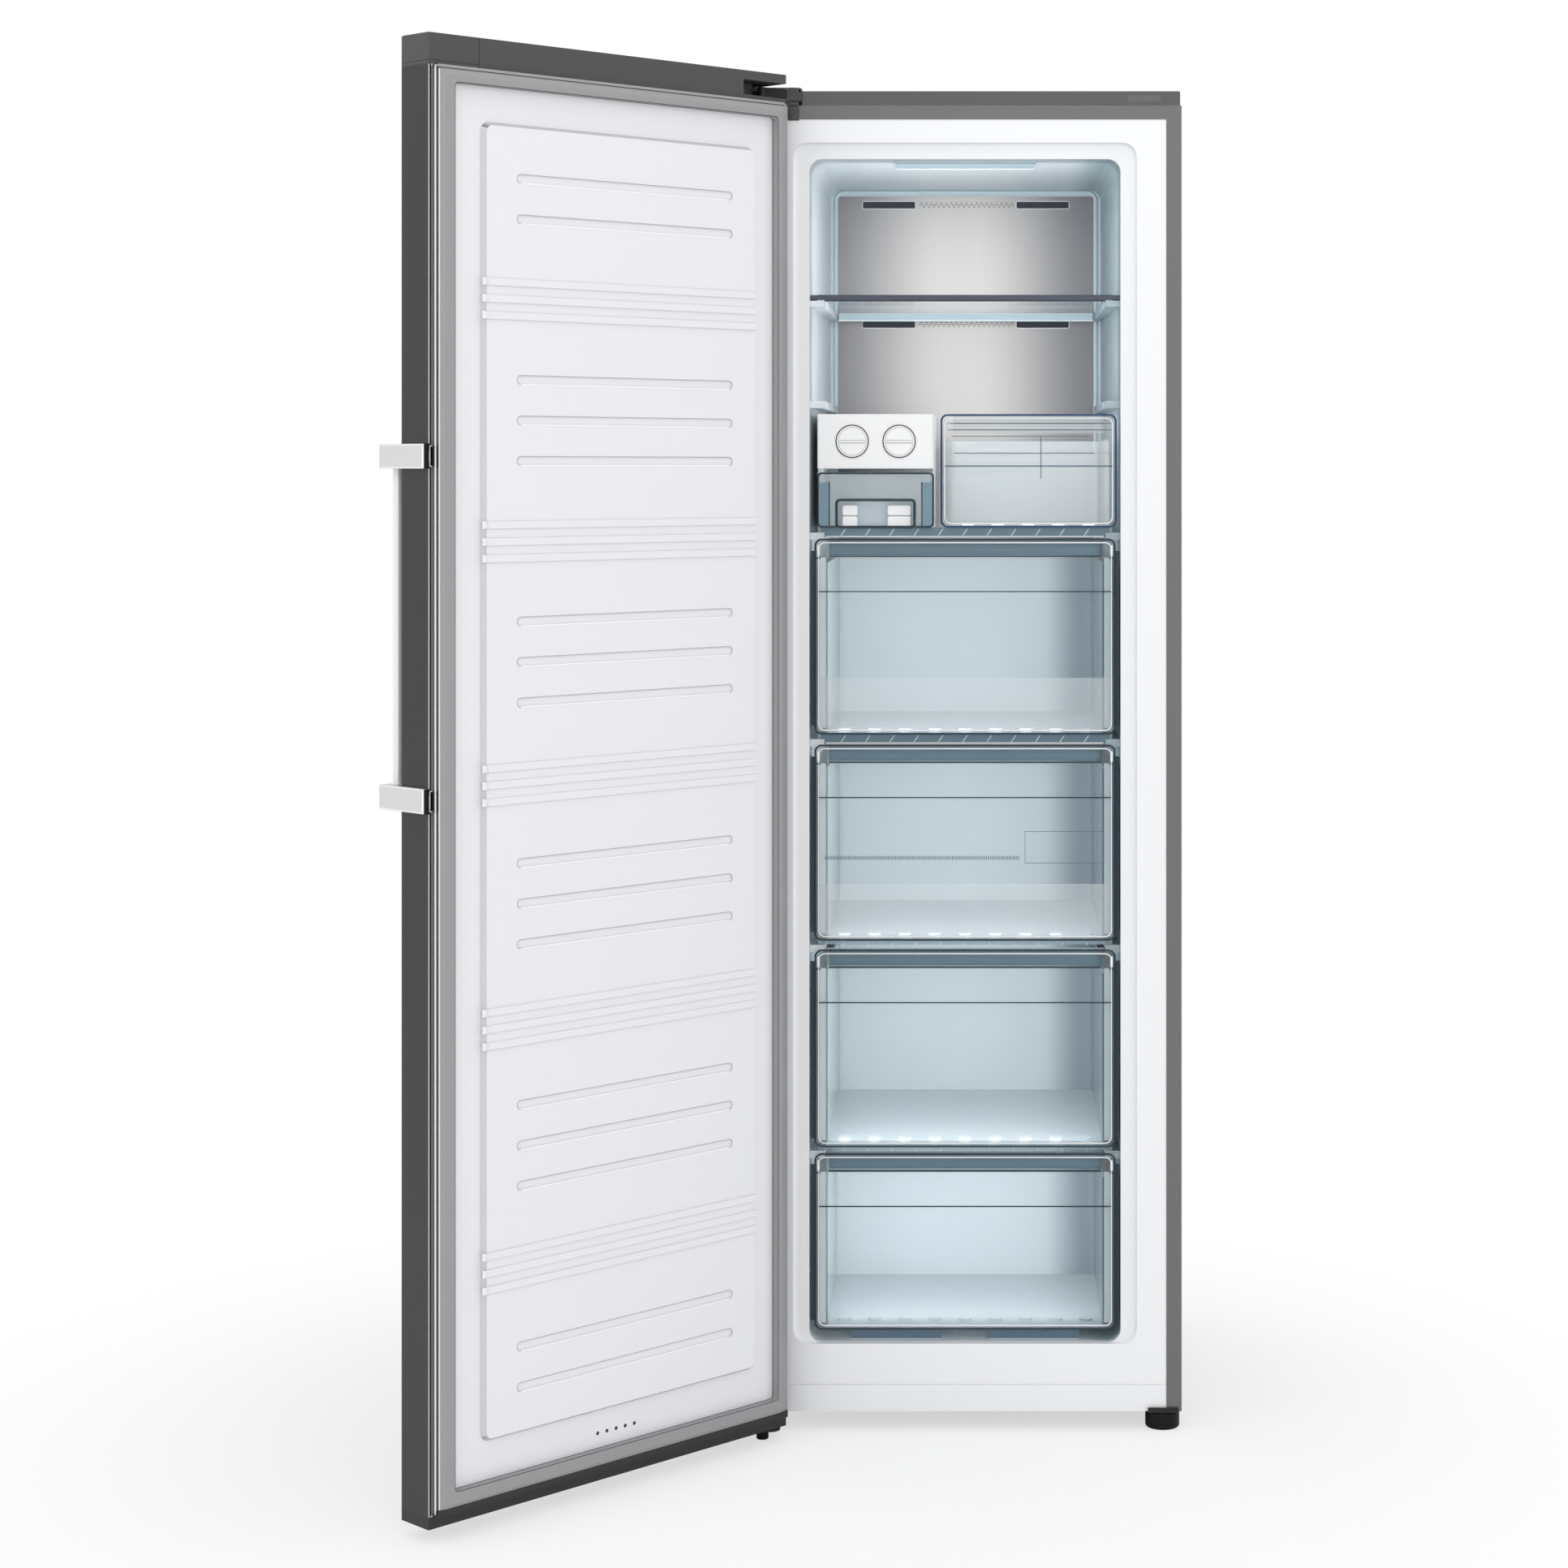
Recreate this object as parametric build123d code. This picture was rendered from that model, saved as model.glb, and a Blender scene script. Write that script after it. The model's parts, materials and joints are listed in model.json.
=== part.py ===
"""Upright freezer with one door, drawers, an ice maker and a rear machine compartment.

All sizes are in millimetres. The origin is under the middle of the levelling foot at the
hinge side, on the door's hinge axis at the floor. +X runs to the free side of the door,
+Y to the rear and +Z up. The door is drawn closed and then swung to its open rest pose.
"""

from build123d import *
import math
import os

# ---------------------------------------------------------------------------
# Driving dimensions
# ---------------------------------------------------------------------------
# Cabinet body
CABINET_WIDTH = 595.0
CABINET_DEPTH = 585.0
BODY_BOTTOM = 25.6          # underside of the body above the floor
BODY_HEIGHT = 1792.7        # steel body, without the top cover
TOP_COVER_HEIGHT = 20.1
TOP_COVER_INSET = 2.0       # the cover stands in from each side of the body
TOP_COVER_WALL = 2.5
SHEET = 1.0                 # steel sheet of cabinet and door
SIDE_RETURN = 21.0          # width of the side panels' folded front edge
TOP_RETURN = 18.9           # height of the top panel's folded front edge
PLINTH_HEIGHT = 36.8
PLINTH_SHEET = 2.0
BASE_SHEET = 1.5
FLANGE_TUCK = 6.0           # how far the liner's flange reaches behind the steel edges

# Inner cavity
SIDE_WALL = 83.2            # from the cabinet's side to the cavity, at its mouth
CEILING_WALL = 72.3
FLOOR_WALL = 92.4
REAR_WALL = 80.0            # from the cabinet's rear to the cavity
STACK_HEIGHT = 1628.0       # cavity height that the drawer and shelf heights are given for
SIDE_DRAFT = 11.8           # each side closes in this much towards the rear
CEILING_DRAFT = 5.7
MOUTH_RADIUS = 18.0
LINER = 1.5
STEP_WIDTH = 21.7           # stepped frame around the mouth
STEP_DEPTH = 10.0
STEP_RADIUS = 20.0
LEDGE_WIDTH = 20.0          # shelf supports on the side walls
LEDGE_HEIGHT = 10.0
LEDGE_SETBACK = 26.0
FLOOR_PAD_WIDTH = 124.0     # raised pads that the lowest drawer runs on
FLOOR_PAD_SPACING = 190.7
FLOOR_PAD_LENGTH = 230.0
ICE_LEDGE_RISE = 18.6       # spare supports above the ice maker

# Machine compartment at the rear, below
COMPARTMENT_DEPTH = 215.0
COMPARTMENT_HEIGHT = 269.4
MACHINE_WALL = 50.0         # insulation between the compartment and the cavity
COVER_SHEET = 1.5
COVER_SLOT = (6.0, 90.0)    # vent slots of the rear cover: width, height
COVER_SLOT_PITCH = 16.0
COVER_SLOT_COUNT = 10       # slots in each of the two groups

# Evaporator panel and what lies behind it
DUCT_DEPTH = 65.0           # from the panel's face to the cavity's rear
PANEL_SHEET = 1.0
PANEL_MARGIN = 9.5          # the metal face stops short of the cavity's sides
PANEL_CARRIER = 3.0
VENT_SLOT = (79.5, 10.5)    # air outlets: width, height
VENT_CORNER = 2.2
VENT_OFFSET = 116.3         # slot centre from the cabinet's middle
VENT_DROPS = (27.5, 208.0, 833.0, 1116.0)   # slot rows below the cavity's ceiling
SMALL_SLOT = (72.0, 8.8)    # air outlets behind the upper drawer
SMALL_SLOT_OFFSET = 49.0
SMALL_SLOT_DROPS = (390.0, 418.0, 430.0)
COIL_TUBE = 8.0
COIL_ROWS = 6
COIL_ROW_PITCH = 38.0
COIL_SIDE_GAP = 49.3        # from the cavity's side
COIL_FIN = (44.0, 250.0, 1.0)           # depth, height, thickness
COIL_FIN_COUNT = 23
COIL_RISE = 391.0           # top of the coil above the step over the machine compartment
HEATER_TUBE = 9.0
HEATER_DROP = 40.0          # heater below the coil
FAN_RISE = 150.0            # fan axis above the coil
FAN_RADIUS = 52.0
FAN_HUB_RADIUS = 17.0
FAN_DEPTH = 18.0
FAN_BLADES = 6
FAN_SHAFT = 5.0
FAN_PITCH = 35.0            # angle of the blades, degrees
FAN_CHORD = 20.0
FAN_SHEET = 1.2
MOTOR_RADIUS = 22.0
MOTOR_LENGTH = 22.0
RUNNING_FIT = 0.05          # radial clearance of a shaft in its bore
CLEARANCE = 0.4             # between neighbours that are dropped or snapped in

# Compressor and pipes
COMPRESSOR_RADIUS = 78.0
COMPRESSOR_HEIGHT = 165.0
COMPRESSOR_OFFSET = -75.0   # from the cabinet's middle
COMPRESSOR_FOOT = (200.0, 28.0, 3.0)
COMPRESSOR_FOOT_SPACING = 100.0
COMPRESSOR_SEAM = 6.0       # height of the welded seam
TERMINAL_BOX = (44.0, 60.0, 55.0)
TERMINAL_RISE = 66.0        # its middle above the compressor's feet
PIPE_RISES = (49.5, 41.2)   # suction and discharge pipe above the feet
GROMMET_RADIUS = 12.0
GROMMET_HEIGHT = 12.0
GROMMET_SPACING = 172.0
PIPE = 5.0
CONDENSER_PASSES = 12
CONDENSER_PITCH = 80.0
CONDENSER_WIDTH = 420.0
TRAY_SIZE = (190.0, 120.0, 34.0)        # evaporation tray on the compressor
TRAY_WALL = 2.0
DRAIN_RADIUS = 8.0
DRAIN_WALL = 1.5
GLAND_RADIUS = 9.0
GLAND_BORE = 4.0
GLAND_LENGTH = 16.0

# Shelves
GLASS_SHELF_DROP = 192.5    # underside of the glass below the cavity's ceiling
GLASS = 4.0
SHELF_TRIM = (9.0, 9.0)     # trim strip: depth, height
SHELF_MARGIN = 0.6          # between a shelf's end and the cavity's side
SHELF_SHEET = 2.5
SHELF_RIB = (2.0, 7.0)
SHELF_RIB_PITCH = 33.6
SHELF_FRONT = 30.0          # shelf front behind the cabinet's front
SHELF_REAR_GAP = 10.0       # between a shelf and the panel

# Drawers
DRAWER_HEIGHTS = (270.1, 270.4, 272.5, 243.0)   # fronts, from the top one down
DRAWER_PITCHES = (284.1, 284.6, 251.2)          # from one front's underside to the next
LOWEST_DRAWER_RISE = 15.5   # lowest front above the cavity's floor
DRAWER_SIDE_GAP = 6.9       # front's side from the cavity's side
DRAWER_SETBACK = 15.0       # front face behind the cabinet's front
DRAWER_SHOULDER = 15.4      # basket's side inside the front's side
DRAWER_REAR_GAP = 30.0      # between a basket and the panel
LOWEST_DRAWER_GAP = 13.0    # between the lowest basket and the step
DRAWER_WALL = 2.5
DRAWER_FRONT_WALL = 3.0
DRAWER_RIM_DROP = 34.0      # basket's rim below the top of its front
DRAWER_CORNER = 10.0
DRAWER_LIFT = 0.3           # basket's underside above the shelf it runs on
GRIP_HEIGHT = 24.0          # hollow for the fingers along the top of a front
GRIP_DEPTH = 11.0
GRIP_SIDE = 19.4
GRIP_LIP = 5.0              # turned down in front of the hollow
WING_DEPTH = 19.0           # side edges of a front, folded to the rear
WING_DROP = 17.0
LINE_DROP = 73.0            # moulded line below the top of a front
LINE_RIB = (1.2, 1.6)
BUMP_PITCH = 42.0
BUMP_COUNT = 9
BUMP_RADIUS = 9.0
BUMP_HEIGHT = 3.0

# Upper drawer and ice bin
UPPER_DRAWER_GAP = 5.4      # its front from the cavity's side
UPPER_ICE_GAP = 8.9         # its front from the ice maker
UPPER_DRAWER_HEIGHT = 156.3
UPPER_DRAWER_RISE = 15.2    # above the front of the highest large drawer
UPPER_LINE_DROP = 71.6
UPPER_SIDE_GAP = 8.0        # basket behind the front, at each side
ICE_WIDTH = 161.2
ICE_SIDE_GAP = 10.5         # from the cavity's side
ICE_MAKER_HEIGHT = 75.0
ICE_MAKER_SETBACK = 20.0
ICE_MAKER_DEPTH = 300.0
ICE_MAKER_WALL = 2.5
ICE_BIN_HEIGHT = 76.0
ICE_BIN_DEPTH = 285.0
CHEEK_SETBACK = 22.0        # side cheeks under the ice maker, behind its face
ICE_SCOOP = (106.0, 36.0, 26.0)         # hollow grip of the ice bin: width, height, depth
KNOB_RADIUS = 18.9
KNOB_RING = 22.8
KNOB_SPACING = 64.8
KNOB_DROP = 37.5            # knob axis below the top of the ice maker
KNOB_PROUD = 1.6
KNOB_SHAFT = 6.0
TRAY_WIDTH = 55.0           # ice trays
TRAY_HEIGHT = 27.0
TRAY_CUPS = 7
TRAY_END_GAP = 6.0
TRAY_PIN = 3.0

# Lamp in the ceiling
LAMP_WIDTH = 198.0
LAMP_DEPTH = 104.0
LAMP_SETBACK = 27.0
LAMP_POCKET = 14.0
LAMP_COVER = 2.5
LAMP_BOARD = (160.0, 36.0, 1.6)

# Door
DOOR_SIDE_MARGIN = 1.5      # the door is narrower than the cabinet by this at each side
DOOR_BOTTOM = 18.4
DOOR_RISE = 16.9            # the door's top above the top cover
DOOR_THICKNESS = 58.0
DOOR_GAP = 12.0             # between the closed door and the cabinet
DOOR_OPEN_ANGLE = 134.2
HINGE_EDGE_RADIUS = 10.0
FREE_EDGE_RADIUS = 3.0
TOP_CAP_HEIGHT = 38.3
BOTTOM_CAP_HEIGHT = 14.6
CAP_WALL = 2.5
DOOR_RETURN = 3.0           # skin folded over onto the inner face
DOOR_LINER = 3.0
SEAM_FROM_FREE_EDGE = 77.0  # joint line of the top cap
SEAM_WIDTH = 0.8
SEAM_RISE = 4.0             # level joint line above the skin's top
CAP_ROUNDING = 6.0          # along the cap's outer top edge

# Gasket
GASKET_MARGIN = 3.5
GASKET_END_MARGIN = 0.5
GASKET_SHOULDER = 6.5       # height at its outer edge
GASKET_HEIGHT = 11.4
GASKET_SLOPE = 12.5
GASKET_HINGE_WIDTH = 20.9
GASKET_FREE_WIDTH = 28.4
GASKET_TOP_WIDTH = 20.6
GASKET_BOTTOM_WIDTH = 26.7
GASKET_CORNER = 8.0
GASKET_INNER_CORNER = 5.0

# Raised field of the door's liner
PLATEAU_HINGE = 62.6        # from the hinge-side edge of the door
PLATEAU_FREE = 83.0         # from its free edge
PLATEAU_BOTTOM = 79.8       # from the top of the bottom cap
PLATEAU_TOP = 69.7          # from the underside of the top cap
PLATEAU_HEIGHT = 8.0
PLATEAU_SLOPE = 4.5
PLATEAU_CORNER = 9.0
RIDGE_COUNT = 5             # groups of three ridges
RIDGE_PITCH = 303.2
RIDGE_START = 286.0         # middle of the lowest group above the bottom cap
RIDGE_BAND = 10.5
RIDGE_HEIGHT = 1.6
GROOVE_HEIGHT = 11.3
GROOVE_DEPTH = 1.6
GROOVE_HINGE = 103.5
GROOVE_FREE = 130.0
GROOVE_PITCH = 50.8
HOLE_COUNT = 5
HOLE_RADIUS = 2.5
HOLE_PITCH = 15.2
HOLE_RISE = 46.0
HOLE_DEPTH = 2.0

# Hinges
HINGE_INSET = 22.0          # hinge axis from the cabinet's side
HINGE_FORWARD = 37.0        # hinge axis in front of the cabinet
UPPER_PIN_RADIUS = 4.0
LOWER_PIN_RADIUS = 5.5
PIN_FLANGE = (9.5, 1.5)     # radius, thickness
PIN_REACH = 24.0            # length of a pin inside the door
BUSH_WALL = 3.5
BUSH_BOSS_WALL = 5.0
ARM_THICKNESS = 12.3
ARM_REACH = 30.0            # the upper arm's far side from the hinge axis
ARM_BOSS = 7.5
ARM_DROP = 0.1              # arm's top below the top cover's
BRACKET_PLATE = 4.0
UPPER_BRACKET_DEPTH = 80.0
LOWER_BRACKET_DEPTH = 110.0
LOWER_BRACKET_WIDTH = 38.0
LOWER_BRACKET_SIDE = 14.0   # its near side from the hinge axis
LOWER_ARM_GAP = 2.0         # under the door
NOTCH_WIDTH = 77.0          # notch in the door's top cap
NOTCH_FLOOR = 5.8
NOTCH_ROOF = 12.3
NOTCH_DEPTH = 35.0
HINGE_COVER_WIDTH = 73.5
HINGE_COVER_DEPTH = 92.0
HINGE_COVER_RISE = 4.6      # above the top cover
HINGE_COVER_LIP = 2.5       # in front of the cabinet
HINGE_COVER_WALL = 2.0

# Handle
HANDLE_HEIGHT = 30.5        # height of a bracket
HANDLE_UPPER = 1335.0       # middle of the upper bracket above the floor
HANDLE_LOWER = 911.5
HANDLE_THICKNESS = 5.4
HANDLE_REACH = 36.0         # beyond the door's outer face
HANDLE_START = 1.0          # bracket's inner end from the door's inner face
HANDLE_ARM = (30.0, 22.0)   # arm of a bracket: across the door, away from the door
HANDLE_BAR = (18.0, 12.0)   # across the door, away from the door
HANDLE_BAR_GAP = 11.2       # between the bar and the inner face of a bracket's plate
HANDLE_BAR_INSET = 4.0      # bar from the outer end of each bracket
HANDLE_SEAT = 1.0           # spacer under a bracket
HANDLE_CLIP = (8.0, 26.0)   # slotted clip on the inner face: width, height
HANDLE_CLIP_GAP = 0.6       # between a clip and the gasket's notch
HANDLE_CLIP_PROUD = 2.0
HANDLE_SCREW_RADIUS = 2.5
HANDLE_SCREW_LENGTH = 14.0

# Feet and rollers
HINGE_FOOT_RADIUS = 8.3
HINGE_FOOT_STUD = 3.0
HINGE_FOOT_HEIGHT = 10.5
FRONT_FOOT_RADIUS = 23.5
FRONT_FOOT_STUD = 4.0
FRONT_FOOT_HEIGHT = 23.4
FRONT_FOOT_INSET = 25.5     # its axis from the cabinet's side
FRONT_FOOT_SETBACK = 19.5
FOOT_TAB = (42.0, 31.4)     # tab in front of the right foot: width, top above the floor
FOOT_TAB_PROUD = 3.4
ROLLER_RADIUS = 16.0
ROLLER_WIDTH = 18.0
ROLLER_INSET = 60.0
ROLLER_FROM_REAR = 45.0
AXLE_RADIUS = 3.0
EAR_SHEET = 2.0
EAR_GAP = 0.6
EAR_WIDTH = 16.0

# Control window and boards
WINDOW_WIDTH = 46.8
WINDOW_HEIGHT = 9.9
WINDOW_FROM_FREE_SIDE = 27.5
WINDOW_SHEET = 1.0
CONTROL_BOARD = (90.0, 60.0, 1.6)

# Screws
SCREW_HEAD_RADIUS = 4.5
SCREW_HEAD = 2.2
SCREW_RADIUS = 2.0
SCREW_INSET = 14.0          # from the nearest edge
FLANGE_SHEET = 1.5          # flange of the back that takes the cover's screws
FLANGE_HEIGHT = 27.0

# ---------------------------------------------------------------------------
# Places worked out from the sizes
# ---------------------------------------------------------------------------
LEFT = -HINGE_INSET
RIGHT = LEFT + CABINET_WIDTH
MIDDLE = (LEFT + RIGHT) / 2
FRONT = HINGE_FORWARD
REAR = FRONT + CABINET_DEPTH
BODY_TOP = BODY_BOTTOM + BODY_HEIGHT
CABINET_TOP = BODY_TOP + TOP_COVER_HEIGHT

CAVITY_LEFT = LEFT + SIDE_WALL
CAVITY_RIGHT = RIGHT - SIDE_WALL
CAVITY_BOTTOM = BODY_BOTTOM + FLOOR_WALL
CAVITY_TOP = BODY_TOP - CEILING_WALL
CAVITY_REAR = REAR - REAR_WALL
PANEL_FACE = CAVITY_REAR - DUCT_DEPTH
STACK_SCALE = (CAVITY_TOP - CAVITY_BOTTOM) / STACK_HEIGHT

COMPARTMENT_FRONT = REAR - COMPARTMENT_DEPTH
COMPARTMENT_TOP = BODY_BOTTOM + COMPARTMENT_HEIGHT
STEP_FACE = COMPARTMENT_FRONT - MACHINE_WALL
STEP_TOP = COMPARTMENT_TOP + MACHINE_WALL
BASE_TOP = BODY_BOTTOM + BASE_SHEET

DOOR_LEFT = LEFT + DOOR_SIDE_MARGIN
DOOR_RIGHT = RIGHT - DOOR_SIDE_MARGIN
DOOR_INNER = FRONT - DOOR_GAP
DOOR_OUTER = DOOR_INNER - DOOR_THICKNESS
DOOR_TOP = CABINET_TOP + DOOR_RISE
SKIN_BOTTOM = DOOR_BOTTOM + BOTTOM_CAP_HEIGHT
SKIN_TOP = DOOR_TOP - TOP_CAP_HEIGHT
LINER_FACE = DOOR_INNER - SHEET

DRAWER_FACE = FRONT + DRAWER_SETBACK
DRAWER_FRONT_WIDTH = CAVITY_RIGHT - CAVITY_LEFT - 2 * DRAWER_SIDE_GAP
DRAWER_WIDTH = DRAWER_FRONT_WIDTH - 2 * DRAWER_SHOULDER
DRAWER_DEPTH = PANEL_FACE - DRAWER_FACE - DRAWER_REAR_GAP
LOWEST_DRAWER_DEPTH = STEP_FACE - DRAWER_FACE - LOWEST_DRAWER_GAP
SHELF_DEPTH = PANEL_FACE - FRONT - SHELF_FRONT - SHELF_REAR_GAP
DRAWER_TALLS = [height * STACK_SCALE for height in DRAWER_HEIGHTS]
UPPER_TALL = UPPER_DRAWER_HEIGHT * STACK_SCALE
ICE_BIN_TALL = ICE_BIN_HEIGHT * STACK_SCALE
LOWEST_DRAWER = CAVITY_BOTTOM + LOWEST_DRAWER_RISE
DRAWER_BOTTOMS = [LOWEST_DRAWER + sum(DRAWER_PITCHES[i:]) * STACK_SCALE
                  for i in range(len(DRAWER_HEIGHTS))]
UPPER_BOTTOM = DRAWER_BOTTOMS[0] + DRAWER_TALLS[0] + UPPER_DRAWER_RISE
GLASS_BOTTOM = CAVITY_TOP - GLASS_SHELF_DROP * STACK_SCALE
ICE_TOP = UPPER_BOTTOM + UPPER_TALL
ICE_MAKER_BOTTOM = ICE_TOP - ICE_MAKER_HEIGHT * STACK_SCALE
ICE_MIDDLE = CAVITY_LEFT + ICE_SIDE_GAP + ICE_WIDTH / 2
UPPER_LEFT = ICE_MIDDLE + ICE_WIDTH / 2 + UPPER_ICE_GAP
UPPER_RIGHT = CAVITY_RIGHT - UPPER_DRAWER_GAP
KNOB_HEIGHT = ICE_TOP - KNOB_DROP * STACK_SCALE
KNOB_PLACES = (ICE_MIDDLE - KNOB_SPACING / 2, ICE_MIDDLE + KNOB_SPACING / 2)
ICE_FACE = FRONT + ICE_MAKER_SETBACK

COMPRESSOR_X = MIDDLE + COMPRESSOR_OFFSET
COMPRESSOR_Y = REAR - COMPARTMENT_DEPTH / 2
COMPRESSOR_BOTTOM = BASE_TOP + GROMMET_HEIGHT
COIL_TOP = STEP_TOP + COIL_RISE
COIL_WIDTH = CAVITY_RIGHT - CAVITY_LEFT - 2 * COIL_SIDE_GAP
FAN_HEIGHT = COIL_TOP + FAN_RISE
DUCT_FRONT = PANEL_FACE + PANEL_SHEET + PANEL_CARRIER
DUCT_MIDDLE = (DUCT_FRONT + CAVITY_REAR) / 2


# ---------------------------------------------------------------------------
# Drawing aids
# ---------------------------------------------------------------------------
def block(x0, x1, y0, y1, z0, z1):
    """A box between two corners."""
    centre = Pos((x0 + x1) / 2, (y0 + y1) / 2, (z0 + z1) / 2)
    return centre * Box(x1 - x0, y1 - y0, z1 - z0)


def rod(start, radius, length, axis="Z"):
    """A cylinder from its start point along X, Y or Z; a negative length runs backwards."""
    turn = {"X": Rot(0, 90, 0), "Y": Rot(-90, 0, 0), "Z": Rot(0, 0, 0)}[axis]
    return Pos(*start) * turn * Pos(0, 0, length / 2) * Cylinder(radius, abs(length))


def upright_face(x0, x1, y, z0, z1, radius):
    """A rectangle with rounded corners that faces the rear."""
    plane = Plane(origin=((x0 + x1) / 2, y, (z0 + z1) / 2), x_dir=(1, 0, 0), z_dir=(0, 1, 0))
    return plane * RectangleRounded(x1 - x0, z1 - z0, radius)


def rounded_slab(x0, x1, y0, y1, z0, z1, radius):
    """An upright slab whose outline has rounded corners."""
    return extrude(upright_face(x0, x1, y0, z0, z1, radius), amount=y1 - y0)


def frustum(front, rear):
    """A body between two rounded rectangles, each (x0, x1, y, z0, z1, radius)."""
    return loft([upright_face(*front), upright_face(*rear)], ruled=True)


def slot(x, z, width, height, y0, y1):
    """A round-ended slot through a wall that faces the front."""
    plane = Plane(origin=(x, y0, z), x_dir=(1, 0, 0), z_dir=(0, 1, 0))
    return extrude(plane * SlotOverall(width, height), amount=y1 - y0)


def joined(pieces):
    """Several solids as one body, or as one group where they stand apart."""
    whole = pieces[0]
    return whole + pieces[1:] if len(pieces) > 1 else whole


def pipe(points, radius, bend):
    """A round tube along straight runs with tangent bends."""
    path = FilletPolyline(*points, radius=bend)
    start = Plane(origin=path @ 0, z_dir=path % 0)
    return sweep(start * Circle(radius), path=path)


# ---------------------------------------------------------------------------
# Cavity: the air inside the liner, and the same grown by a wall
# ---------------------------------------------------------------------------
def cavity_half_width(y):
    """Half the cavity's width at a distance from the front."""
    start = FRONT + STEP_DEPTH
    share = (y - start) / (CAVITY_REAR - start)
    return (CAVITY_RIGHT - CAVITY_LEFT) / 2 - SIDE_DRAFT * share


def ceiling(y):
    """Height of the cavity's ceiling at a distance from the front."""
    start = FRONT + STEP_DEPTH
    return CAVITY_TOP - CEILING_DRAFT * (y - start) / (CAVITY_REAR - start)


def cavity(wall=0.0):
    """The cavity, grown by a wall on every side but the front."""
    mouth_y = FRONT + STEP_DEPTH
    half = (CAVITY_RIGHT - CAVITY_LEFT) / 2
    front = (MIDDLE - half - wall, MIDDLE + half + wall, mouth_y,
             CAVITY_BOTTOM - wall, CAVITY_TOP + wall, MOUTH_RADIUS + wall)
    rear = (MIDDLE - half + SIDE_DRAFT - wall, MIDDLE + half - SIDE_DRAFT + wall,
            CAVITY_REAR + wall, CAVITY_BOTTOM - wall, CAVITY_TOP - CEILING_DRAFT + wall,
            MOUTH_RADIUS + wall)
    machine = block(LEFT, RIGHT, STEP_FACE + wall, REAR, BODY_BOTTOM, STEP_TOP - wall)
    frame = rounded_slab(CAVITY_LEFT - STEP_WIDTH - wall, CAVITY_RIGHT + STEP_WIDTH + wall,
                         FRONT, mouth_y + wall,
                         CAVITY_BOTTOM - wall, CAVITY_TOP + STEP_WIDTH + wall,
                         STEP_RADIUS + wall)
    return frustum(front, rear) - machine + frame


def lamp_pocket(wall=0.0):
    """The hollow above the ceiling that holds the lamp."""
    y0 = FRONT + LAMP_SETBACK
    return block(MIDDLE - LAMP_WIDTH / 2 - wall, MIDDLE + LAMP_WIDTH / 2 + wall,
                 y0 - wall, y0 + LAMP_DEPTH + wall,
                 ceiling(y0 + LAMP_DEPTH) - LINER, CAVITY_TOP + LAMP_POCKET + wall)


def drain_bore(radius):
    """The upright hole of the drain."""
    return rod((COMPRESSOR_X, COMPRESSOR_Y, COMPARTMENT_TOP - MACHINE_WALL), radius,
               STEP_TOP + MACHINE_WALL - COMPARTMENT_TOP)


def shelf_levels():
    """Underside of each drawer shelf: one below every front but the lowest, one on top."""
    tops = [bottom - DRAWER_LIFT for bottom in DRAWER_BOTTOMS[:-1]]
    return [UPPER_BOTTOM - DRAWER_LIFT - SHELF_RIB[1]] + [top - SHELF_RIB[1] for top in tops]


def ledge_levels():
    """Top of each pair of side supports."""
    return shelf_levels() + [GLASS_BOTTOM, ICE_TOP + ICE_LEDGE_RISE]


def inner_liner():
    """Vacuum-formed white liner with its front flange and side supports."""
    grown = cavity(LINER)
    ledges = []
    for top in ledge_levels():
        for side in (-1, 1):
            outer = MIDDLE + side * (CAVITY_RIGHT - MIDDLE + LINER)
            inner = MIDDLE + side * (CAVITY_RIGHT - MIDDLE - LEDGE_WIDTH)
            ledges.append(block(min(outer, inner), max(outer, inner), FRONT + LEDGE_SETBACK,
                                PANEL_FACE - CLEARANCE, top - LEDGE_HEIGHT, top))
    for side in (-1, 1):
        x = MIDDLE + side * FLOOR_PAD_SPACING / 2
        ledges.append(block(x - FLOOR_PAD_WIDTH / 2, x + FLOOR_PAD_WIDTH / 2,
                            FRONT + LEDGE_SETBACK, FRONT + LEDGE_SETBACK + FLOOR_PAD_LENGTH,
                            CAVITY_BOTTOM - LINER, LOWEST_DRAWER - DRAWER_LIFT))
    supports = joined(ledges) & grown
    tuck = SIDE_RETURN - FLANGE_TUCK
    flange = block(LEFT + tuck, RIGHT - tuck, FRONT + SHEET, FRONT + SHEET + LINER,
                   BODY_BOTTOM + PLINTH_HEIGHT, BODY_TOP - TOP_RETURN + FLANGE_TUCK)
    in_front = block(LEFT, RIGHT, FRONT - SHEET, FRONT + SHEET, BODY_BOTTOM, BODY_TOP)
    shell = (grown - in_front) + flange + lamp_pocket(LINER) - cavity()
    return shell + supports - lamp_pocket() - drain_bore(DRAIN_RADIUS)


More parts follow.
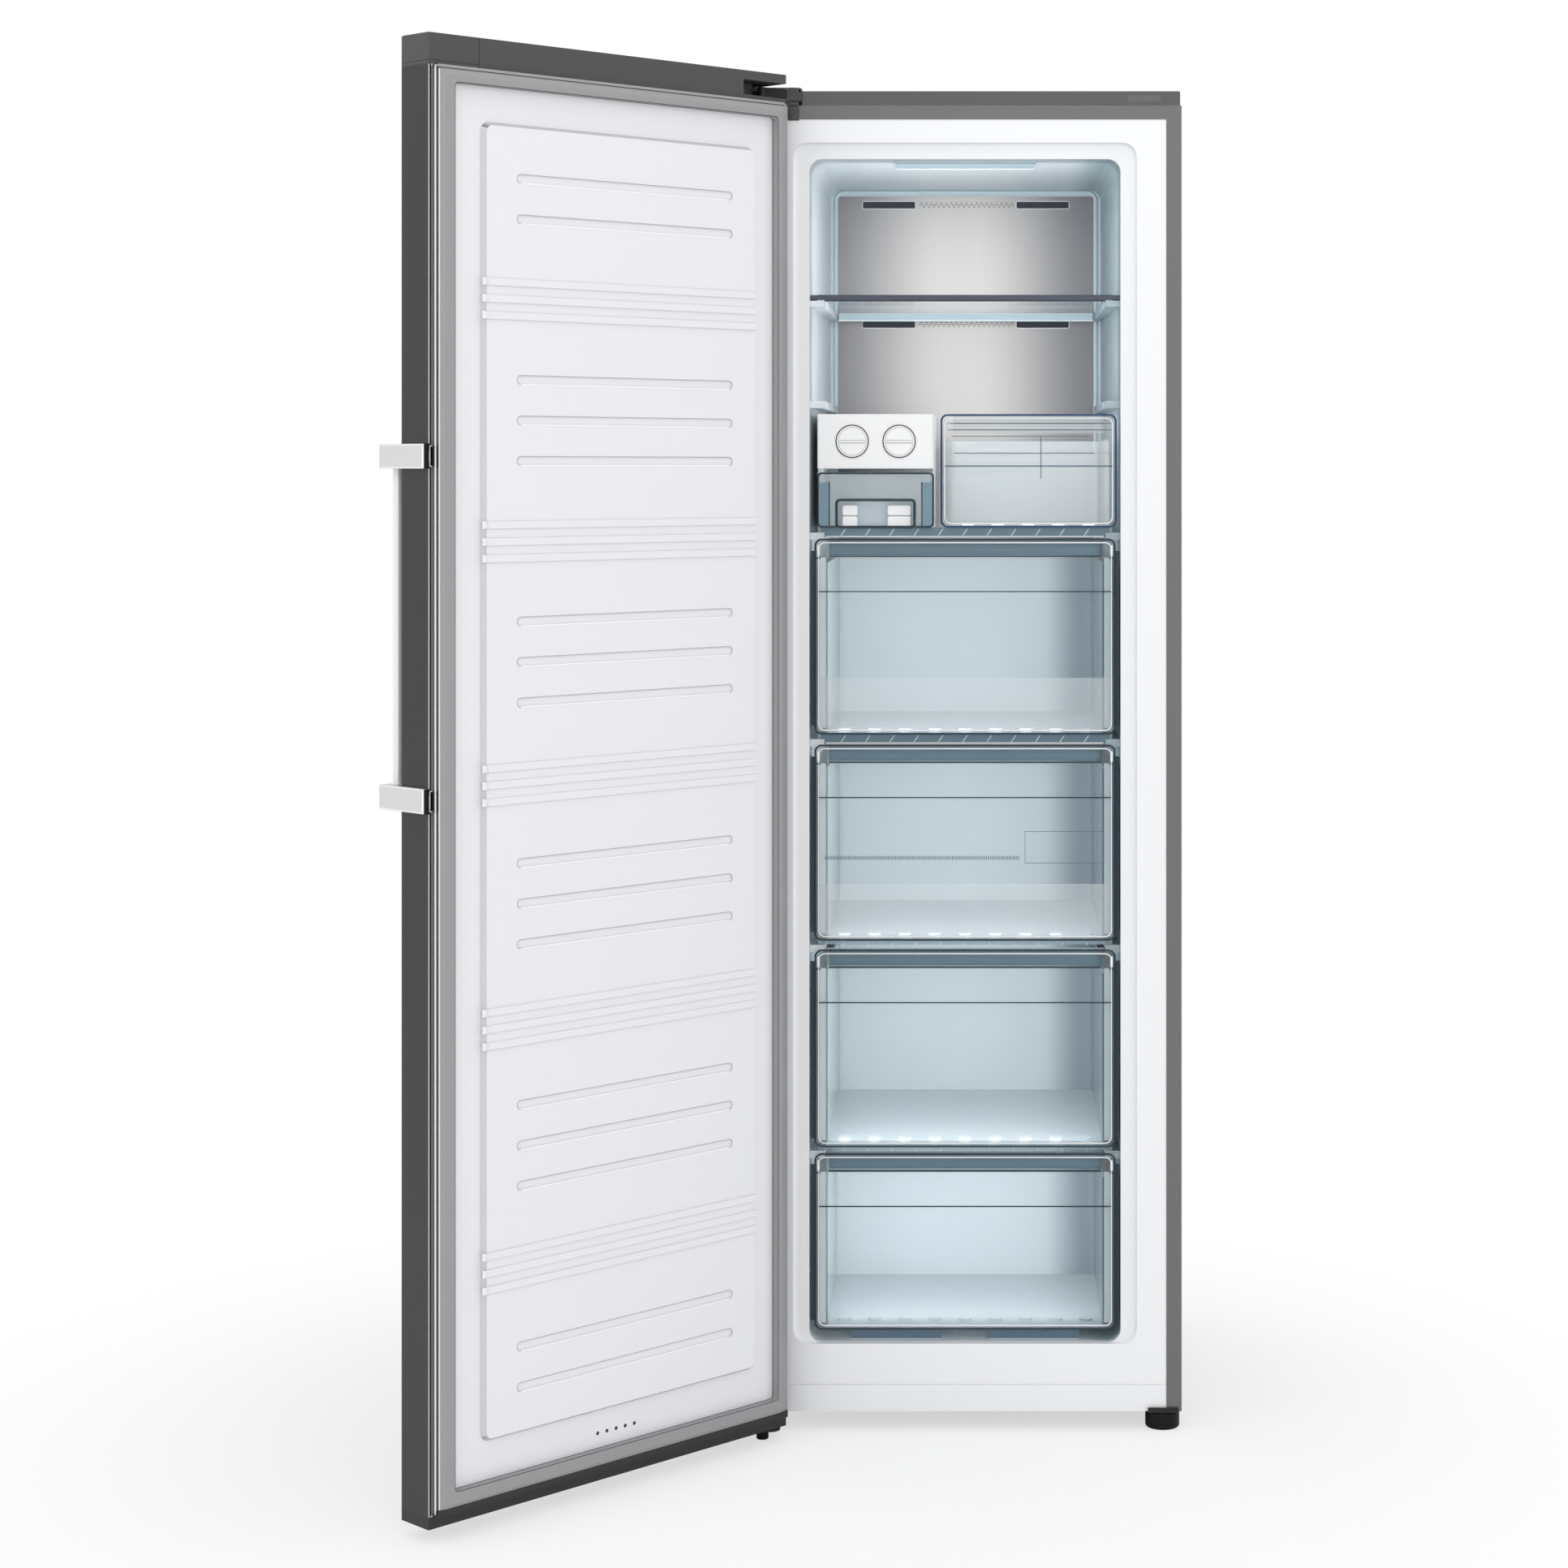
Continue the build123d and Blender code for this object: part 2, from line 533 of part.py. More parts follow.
def foam_insulation():
    """Rigid foam between the liner and the outer panels."""
    y0 = FRONT + SHEET + LINER
    core = block(LEFT + SHEET, RIGHT - SHEET, y0, REAR - SHEET, BASE_TOP, BODY_TOP - SHEET)
    compartment = block(LEFT, RIGHT, COMPARTMENT_FRONT, REAR, BODY_BOTTOM, COMPARTMENT_TOP)
    behind_plinth = block(LEFT, RIGHT, FRONT, FRONT + SHEET + PLINTH_SHEET,
                          BODY_BOTTOM, BODY_BOTTOM + PLINTH_HEIGHT)
    condenser_room = block(MIDDLE - CONDENSER_WIDTH / 2 - CONDENSER_PITCH / 2,
                           MIDDLE + CONDENSER_WIDTH / 2 + CONDENSER_PITCH / 2,
                           REAR - SHEET - PIPE, REAR,
                           COMPARTMENT_TOP + CONDENSER_PITCH / 2,
                           COMPARTMENT_TOP + CONDENSER_PITCH * (CONDENSER_PASSES + 1))
    stud_room = rod((*front_foot_place(), BASE_TOP), FRONT_FOOT_STUD + CLEARANCE,
                    FRONT_FOOT_HEIGHT)
    return (core - cavity(LINER) - compartment - behind_plinth - condenser_room
            - lamp_pocket(LINER) - drain_bore(DRAIN_RADIUS) - stud_room - flange_step())


# ---------------------------------------------------------------------------
# Outer panels
# ---------------------------------------------------------------------------
def side_panel(side):
    """Painted steel side with its front edge folded inwards; side is -1 or 1."""
    outer = MIDDLE + side * CABINET_WIDTH / 2
    inner = outer - side * SHEET
    fold = outer - side * SIDE_RETURN
    wall = block(min(outer, inner), max(outer, inner), FRONT, REAR, BODY_BOTTOM, BODY_TOP)
    edge = block(min(outer, fold), max(outer, fold), FRONT, FRONT + SHEET, BODY_BOTTOM, BODY_TOP)
    return wall + edge


def top_panel():
    """Painted steel top, with its front edge folded down between the sides."""
    plate = block(LEFT + SHEET, RIGHT - SHEET, FRONT + SHEET, REAR, BODY_TOP - SHEET, BODY_TOP)
    edge = block(LEFT + SIDE_RETURN, RIGHT - SIDE_RETURN, FRONT, FRONT + SHEET,
                 BODY_TOP - TOP_RETURN, BODY_TOP)
    return plate + edge - [rod((x, y, BODY_TOP), SCREW_RADIUS, -SHEET)
                           for x, y in upper_screw_places()]


def cover_screw_places():
    """X and Z of the screws of the rear compartment cover."""
    xs = (LEFT + SCREW_INSET, MIDDLE, RIGHT - SCREW_INSET)
    return [(x, COMPARTMENT_TOP - SCREW_INSET) for x in xs]


def upper_screw_places():
    """X and Y of the screws of the upper hinge bracket."""
    ys = (FRONT + UPPER_BRACKET_DEPTH / 2, FRONT + UPPER_BRACKET_DEPTH - SCREW_INSET / 2)
    return [(x, y) for x in (0, ARM_REACH) for y in ys]


def lower_screw_places():
    """X and Y of the screws of the lower hinge bracket."""
    ys = (FRONT + LOWER_BRACKET_DEPTH / 2, FRONT + LOWER_BRACKET_DEPTH - SCREW_INSET / 2)
    return [(x, y) for x in (0, LOWER_BRACKET_SIDE) for y in ys]


def flange_step():
    """The short step that sets the back's lower flange behind the cover."""
    return block(LEFT + SHEET, RIGHT - SHEET, REAR - COVER_SHEET - FLANGE_SHEET, REAR,
                 COMPARTMENT_TOP, COMPARTMENT_TOP + FLANGE_SHEET)


def rear_panel():
    """Steel back above the machine compartment, with a flange for the cover's screws."""
    plate = block(LEFT + SHEET, RIGHT - SHEET, REAR - SHEET, REAR,
                  COMPARTMENT_TOP, BODY_TOP - SHEET)
    y1 = REAR - COVER_SHEET
    flange = block(LEFT + SHEET, RIGHT - SHEET, y1 - FLANGE_SHEET, y1,
                   COMPARTMENT_TOP - FLANGE_HEIGHT, COMPARTMENT_TOP + FLANGE_SHEET)
    holes = [rod((x, y1, z), SCREW_RADIUS, -FLANGE_SHEET, "Y") for x, z in cover_screw_places()]
    return plate + flange_step() + flange - holes


def plinth_panel():
    """White strip under the liner's flange."""
    tuck = SIDE_RETURN - FLANGE_TUCK
    return block(LEFT + tuck, RIGHT - tuck, FRONT + SHEET, FRONT + SHEET + PLINTH_SHEET,
                 BODY_BOTTOM, BODY_BOTTOM + PLINTH_HEIGHT - CLEARANCE)


def front_foot_place():
    """Axis of the front foot on the free side."""
    return RIGHT - FRONT_FOOT_INSET, FRONT + FRONT_FOOT_SETBACK


def roller_places():
    """Middle of each rear roller."""
    y = REAR - ROLLER_FROM_REAR
    return [(LEFT + ROLLER_INSET, y, ROLLER_RADIUS), (RIGHT - ROLLER_INSET, y, ROLLER_RADIUS)]


def base_plate():
    """Steel floor of the body, with ears for the rollers and a tab at the front foot."""
    front = FRONT + SHEET + PLINTH_SHEET
    plate = block(LEFT + SHEET, RIGHT - SHEET, front, REAR - COVER_SHEET, BODY_BOTTOM, BASE_TOP)
    foot_x, foot_y = front_foot_place()
    tab_low = BODY_BOTTOM - BASE_SHEET
    tab_front = FRONT - FOOT_TAB_PROUD
    half = FOOT_TAB[0] / 2
    tab = block(foot_x - half, foot_x + half, tab_front, foot_y + FRONT_FOOT_RADIUS,
                tab_low, BODY_BOTTOM)
    lip = block(foot_x - half, foot_x + half, tab_front, tab_front + BASE_SHEET,
                tab_low, FOOT_TAB[1])
    plate = plate + tab + lip
    for x, y, z in roller_places():
        half_gap = ROLLER_WIDTH / 2 + EAR_GAP
        reach = ROLLER_RADIUS + 2 * EAR_SHEET
        plate -= block(x - half_gap, x + half_gap, y - reach, y + reach, tab_low, BASE_TOP)
        for side in (-1, 1):
            inner = x + side * half_gap
            outer = inner + side * EAR_SHEET
            ear = block(min(inner, outer), max(inner, outer), y - EAR_WIDTH / 2,
                        y + EAR_WIDTH / 2, z - EAR_WIDTH / 2, BASE_TOP)
            plate += ear
        plate -= rod((x - half_gap - 2 * EAR_SHEET, y, z), AXLE_RADIUS,
                     2 * half_gap + 4 * EAR_SHEET, "X")
    plate -= rod((foot_x, foot_y, tab_low - BASE_SHEET), FRONT_FOOT_STUD + RUNNING_FIT,
                 4 * BASE_SHEET)
    for x, y in lower_screw_places():
        plate -= rod((x, y, BODY_BOTTOM), SCREW_RADIUS, BASE_SHEET)
    return plate


def rear_roller(place):
    """Plastic roller with a bore for its axle."""
    x, y, z = place
    wheel = rod((x - ROLLER_WIDTH / 2, y, z), ROLLER_RADIUS, ROLLER_WIDTH, "X")
    wheel = fillet(wheel.edges().filter_by(GeomType.CIRCLE), EAR_SHEET)
    return wheel - rod((x - ROLLER_WIDTH, y, z), AXLE_RADIUS + RUNNING_FIT,
                       2 * ROLLER_WIDTH, "X")


def roller_axles():
    """Steel pins through the ears and the rollers."""
    length = ROLLER_WIDTH + 2 * (EAR_GAP + EAR_SHEET)
    pins = [rod((x - length / 2, y, z), AXLE_RADIUS, length, "X") for x, y, z in roller_places()]
    return joined(pins)


def front_foot():
    """Round levelling foot with its stud in the base."""
    x, y = front_foot_place()
    pad = rod((x, y, 0), FRONT_FOOT_RADIUS, FRONT_FOOT_HEIGHT)
    pad = fillet(pad.edges().group_by(Axis.Z)[0], FRONT_FOOT_STUD)
    pad = chamfer(pad.edges().group_by(Axis.Z)[-1], BASE_SHEET)
    return pad + rod((x, y, FRONT_FOOT_HEIGHT), FRONT_FOOT_STUD,
                     BASE_TOP - FRONT_FOOT_HEIGHT + FRONT_FOOT_STUD)


def compartment_cover():
    """Plate over the rear of the machine compartment, with two groups of vent slots."""
    plate = block(LEFT + SHEET, RIGHT - SHEET, REAR - COVER_SHEET, REAR,
                  BODY_BOTTOM, COMPARTMENT_TOP)
    middle_z = (BODY_BOTTOM + COMPARTMENT_TOP) / 2
    cuts = []
    for side in (-1, 1):
        for i in range(COVER_SLOT_COUNT):
            x = MIDDLE + side * (COVER_SLOT_PITCH * (i + 2))
            cuts.append(block(x - COVER_SLOT[0] / 2, x + COVER_SLOT[0] / 2,
                              REAR - 2 * COVER_SHEET, REAR + COVER_SHEET,
                              middle_z - COVER_SLOT[1] / 2, middle_z + COVER_SLOT[1] / 2))
    gland_x, gland_z = gland_place()
    cuts.append(rod((gland_x, REAR - 2 * COVER_SHEET, gland_z), GLAND_RADIUS,
                    4 * COVER_SHEET, "Y"))
    for x, z in cover_screw_places():
        cuts.append(rod((x, REAR, z), SCREW_RADIUS, -COVER_SHEET, "Y"))
    return plate - cuts


def gland_place():
    """X and Z of the mains inlet in the rear cover."""
    return RIGHT - ROLLER_INSET, BODY_BOTTOM + ROLLER_INSET


def cord_gland():
    """Plastic bush that lines the mains inlet."""
    x, z = gland_place()
    body = rod((x, REAR - GLAND_LENGTH, z), GLAND_RADIUS, GLAND_LENGTH, "Y")
    return body - rod((x, REAR - 2 * GLAND_LENGTH, z), GLAND_BORE, 3 * GLAND_LENGTH, "Y")


# ---------------------------------------------------------------------------
# Top cover, control window and boards
# ---------------------------------------------------------------------------
def hinge_cover_room(gap=0.0):
    """The corner of the top that the hinge cover takes."""
    return block(LEFT - CLEARANCE, LEFT + HINGE_COVER_WIDTH + gap, FRONT - HINGE_COVER_LIP,
                 FRONT - HINGE_COVER_LIP + HINGE_COVER_DEPTH + gap, BODY_TOP,
                 CABINET_TOP + HINGE_COVER_RISE)


def window_box(gap=0.0):
    """The seat of the control window in the front of the top cover."""
    x1 = RIGHT - WINDOW_FROM_FREE_SIDE
    z = (BODY_TOP + CABINET_TOP) / 2
    return block(x1 - WINDOW_WIDTH - gap, x1 + gap, FRONT, FRONT + WINDOW_SHEET,
                 z - WINDOW_HEIGHT / 2 - gap, z + WINDOW_HEIGHT / 2 + gap)


def top_cover():
    """Plastic cover over the whole top, open underneath."""
    x0, x1 = LEFT + TOP_COVER_INSET, RIGHT - TOP_COVER_INSET
    outer = block(x0, x1, FRONT, REAR, BODY_TOP, CABINET_TOP)
    outer = fillet(outer.edges().group_by(Axis.Z)[-1], TOP_COVER_WALL)
    inner = block(x0 + TOP_COVER_WALL, x1 - TOP_COVER_WALL, FRONT + TOP_COVER_WALL,
                  REAR - TOP_COVER_WALL, BODY_TOP, CABINET_TOP - TOP_COVER_WALL)
    return outer - inner - hinge_cover_room(CLEARANCE) - window_box()


def control_window():
    """Smoked window flush in the top cover's front."""
    return window_box(-CLEARANCE / 4)


def circuit_boards():
    """Control board on the steel top, and the lamp's board in its pocket."""
    width, depth, height = CONTROL_BOARD
    x1 = RIGHT - WINDOW_FROM_FREE_SIDE
    y0 = FRONT + TOP_COVER_WALL + CLEARANCE
    board = block(x1 - width, x1, y0, y0 + depth, BODY_TOP, BODY_TOP + height)
    relay = block(x1 - width / 3, x1 - height, y0 + depth / 3, y0 + depth - height,
                  BODY_TOP + height, BODY_TOP + height + TOP_COVER_HEIGHT / 3)
    lamp_w, lamp_d, lamp_h = LAMP_BOARD
    y = FRONT + LAMP_SETBACK + LAMP_DEPTH / 2
    top = CAVITY_TOP + LAMP_POCKET
    lamp = block(MIDDLE - lamp_w / 2, MIDDLE + lamp_w / 2, y - lamp_d / 2, y + lamp_d / 2,
                 top - lamp_h, top)
    return board + relay + lamp


def lamp_cover():
    """Clear cover in the ceiling."""
    y0 = FRONT + LAMP_SETBACK
    low = ceiling(y0 + LAMP_DEPTH) - LINER / 2
    return block(MIDDLE - LAMP_WIDTH / 2, MIDDLE + LAMP_WIDTH / 2, y0, y0 + LAMP_DEPTH,
                 low, low + LAMP_COVER)


# ---------------------------------------------------------------------------
# Evaporator panel, coil, heater and fan
# ---------------------------------------------------------------------------
def vent(x, drop, size, y0, y1):
    """One air outlet at a distance below the cavity's ceiling."""
    z = CAVITY_TOP - drop * STACK_SCALE
    return rounded_slab(x - size[0] / 2, x + size[0] / 2, y0, y1,
                        z - size[1] / 2, z + size[1] / 2, VENT_CORNER)


def vent_slots(y0, y1):
    """The air outlets through the panel, in rows of two and a group behind the upper drawer."""
    cuts = []
    for drop in VENT_DROPS:
        for side in (-1, 1):
            cuts.append(vent(MIDDLE + side * VENT_OFFSET, drop, VENT_SLOT, y0, y1))
    for drop in SMALL_SLOT_DROPS:
        cuts.append(vent(MIDDLE + SMALL_SLOT_OFFSET, drop, SMALL_SLOT, y0, y1))
    return cuts


def cover_plate():
    """Brushed metal face of the evaporator panel."""
    half = cavity_half_width(PANEL_FACE) - PANEL_MARGIN
    plate = block(MIDDLE - half, MIDDLE + half, PANEL_FACE, PANEL_FACE + PANEL_SHEET,
                  STEP_TOP + PANEL_MARGIN, ceiling(PANEL_FACE) - PANEL_MARGIN)
    return plate - vent_slots(PANEL_FACE - PANEL_SHEET, PANEL_FACE + 2 * PANEL_SHEET)


def evaporator_cover():
    """Plastic carrier of the metal face, with side cheeks back to the liner."""
    y0 = PANEL_FACE + PANEL_SHEET
    rear = CAVITY_REAR - CLEARANCE
    half = cavity_half_width(CAVITY_REAR) - CLEARANCE
    top = ceiling(CAVITY_REAR) - MOUTH_RADIUS
    bottom = STEP_TOP + CLEARANCE
    plate = block(MIDDLE - half, MIDDLE + half, y0, DUCT_FRONT, bottom, top)
    cheeks = [block(MIDDLE + side * half - PANEL_CARRIER * (side > 0),
                    MIDDLE + side * half + PANEL_CARRIER * (side < 0),
                    y0, rear, bottom + DRAIN_RADIUS * 4, top) for side in (-1, 1)]
    duct = joined([plate] + cheeks)
    fan_hole = rod((MIDDLE, y0 - PANEL_CARRIER, FAN_HEIGHT), FAN_HUB_RADIUS, 3 * PANEL_CARRIER, "Y")
    return duct - vent_slots(y0 - PANEL_SHEET, DUCT_FRONT + PANEL_SHEET) - fan_hole


def evaporator_coil():
    """Finned serpentine of the evaporator, on two brackets against the liner."""
    radius = COIL_TUBE / 2
    half = COIL_WIDTH / 2
    bottom = COIL_TOP - COIL_ROW_PITCH * (COIL_ROWS - 1)
    points = []
    for row in range(COIL_ROWS):
        z = COIL_TOP - row * COIL_ROW_PITCH
        ends = (MIDDLE - half, MIDDLE + half) if row % 2 == 0 else (MIDDLE + half, MIDDLE - half)
        points += [(x, DUCT_MIDDLE, z) for x in ends]
    coil = pipe(points, radius, COIL_ROW_PITCH / 2 - COIL_TUBE / 8)
    depth, height, sheet = COIL_FIN
    middle_z = (COIL_TOP + bottom) / 2
    step = (COIL_WIDTH - 2 * COIL_ROW_PITCH) / (COIL_FIN_COUNT - 1)
    fins = []
    for i in range(COIL_FIN_COUNT):
        x = MIDDLE - half + COIL_ROW_PITCH + i * step
        deep = CAVITY_REAR if i in (0, COIL_FIN_COUNT - 1) else DUCT_MIDDLE + depth / 2
        fins.append(block(x - sheet / 2, x + sheet / 2, DUCT_MIDDLE - depth / 2, deep,
                          middle_z - height / 2, middle_z + height / 2))
    return coil + fins


def defrost_heater():
    """Bent heater tube under the coil, resting on the liner's step."""
    z = COIL_TOP - COIL_ROW_PITCH * (COIL_ROWS - 1) - HEATER_DROP
    half = COIL_WIDTH / 2 - COIL_ROW_PITCH
    radius = HEATER_TUBE / 2
    points = [(MIDDLE - half, DUCT_MIDDLE, STEP_TOP), (MIDDLE - half, DUCT_MIDDLE, z),
              (MIDDLE + half, DUCT_MIDDLE, z), (MIDDLE + half, DUCT_MIDDLE, STEP_TOP)]
    return pipe(points, radius, 2 * HEATER_TUBE)


def fan_motor():
    """Fan motor on the liner's rear wall, with its shaft."""
    body_start = CAVITY_REAR - MOTOR_LENGTH
    motor = rod((MIDDLE, body_start, FAN_HEIGHT), MOTOR_RADIUS, MOTOR_LENGTH, "Y")
    foot = block(MIDDLE - FAN_RADIUS, MIDDLE + FAN_RADIUS, CAVITY_REAR - PANEL_CARRIER,
                 CAVITY_REAR, FAN_HEIGHT - MOTOR_RADIUS / 2, FAN_HEIGHT + MOTOR_RADIUS / 2)
    shaft_start = DUCT_FRONT + CLEARANCE
    shaft = rod((MIDDLE, shaft_start, FAN_HEIGHT), FAN_SHAFT / 2, body_start - shaft_start, "Y")
    return motor + foot + shaft


def fan_blade():
    """Axial fan with pitched blades on a hub."""
    y0 = DUCT_FRONT + PANEL_CARRIER
    hub = rod((0, 0, 0), FAN_HUB_RADIUS, FAN_DEPTH)
    blades = []
    for i in range(FAN_BLADES):
        reach = FAN_RADIUS - FAN_HUB_RADIUS / 2
        place = Pos(FAN_HUB_RADIUS / 2 + reach / 2, 0, FAN_DEPTH / 2) * Rot(FAN_PITCH, 0, 0)
        blade = place * Box(reach, FAN_CHORD, FAN_SHEET)
        blades.append(Rot(0, 0, 360 / FAN_BLADES * i) * blade)
    wheel = hub + blades
    wheel = wheel & rod((0, 0, 0), FAN_RADIUS, FAN_DEPTH)
    wheel -= rod((0, 0, -FAN_DEPTH), FAN_SHAFT / 2 + RUNNING_FIT, 3 * FAN_DEPTH)
    return Pos(MIDDLE, y0, FAN_HEIGHT) * Rot(-90, 0, 0) * wheel


# ---------------------------------------------------------------------------
# Machine compartment
# ---------------------------------------------------------------------------
def compressor():
    """Hermetic compressor: welded shell, feet and terminal box."""
    place = Pos(COMPRESSOR_X, COMPRESSOR_Y, COMPRESSOR_BOTTOM)
    length, width, sheet = COMPRESSOR_FOOT
    middle = Pos(0, 0, sheet + COMPRESSOR_HEIGHT / 2)
    shell = middle * Cylinder(COMPRESSOR_RADIUS, COMPRESSOR_HEIGHT)
    shell = fillet(shell.edges().filter_by(GeomType.CIRCLE), COMPRESSOR_RADIUS / 3)
    seam = middle * Cylinder(COMPRESSOR_RADIUS + sheet, COMPRESSOR_SEAM)
    feet = [Pos(0, side * COMPRESSOR_FOOT_SPACING / 2, sheet / 2) * Box(length, width, sheet)
            for side in (-1, 1)]
    terminals = Pos(COMPRESSOR_RADIUS, 0, TERMINAL_RISE) * Box(*TERMINAL_BOX)
    return place * joined([shell, seam, terminals] + feet)


def compressor_mounts():
    """Four rubber grommets between the compressor's feet and the base."""
    grommets = []
    for sx in (-1, 1):
        for sy in (-1, 1):
            x = COMPRESSOR_X + sx * GROMMET_SPACING / 2
            y = COMPRESSOR_Y + sy * COMPRESSOR_FOOT_SPACING / 2
            grommets.append(rod((x, y, BASE_TOP), GROMMET_RADIUS, GROMMET_HEIGHT))
    return joined(grommets)


def evaporation_tray():
    """Shallow tray on the compressor that catches the melt water."""
    width, depth, height = TRAY_SIZE
    z = COMPRESSOR_BOTTOM + COMPRESSOR_FOOT[2] + COMPRESSOR_HEIGHT
    outer = block(COMPRESSOR_X - width / 2, COMPRESSOR_X + width / 2, COMPRESSOR_Y - depth / 2,
                  COMPRESSOR_Y + depth / 2, z, z + height)
    outer = fillet(outer.edges().filter_by(Axis.Z), TRAY_SIZE[2] / 4)
    inner = block(COMPRESSOR_X - width / 2 + TRAY_WALL, COMPRESSOR_X + width / 2 - TRAY_WALL,
                  COMPRESSOR_Y - depth / 2 + TRAY_WALL, COMPRESSOR_Y + depth / 2 - TRAY_WALL,
                  z + TRAY_WALL, z + height + TRAY_WALL)
    inner = fillet(inner.edges().filter_by(Axis.Z), TRAY_SIZE[2] / 4 - TRAY_WALL)
    return outer - inner


def drain_hose():
    """Upright drain from the evaporator's floor to the tray."""
    tray_top = COMPRESSOR_BOTTOM + COMPRESSOR_FOOT[2] + COMPRESSOR_HEIGHT + TRAY_SIZE[2]
    low = tray_top - TRAY_SIZE[2] / 2
    tube = rod((COMPRESSOR_X, COMPRESSOR_Y, low), DRAIN_RADIUS, STEP_TOP - low)
    return tube - rod((COMPRESSOR_X, COMPRESSOR_Y, low - DRAIN_RADIUS),
                      DRAIN_RADIUS - DRAIN_WALL, STEP_TOP - low + 2 * DRAIN_RADIUS)


def condenser_pipes():
    """Serpentine on the steel back and the two pipes in the machine compartment."""
    radius = PIPE / 2
    half = CONDENSER_WIDTH / 2
    y = REAR - SHEET - radius
    points = []
    for row in range(CONDENSER_PASSES):
        z = COMPARTMENT_TOP + CONDENSER_PITCH * (row + 1)
        ends = (MIDDLE - half, MIDDLE + half) if row % 2 == 0 else (MIDDLE + half, MIDDLE - half)
        points += [(x, y, z) for x in ends]
    bend = CONDENSER_PITCH / 2 - radius / 2
    serpentine = pipe(points, radius, bend)
    pipes = []
    for side, rise in zip((1, -1), PIPE_RISES):
        start_y = COMPRESSOR_Y - side * COMPRESSOR_RADIUS
        z = COMPRESSOR_BOTTOM + rise
        y_out = start_y - side * 3 * PIPE
        x_out = COMPRESSOR_X + GROMMET_SPACING
        path = [(COMPRESSOR_X, start_y, z), (COMPRESSOR_X, y_out, z), (x_out, y_out, z),
                (x_out, y_out, COMPARTMENT_TOP)]
        pipes.append(pipe(path, radius, 2 * PIPE))
    return joined([serpentine] + pipes)


# ---------------------------------------------------------------------------
# Shelves
# ---------------------------------------------------------------------------
def shelf_half():
    """Half the width of a shelf, so that it clears the cavity at its rear end."""
    return cavity_half_width(PANEL_FACE) - SHELF_MARGIN


def glass_shelf():
    """Toughened glass plate on the upper side supports."""
    half = shelf_half()
    y0 = FRONT + SHELF_FRONT
    plate = block(MIDDLE - half, MIDDLE + half, y0, y0 + SHELF_DEPTH,
                  GLASS_BOTTOM, GLASS_BOTTOM + GLASS)
    return chamfer(plate.edges().filter_by(Axis.Z), GLASS / 2)


def glass_shelf_trim():
    """Strip over the front edge of the glass."""
    half = shelf_half()
    depth, height = SHELF_TRIM
    y0 = FRONT + SHELF_FRONT
    middle_z = GLASS_BOTTOM + GLASS / 2
    strip = block(MIDDLE - half, MIDDLE + half, y0 - depth / 2, y0 + depth / 2,
                  middle_z - height / 2, middle_z + height / 2)
    strip = fillet(strip.edges().filter_by(Axis.X).group_by(Axis.Y)[0], depth / 4)
    for side in (-1, 1):
        inner = MIDDLE + side * (CAVITY_RIGHT - MIDDLE - LEDGE_WIDTH - CLEARANCE)
        outer = MIDDLE + side * half
        strip -= block(min(inner, outer), max(inner, outer), FRONT + LEDGE_SETBACK - CLEARANCE,
                       y0 + depth, GLASS_BOTTOM - height, GLASS_BOTTOM)
    return strip - glass_shelf()


def drawer_shelf(level):
    """Clear ribbed shelf that a drawer runs on."""
    half = shelf_half()
    y0 = FRONT + SHELF_FRONT
    rib_w, rib_h = SHELF_RIB
    plate = block(MIDDLE - half, MIDDLE + half, y0, y0 + SHELF_DEPTH,
                  level, level + SHELF_SHEET)
    bar = block(MIDDLE - half, MIDDLE + half, y0, y0 + 3 * rib_w, level, level + rib_h)
    count = int(2 * (half - LEDGE_WIDTH) / SHELF_RIB_PITCH)
    ribs = []
    for i in range(count + 1):
        x = MIDDLE + (i - count / 2) * SHELF_RIB_PITCH
        ribs.append(block(x - rib_w / 2, x + rib_w / 2, y0, y0 + SHELF_DEPTH,
                          level, level + rib_h))
    return joined([plate, bar] + ribs)


def drawer_shelves():
    """The four clear shelves."""
    return joined([drawer_shelf(level) for level in shelf_levels()])


# ---------------------------------------------------------------------------
# Drawers
# ---------------------------------------------------------------------------
def drawer_front(x, z, width, height, line_drop):
    """Front of a drawer with its finger hollow, side wings and moulded line."""
    y = DRAWER_FACE
    half = width / 2
    top = z + height
    plate = block(x - half, x + half, y, y + DRAWER_FRONT_WALL, z, top)
    lower = plate.edges().filter_by(Axis.Y).group_by(Axis.Z)[0]
    plate = fillet(lower, DRAWER_CORNER)
    wings = [block(x + side * half - DRAWER_WALL * (side > 0),
                   x + side * half + DRAWER_WALL * (side < 0), y, y + WING_DEPTH,
                   z + DRAWER_CORNER, top - WING_DROP) for side in (-1, 1)]
    grip = half - GRIP_SIDE
    floor = top - GRIP_HEIGHT
    back = y + DRAWER_FRONT_WALL + GRIP_DEPTH
    hood = block(x - grip - DRAWER_WALL, x + grip + DRAWER_WALL, y,
                 back + DRAWER_WALL, floor - DRAWER_WALL, top)
    mouth = block(x - grip, x + grip, y - DRAWER_WALL, y + DRAWER_FRONT_WALL,
                  floor, top - GRIP_LIP)
    hollow = block(x - grip, x + grip, y + DRAWER_FRONT_WALL, back, floor, top - DRAWER_WALL)
    line_z = top - line_drop
    line = block(x - half + DRAWER_CORNER, x + half - DRAWER_CORNER, y - LINE_RIB[0], y,
                 line_z - LINE_RIB[1] / 2, line_z + LINE_RIB[1] / 2)
    return plate + wings + hood - mouth - hollow + line


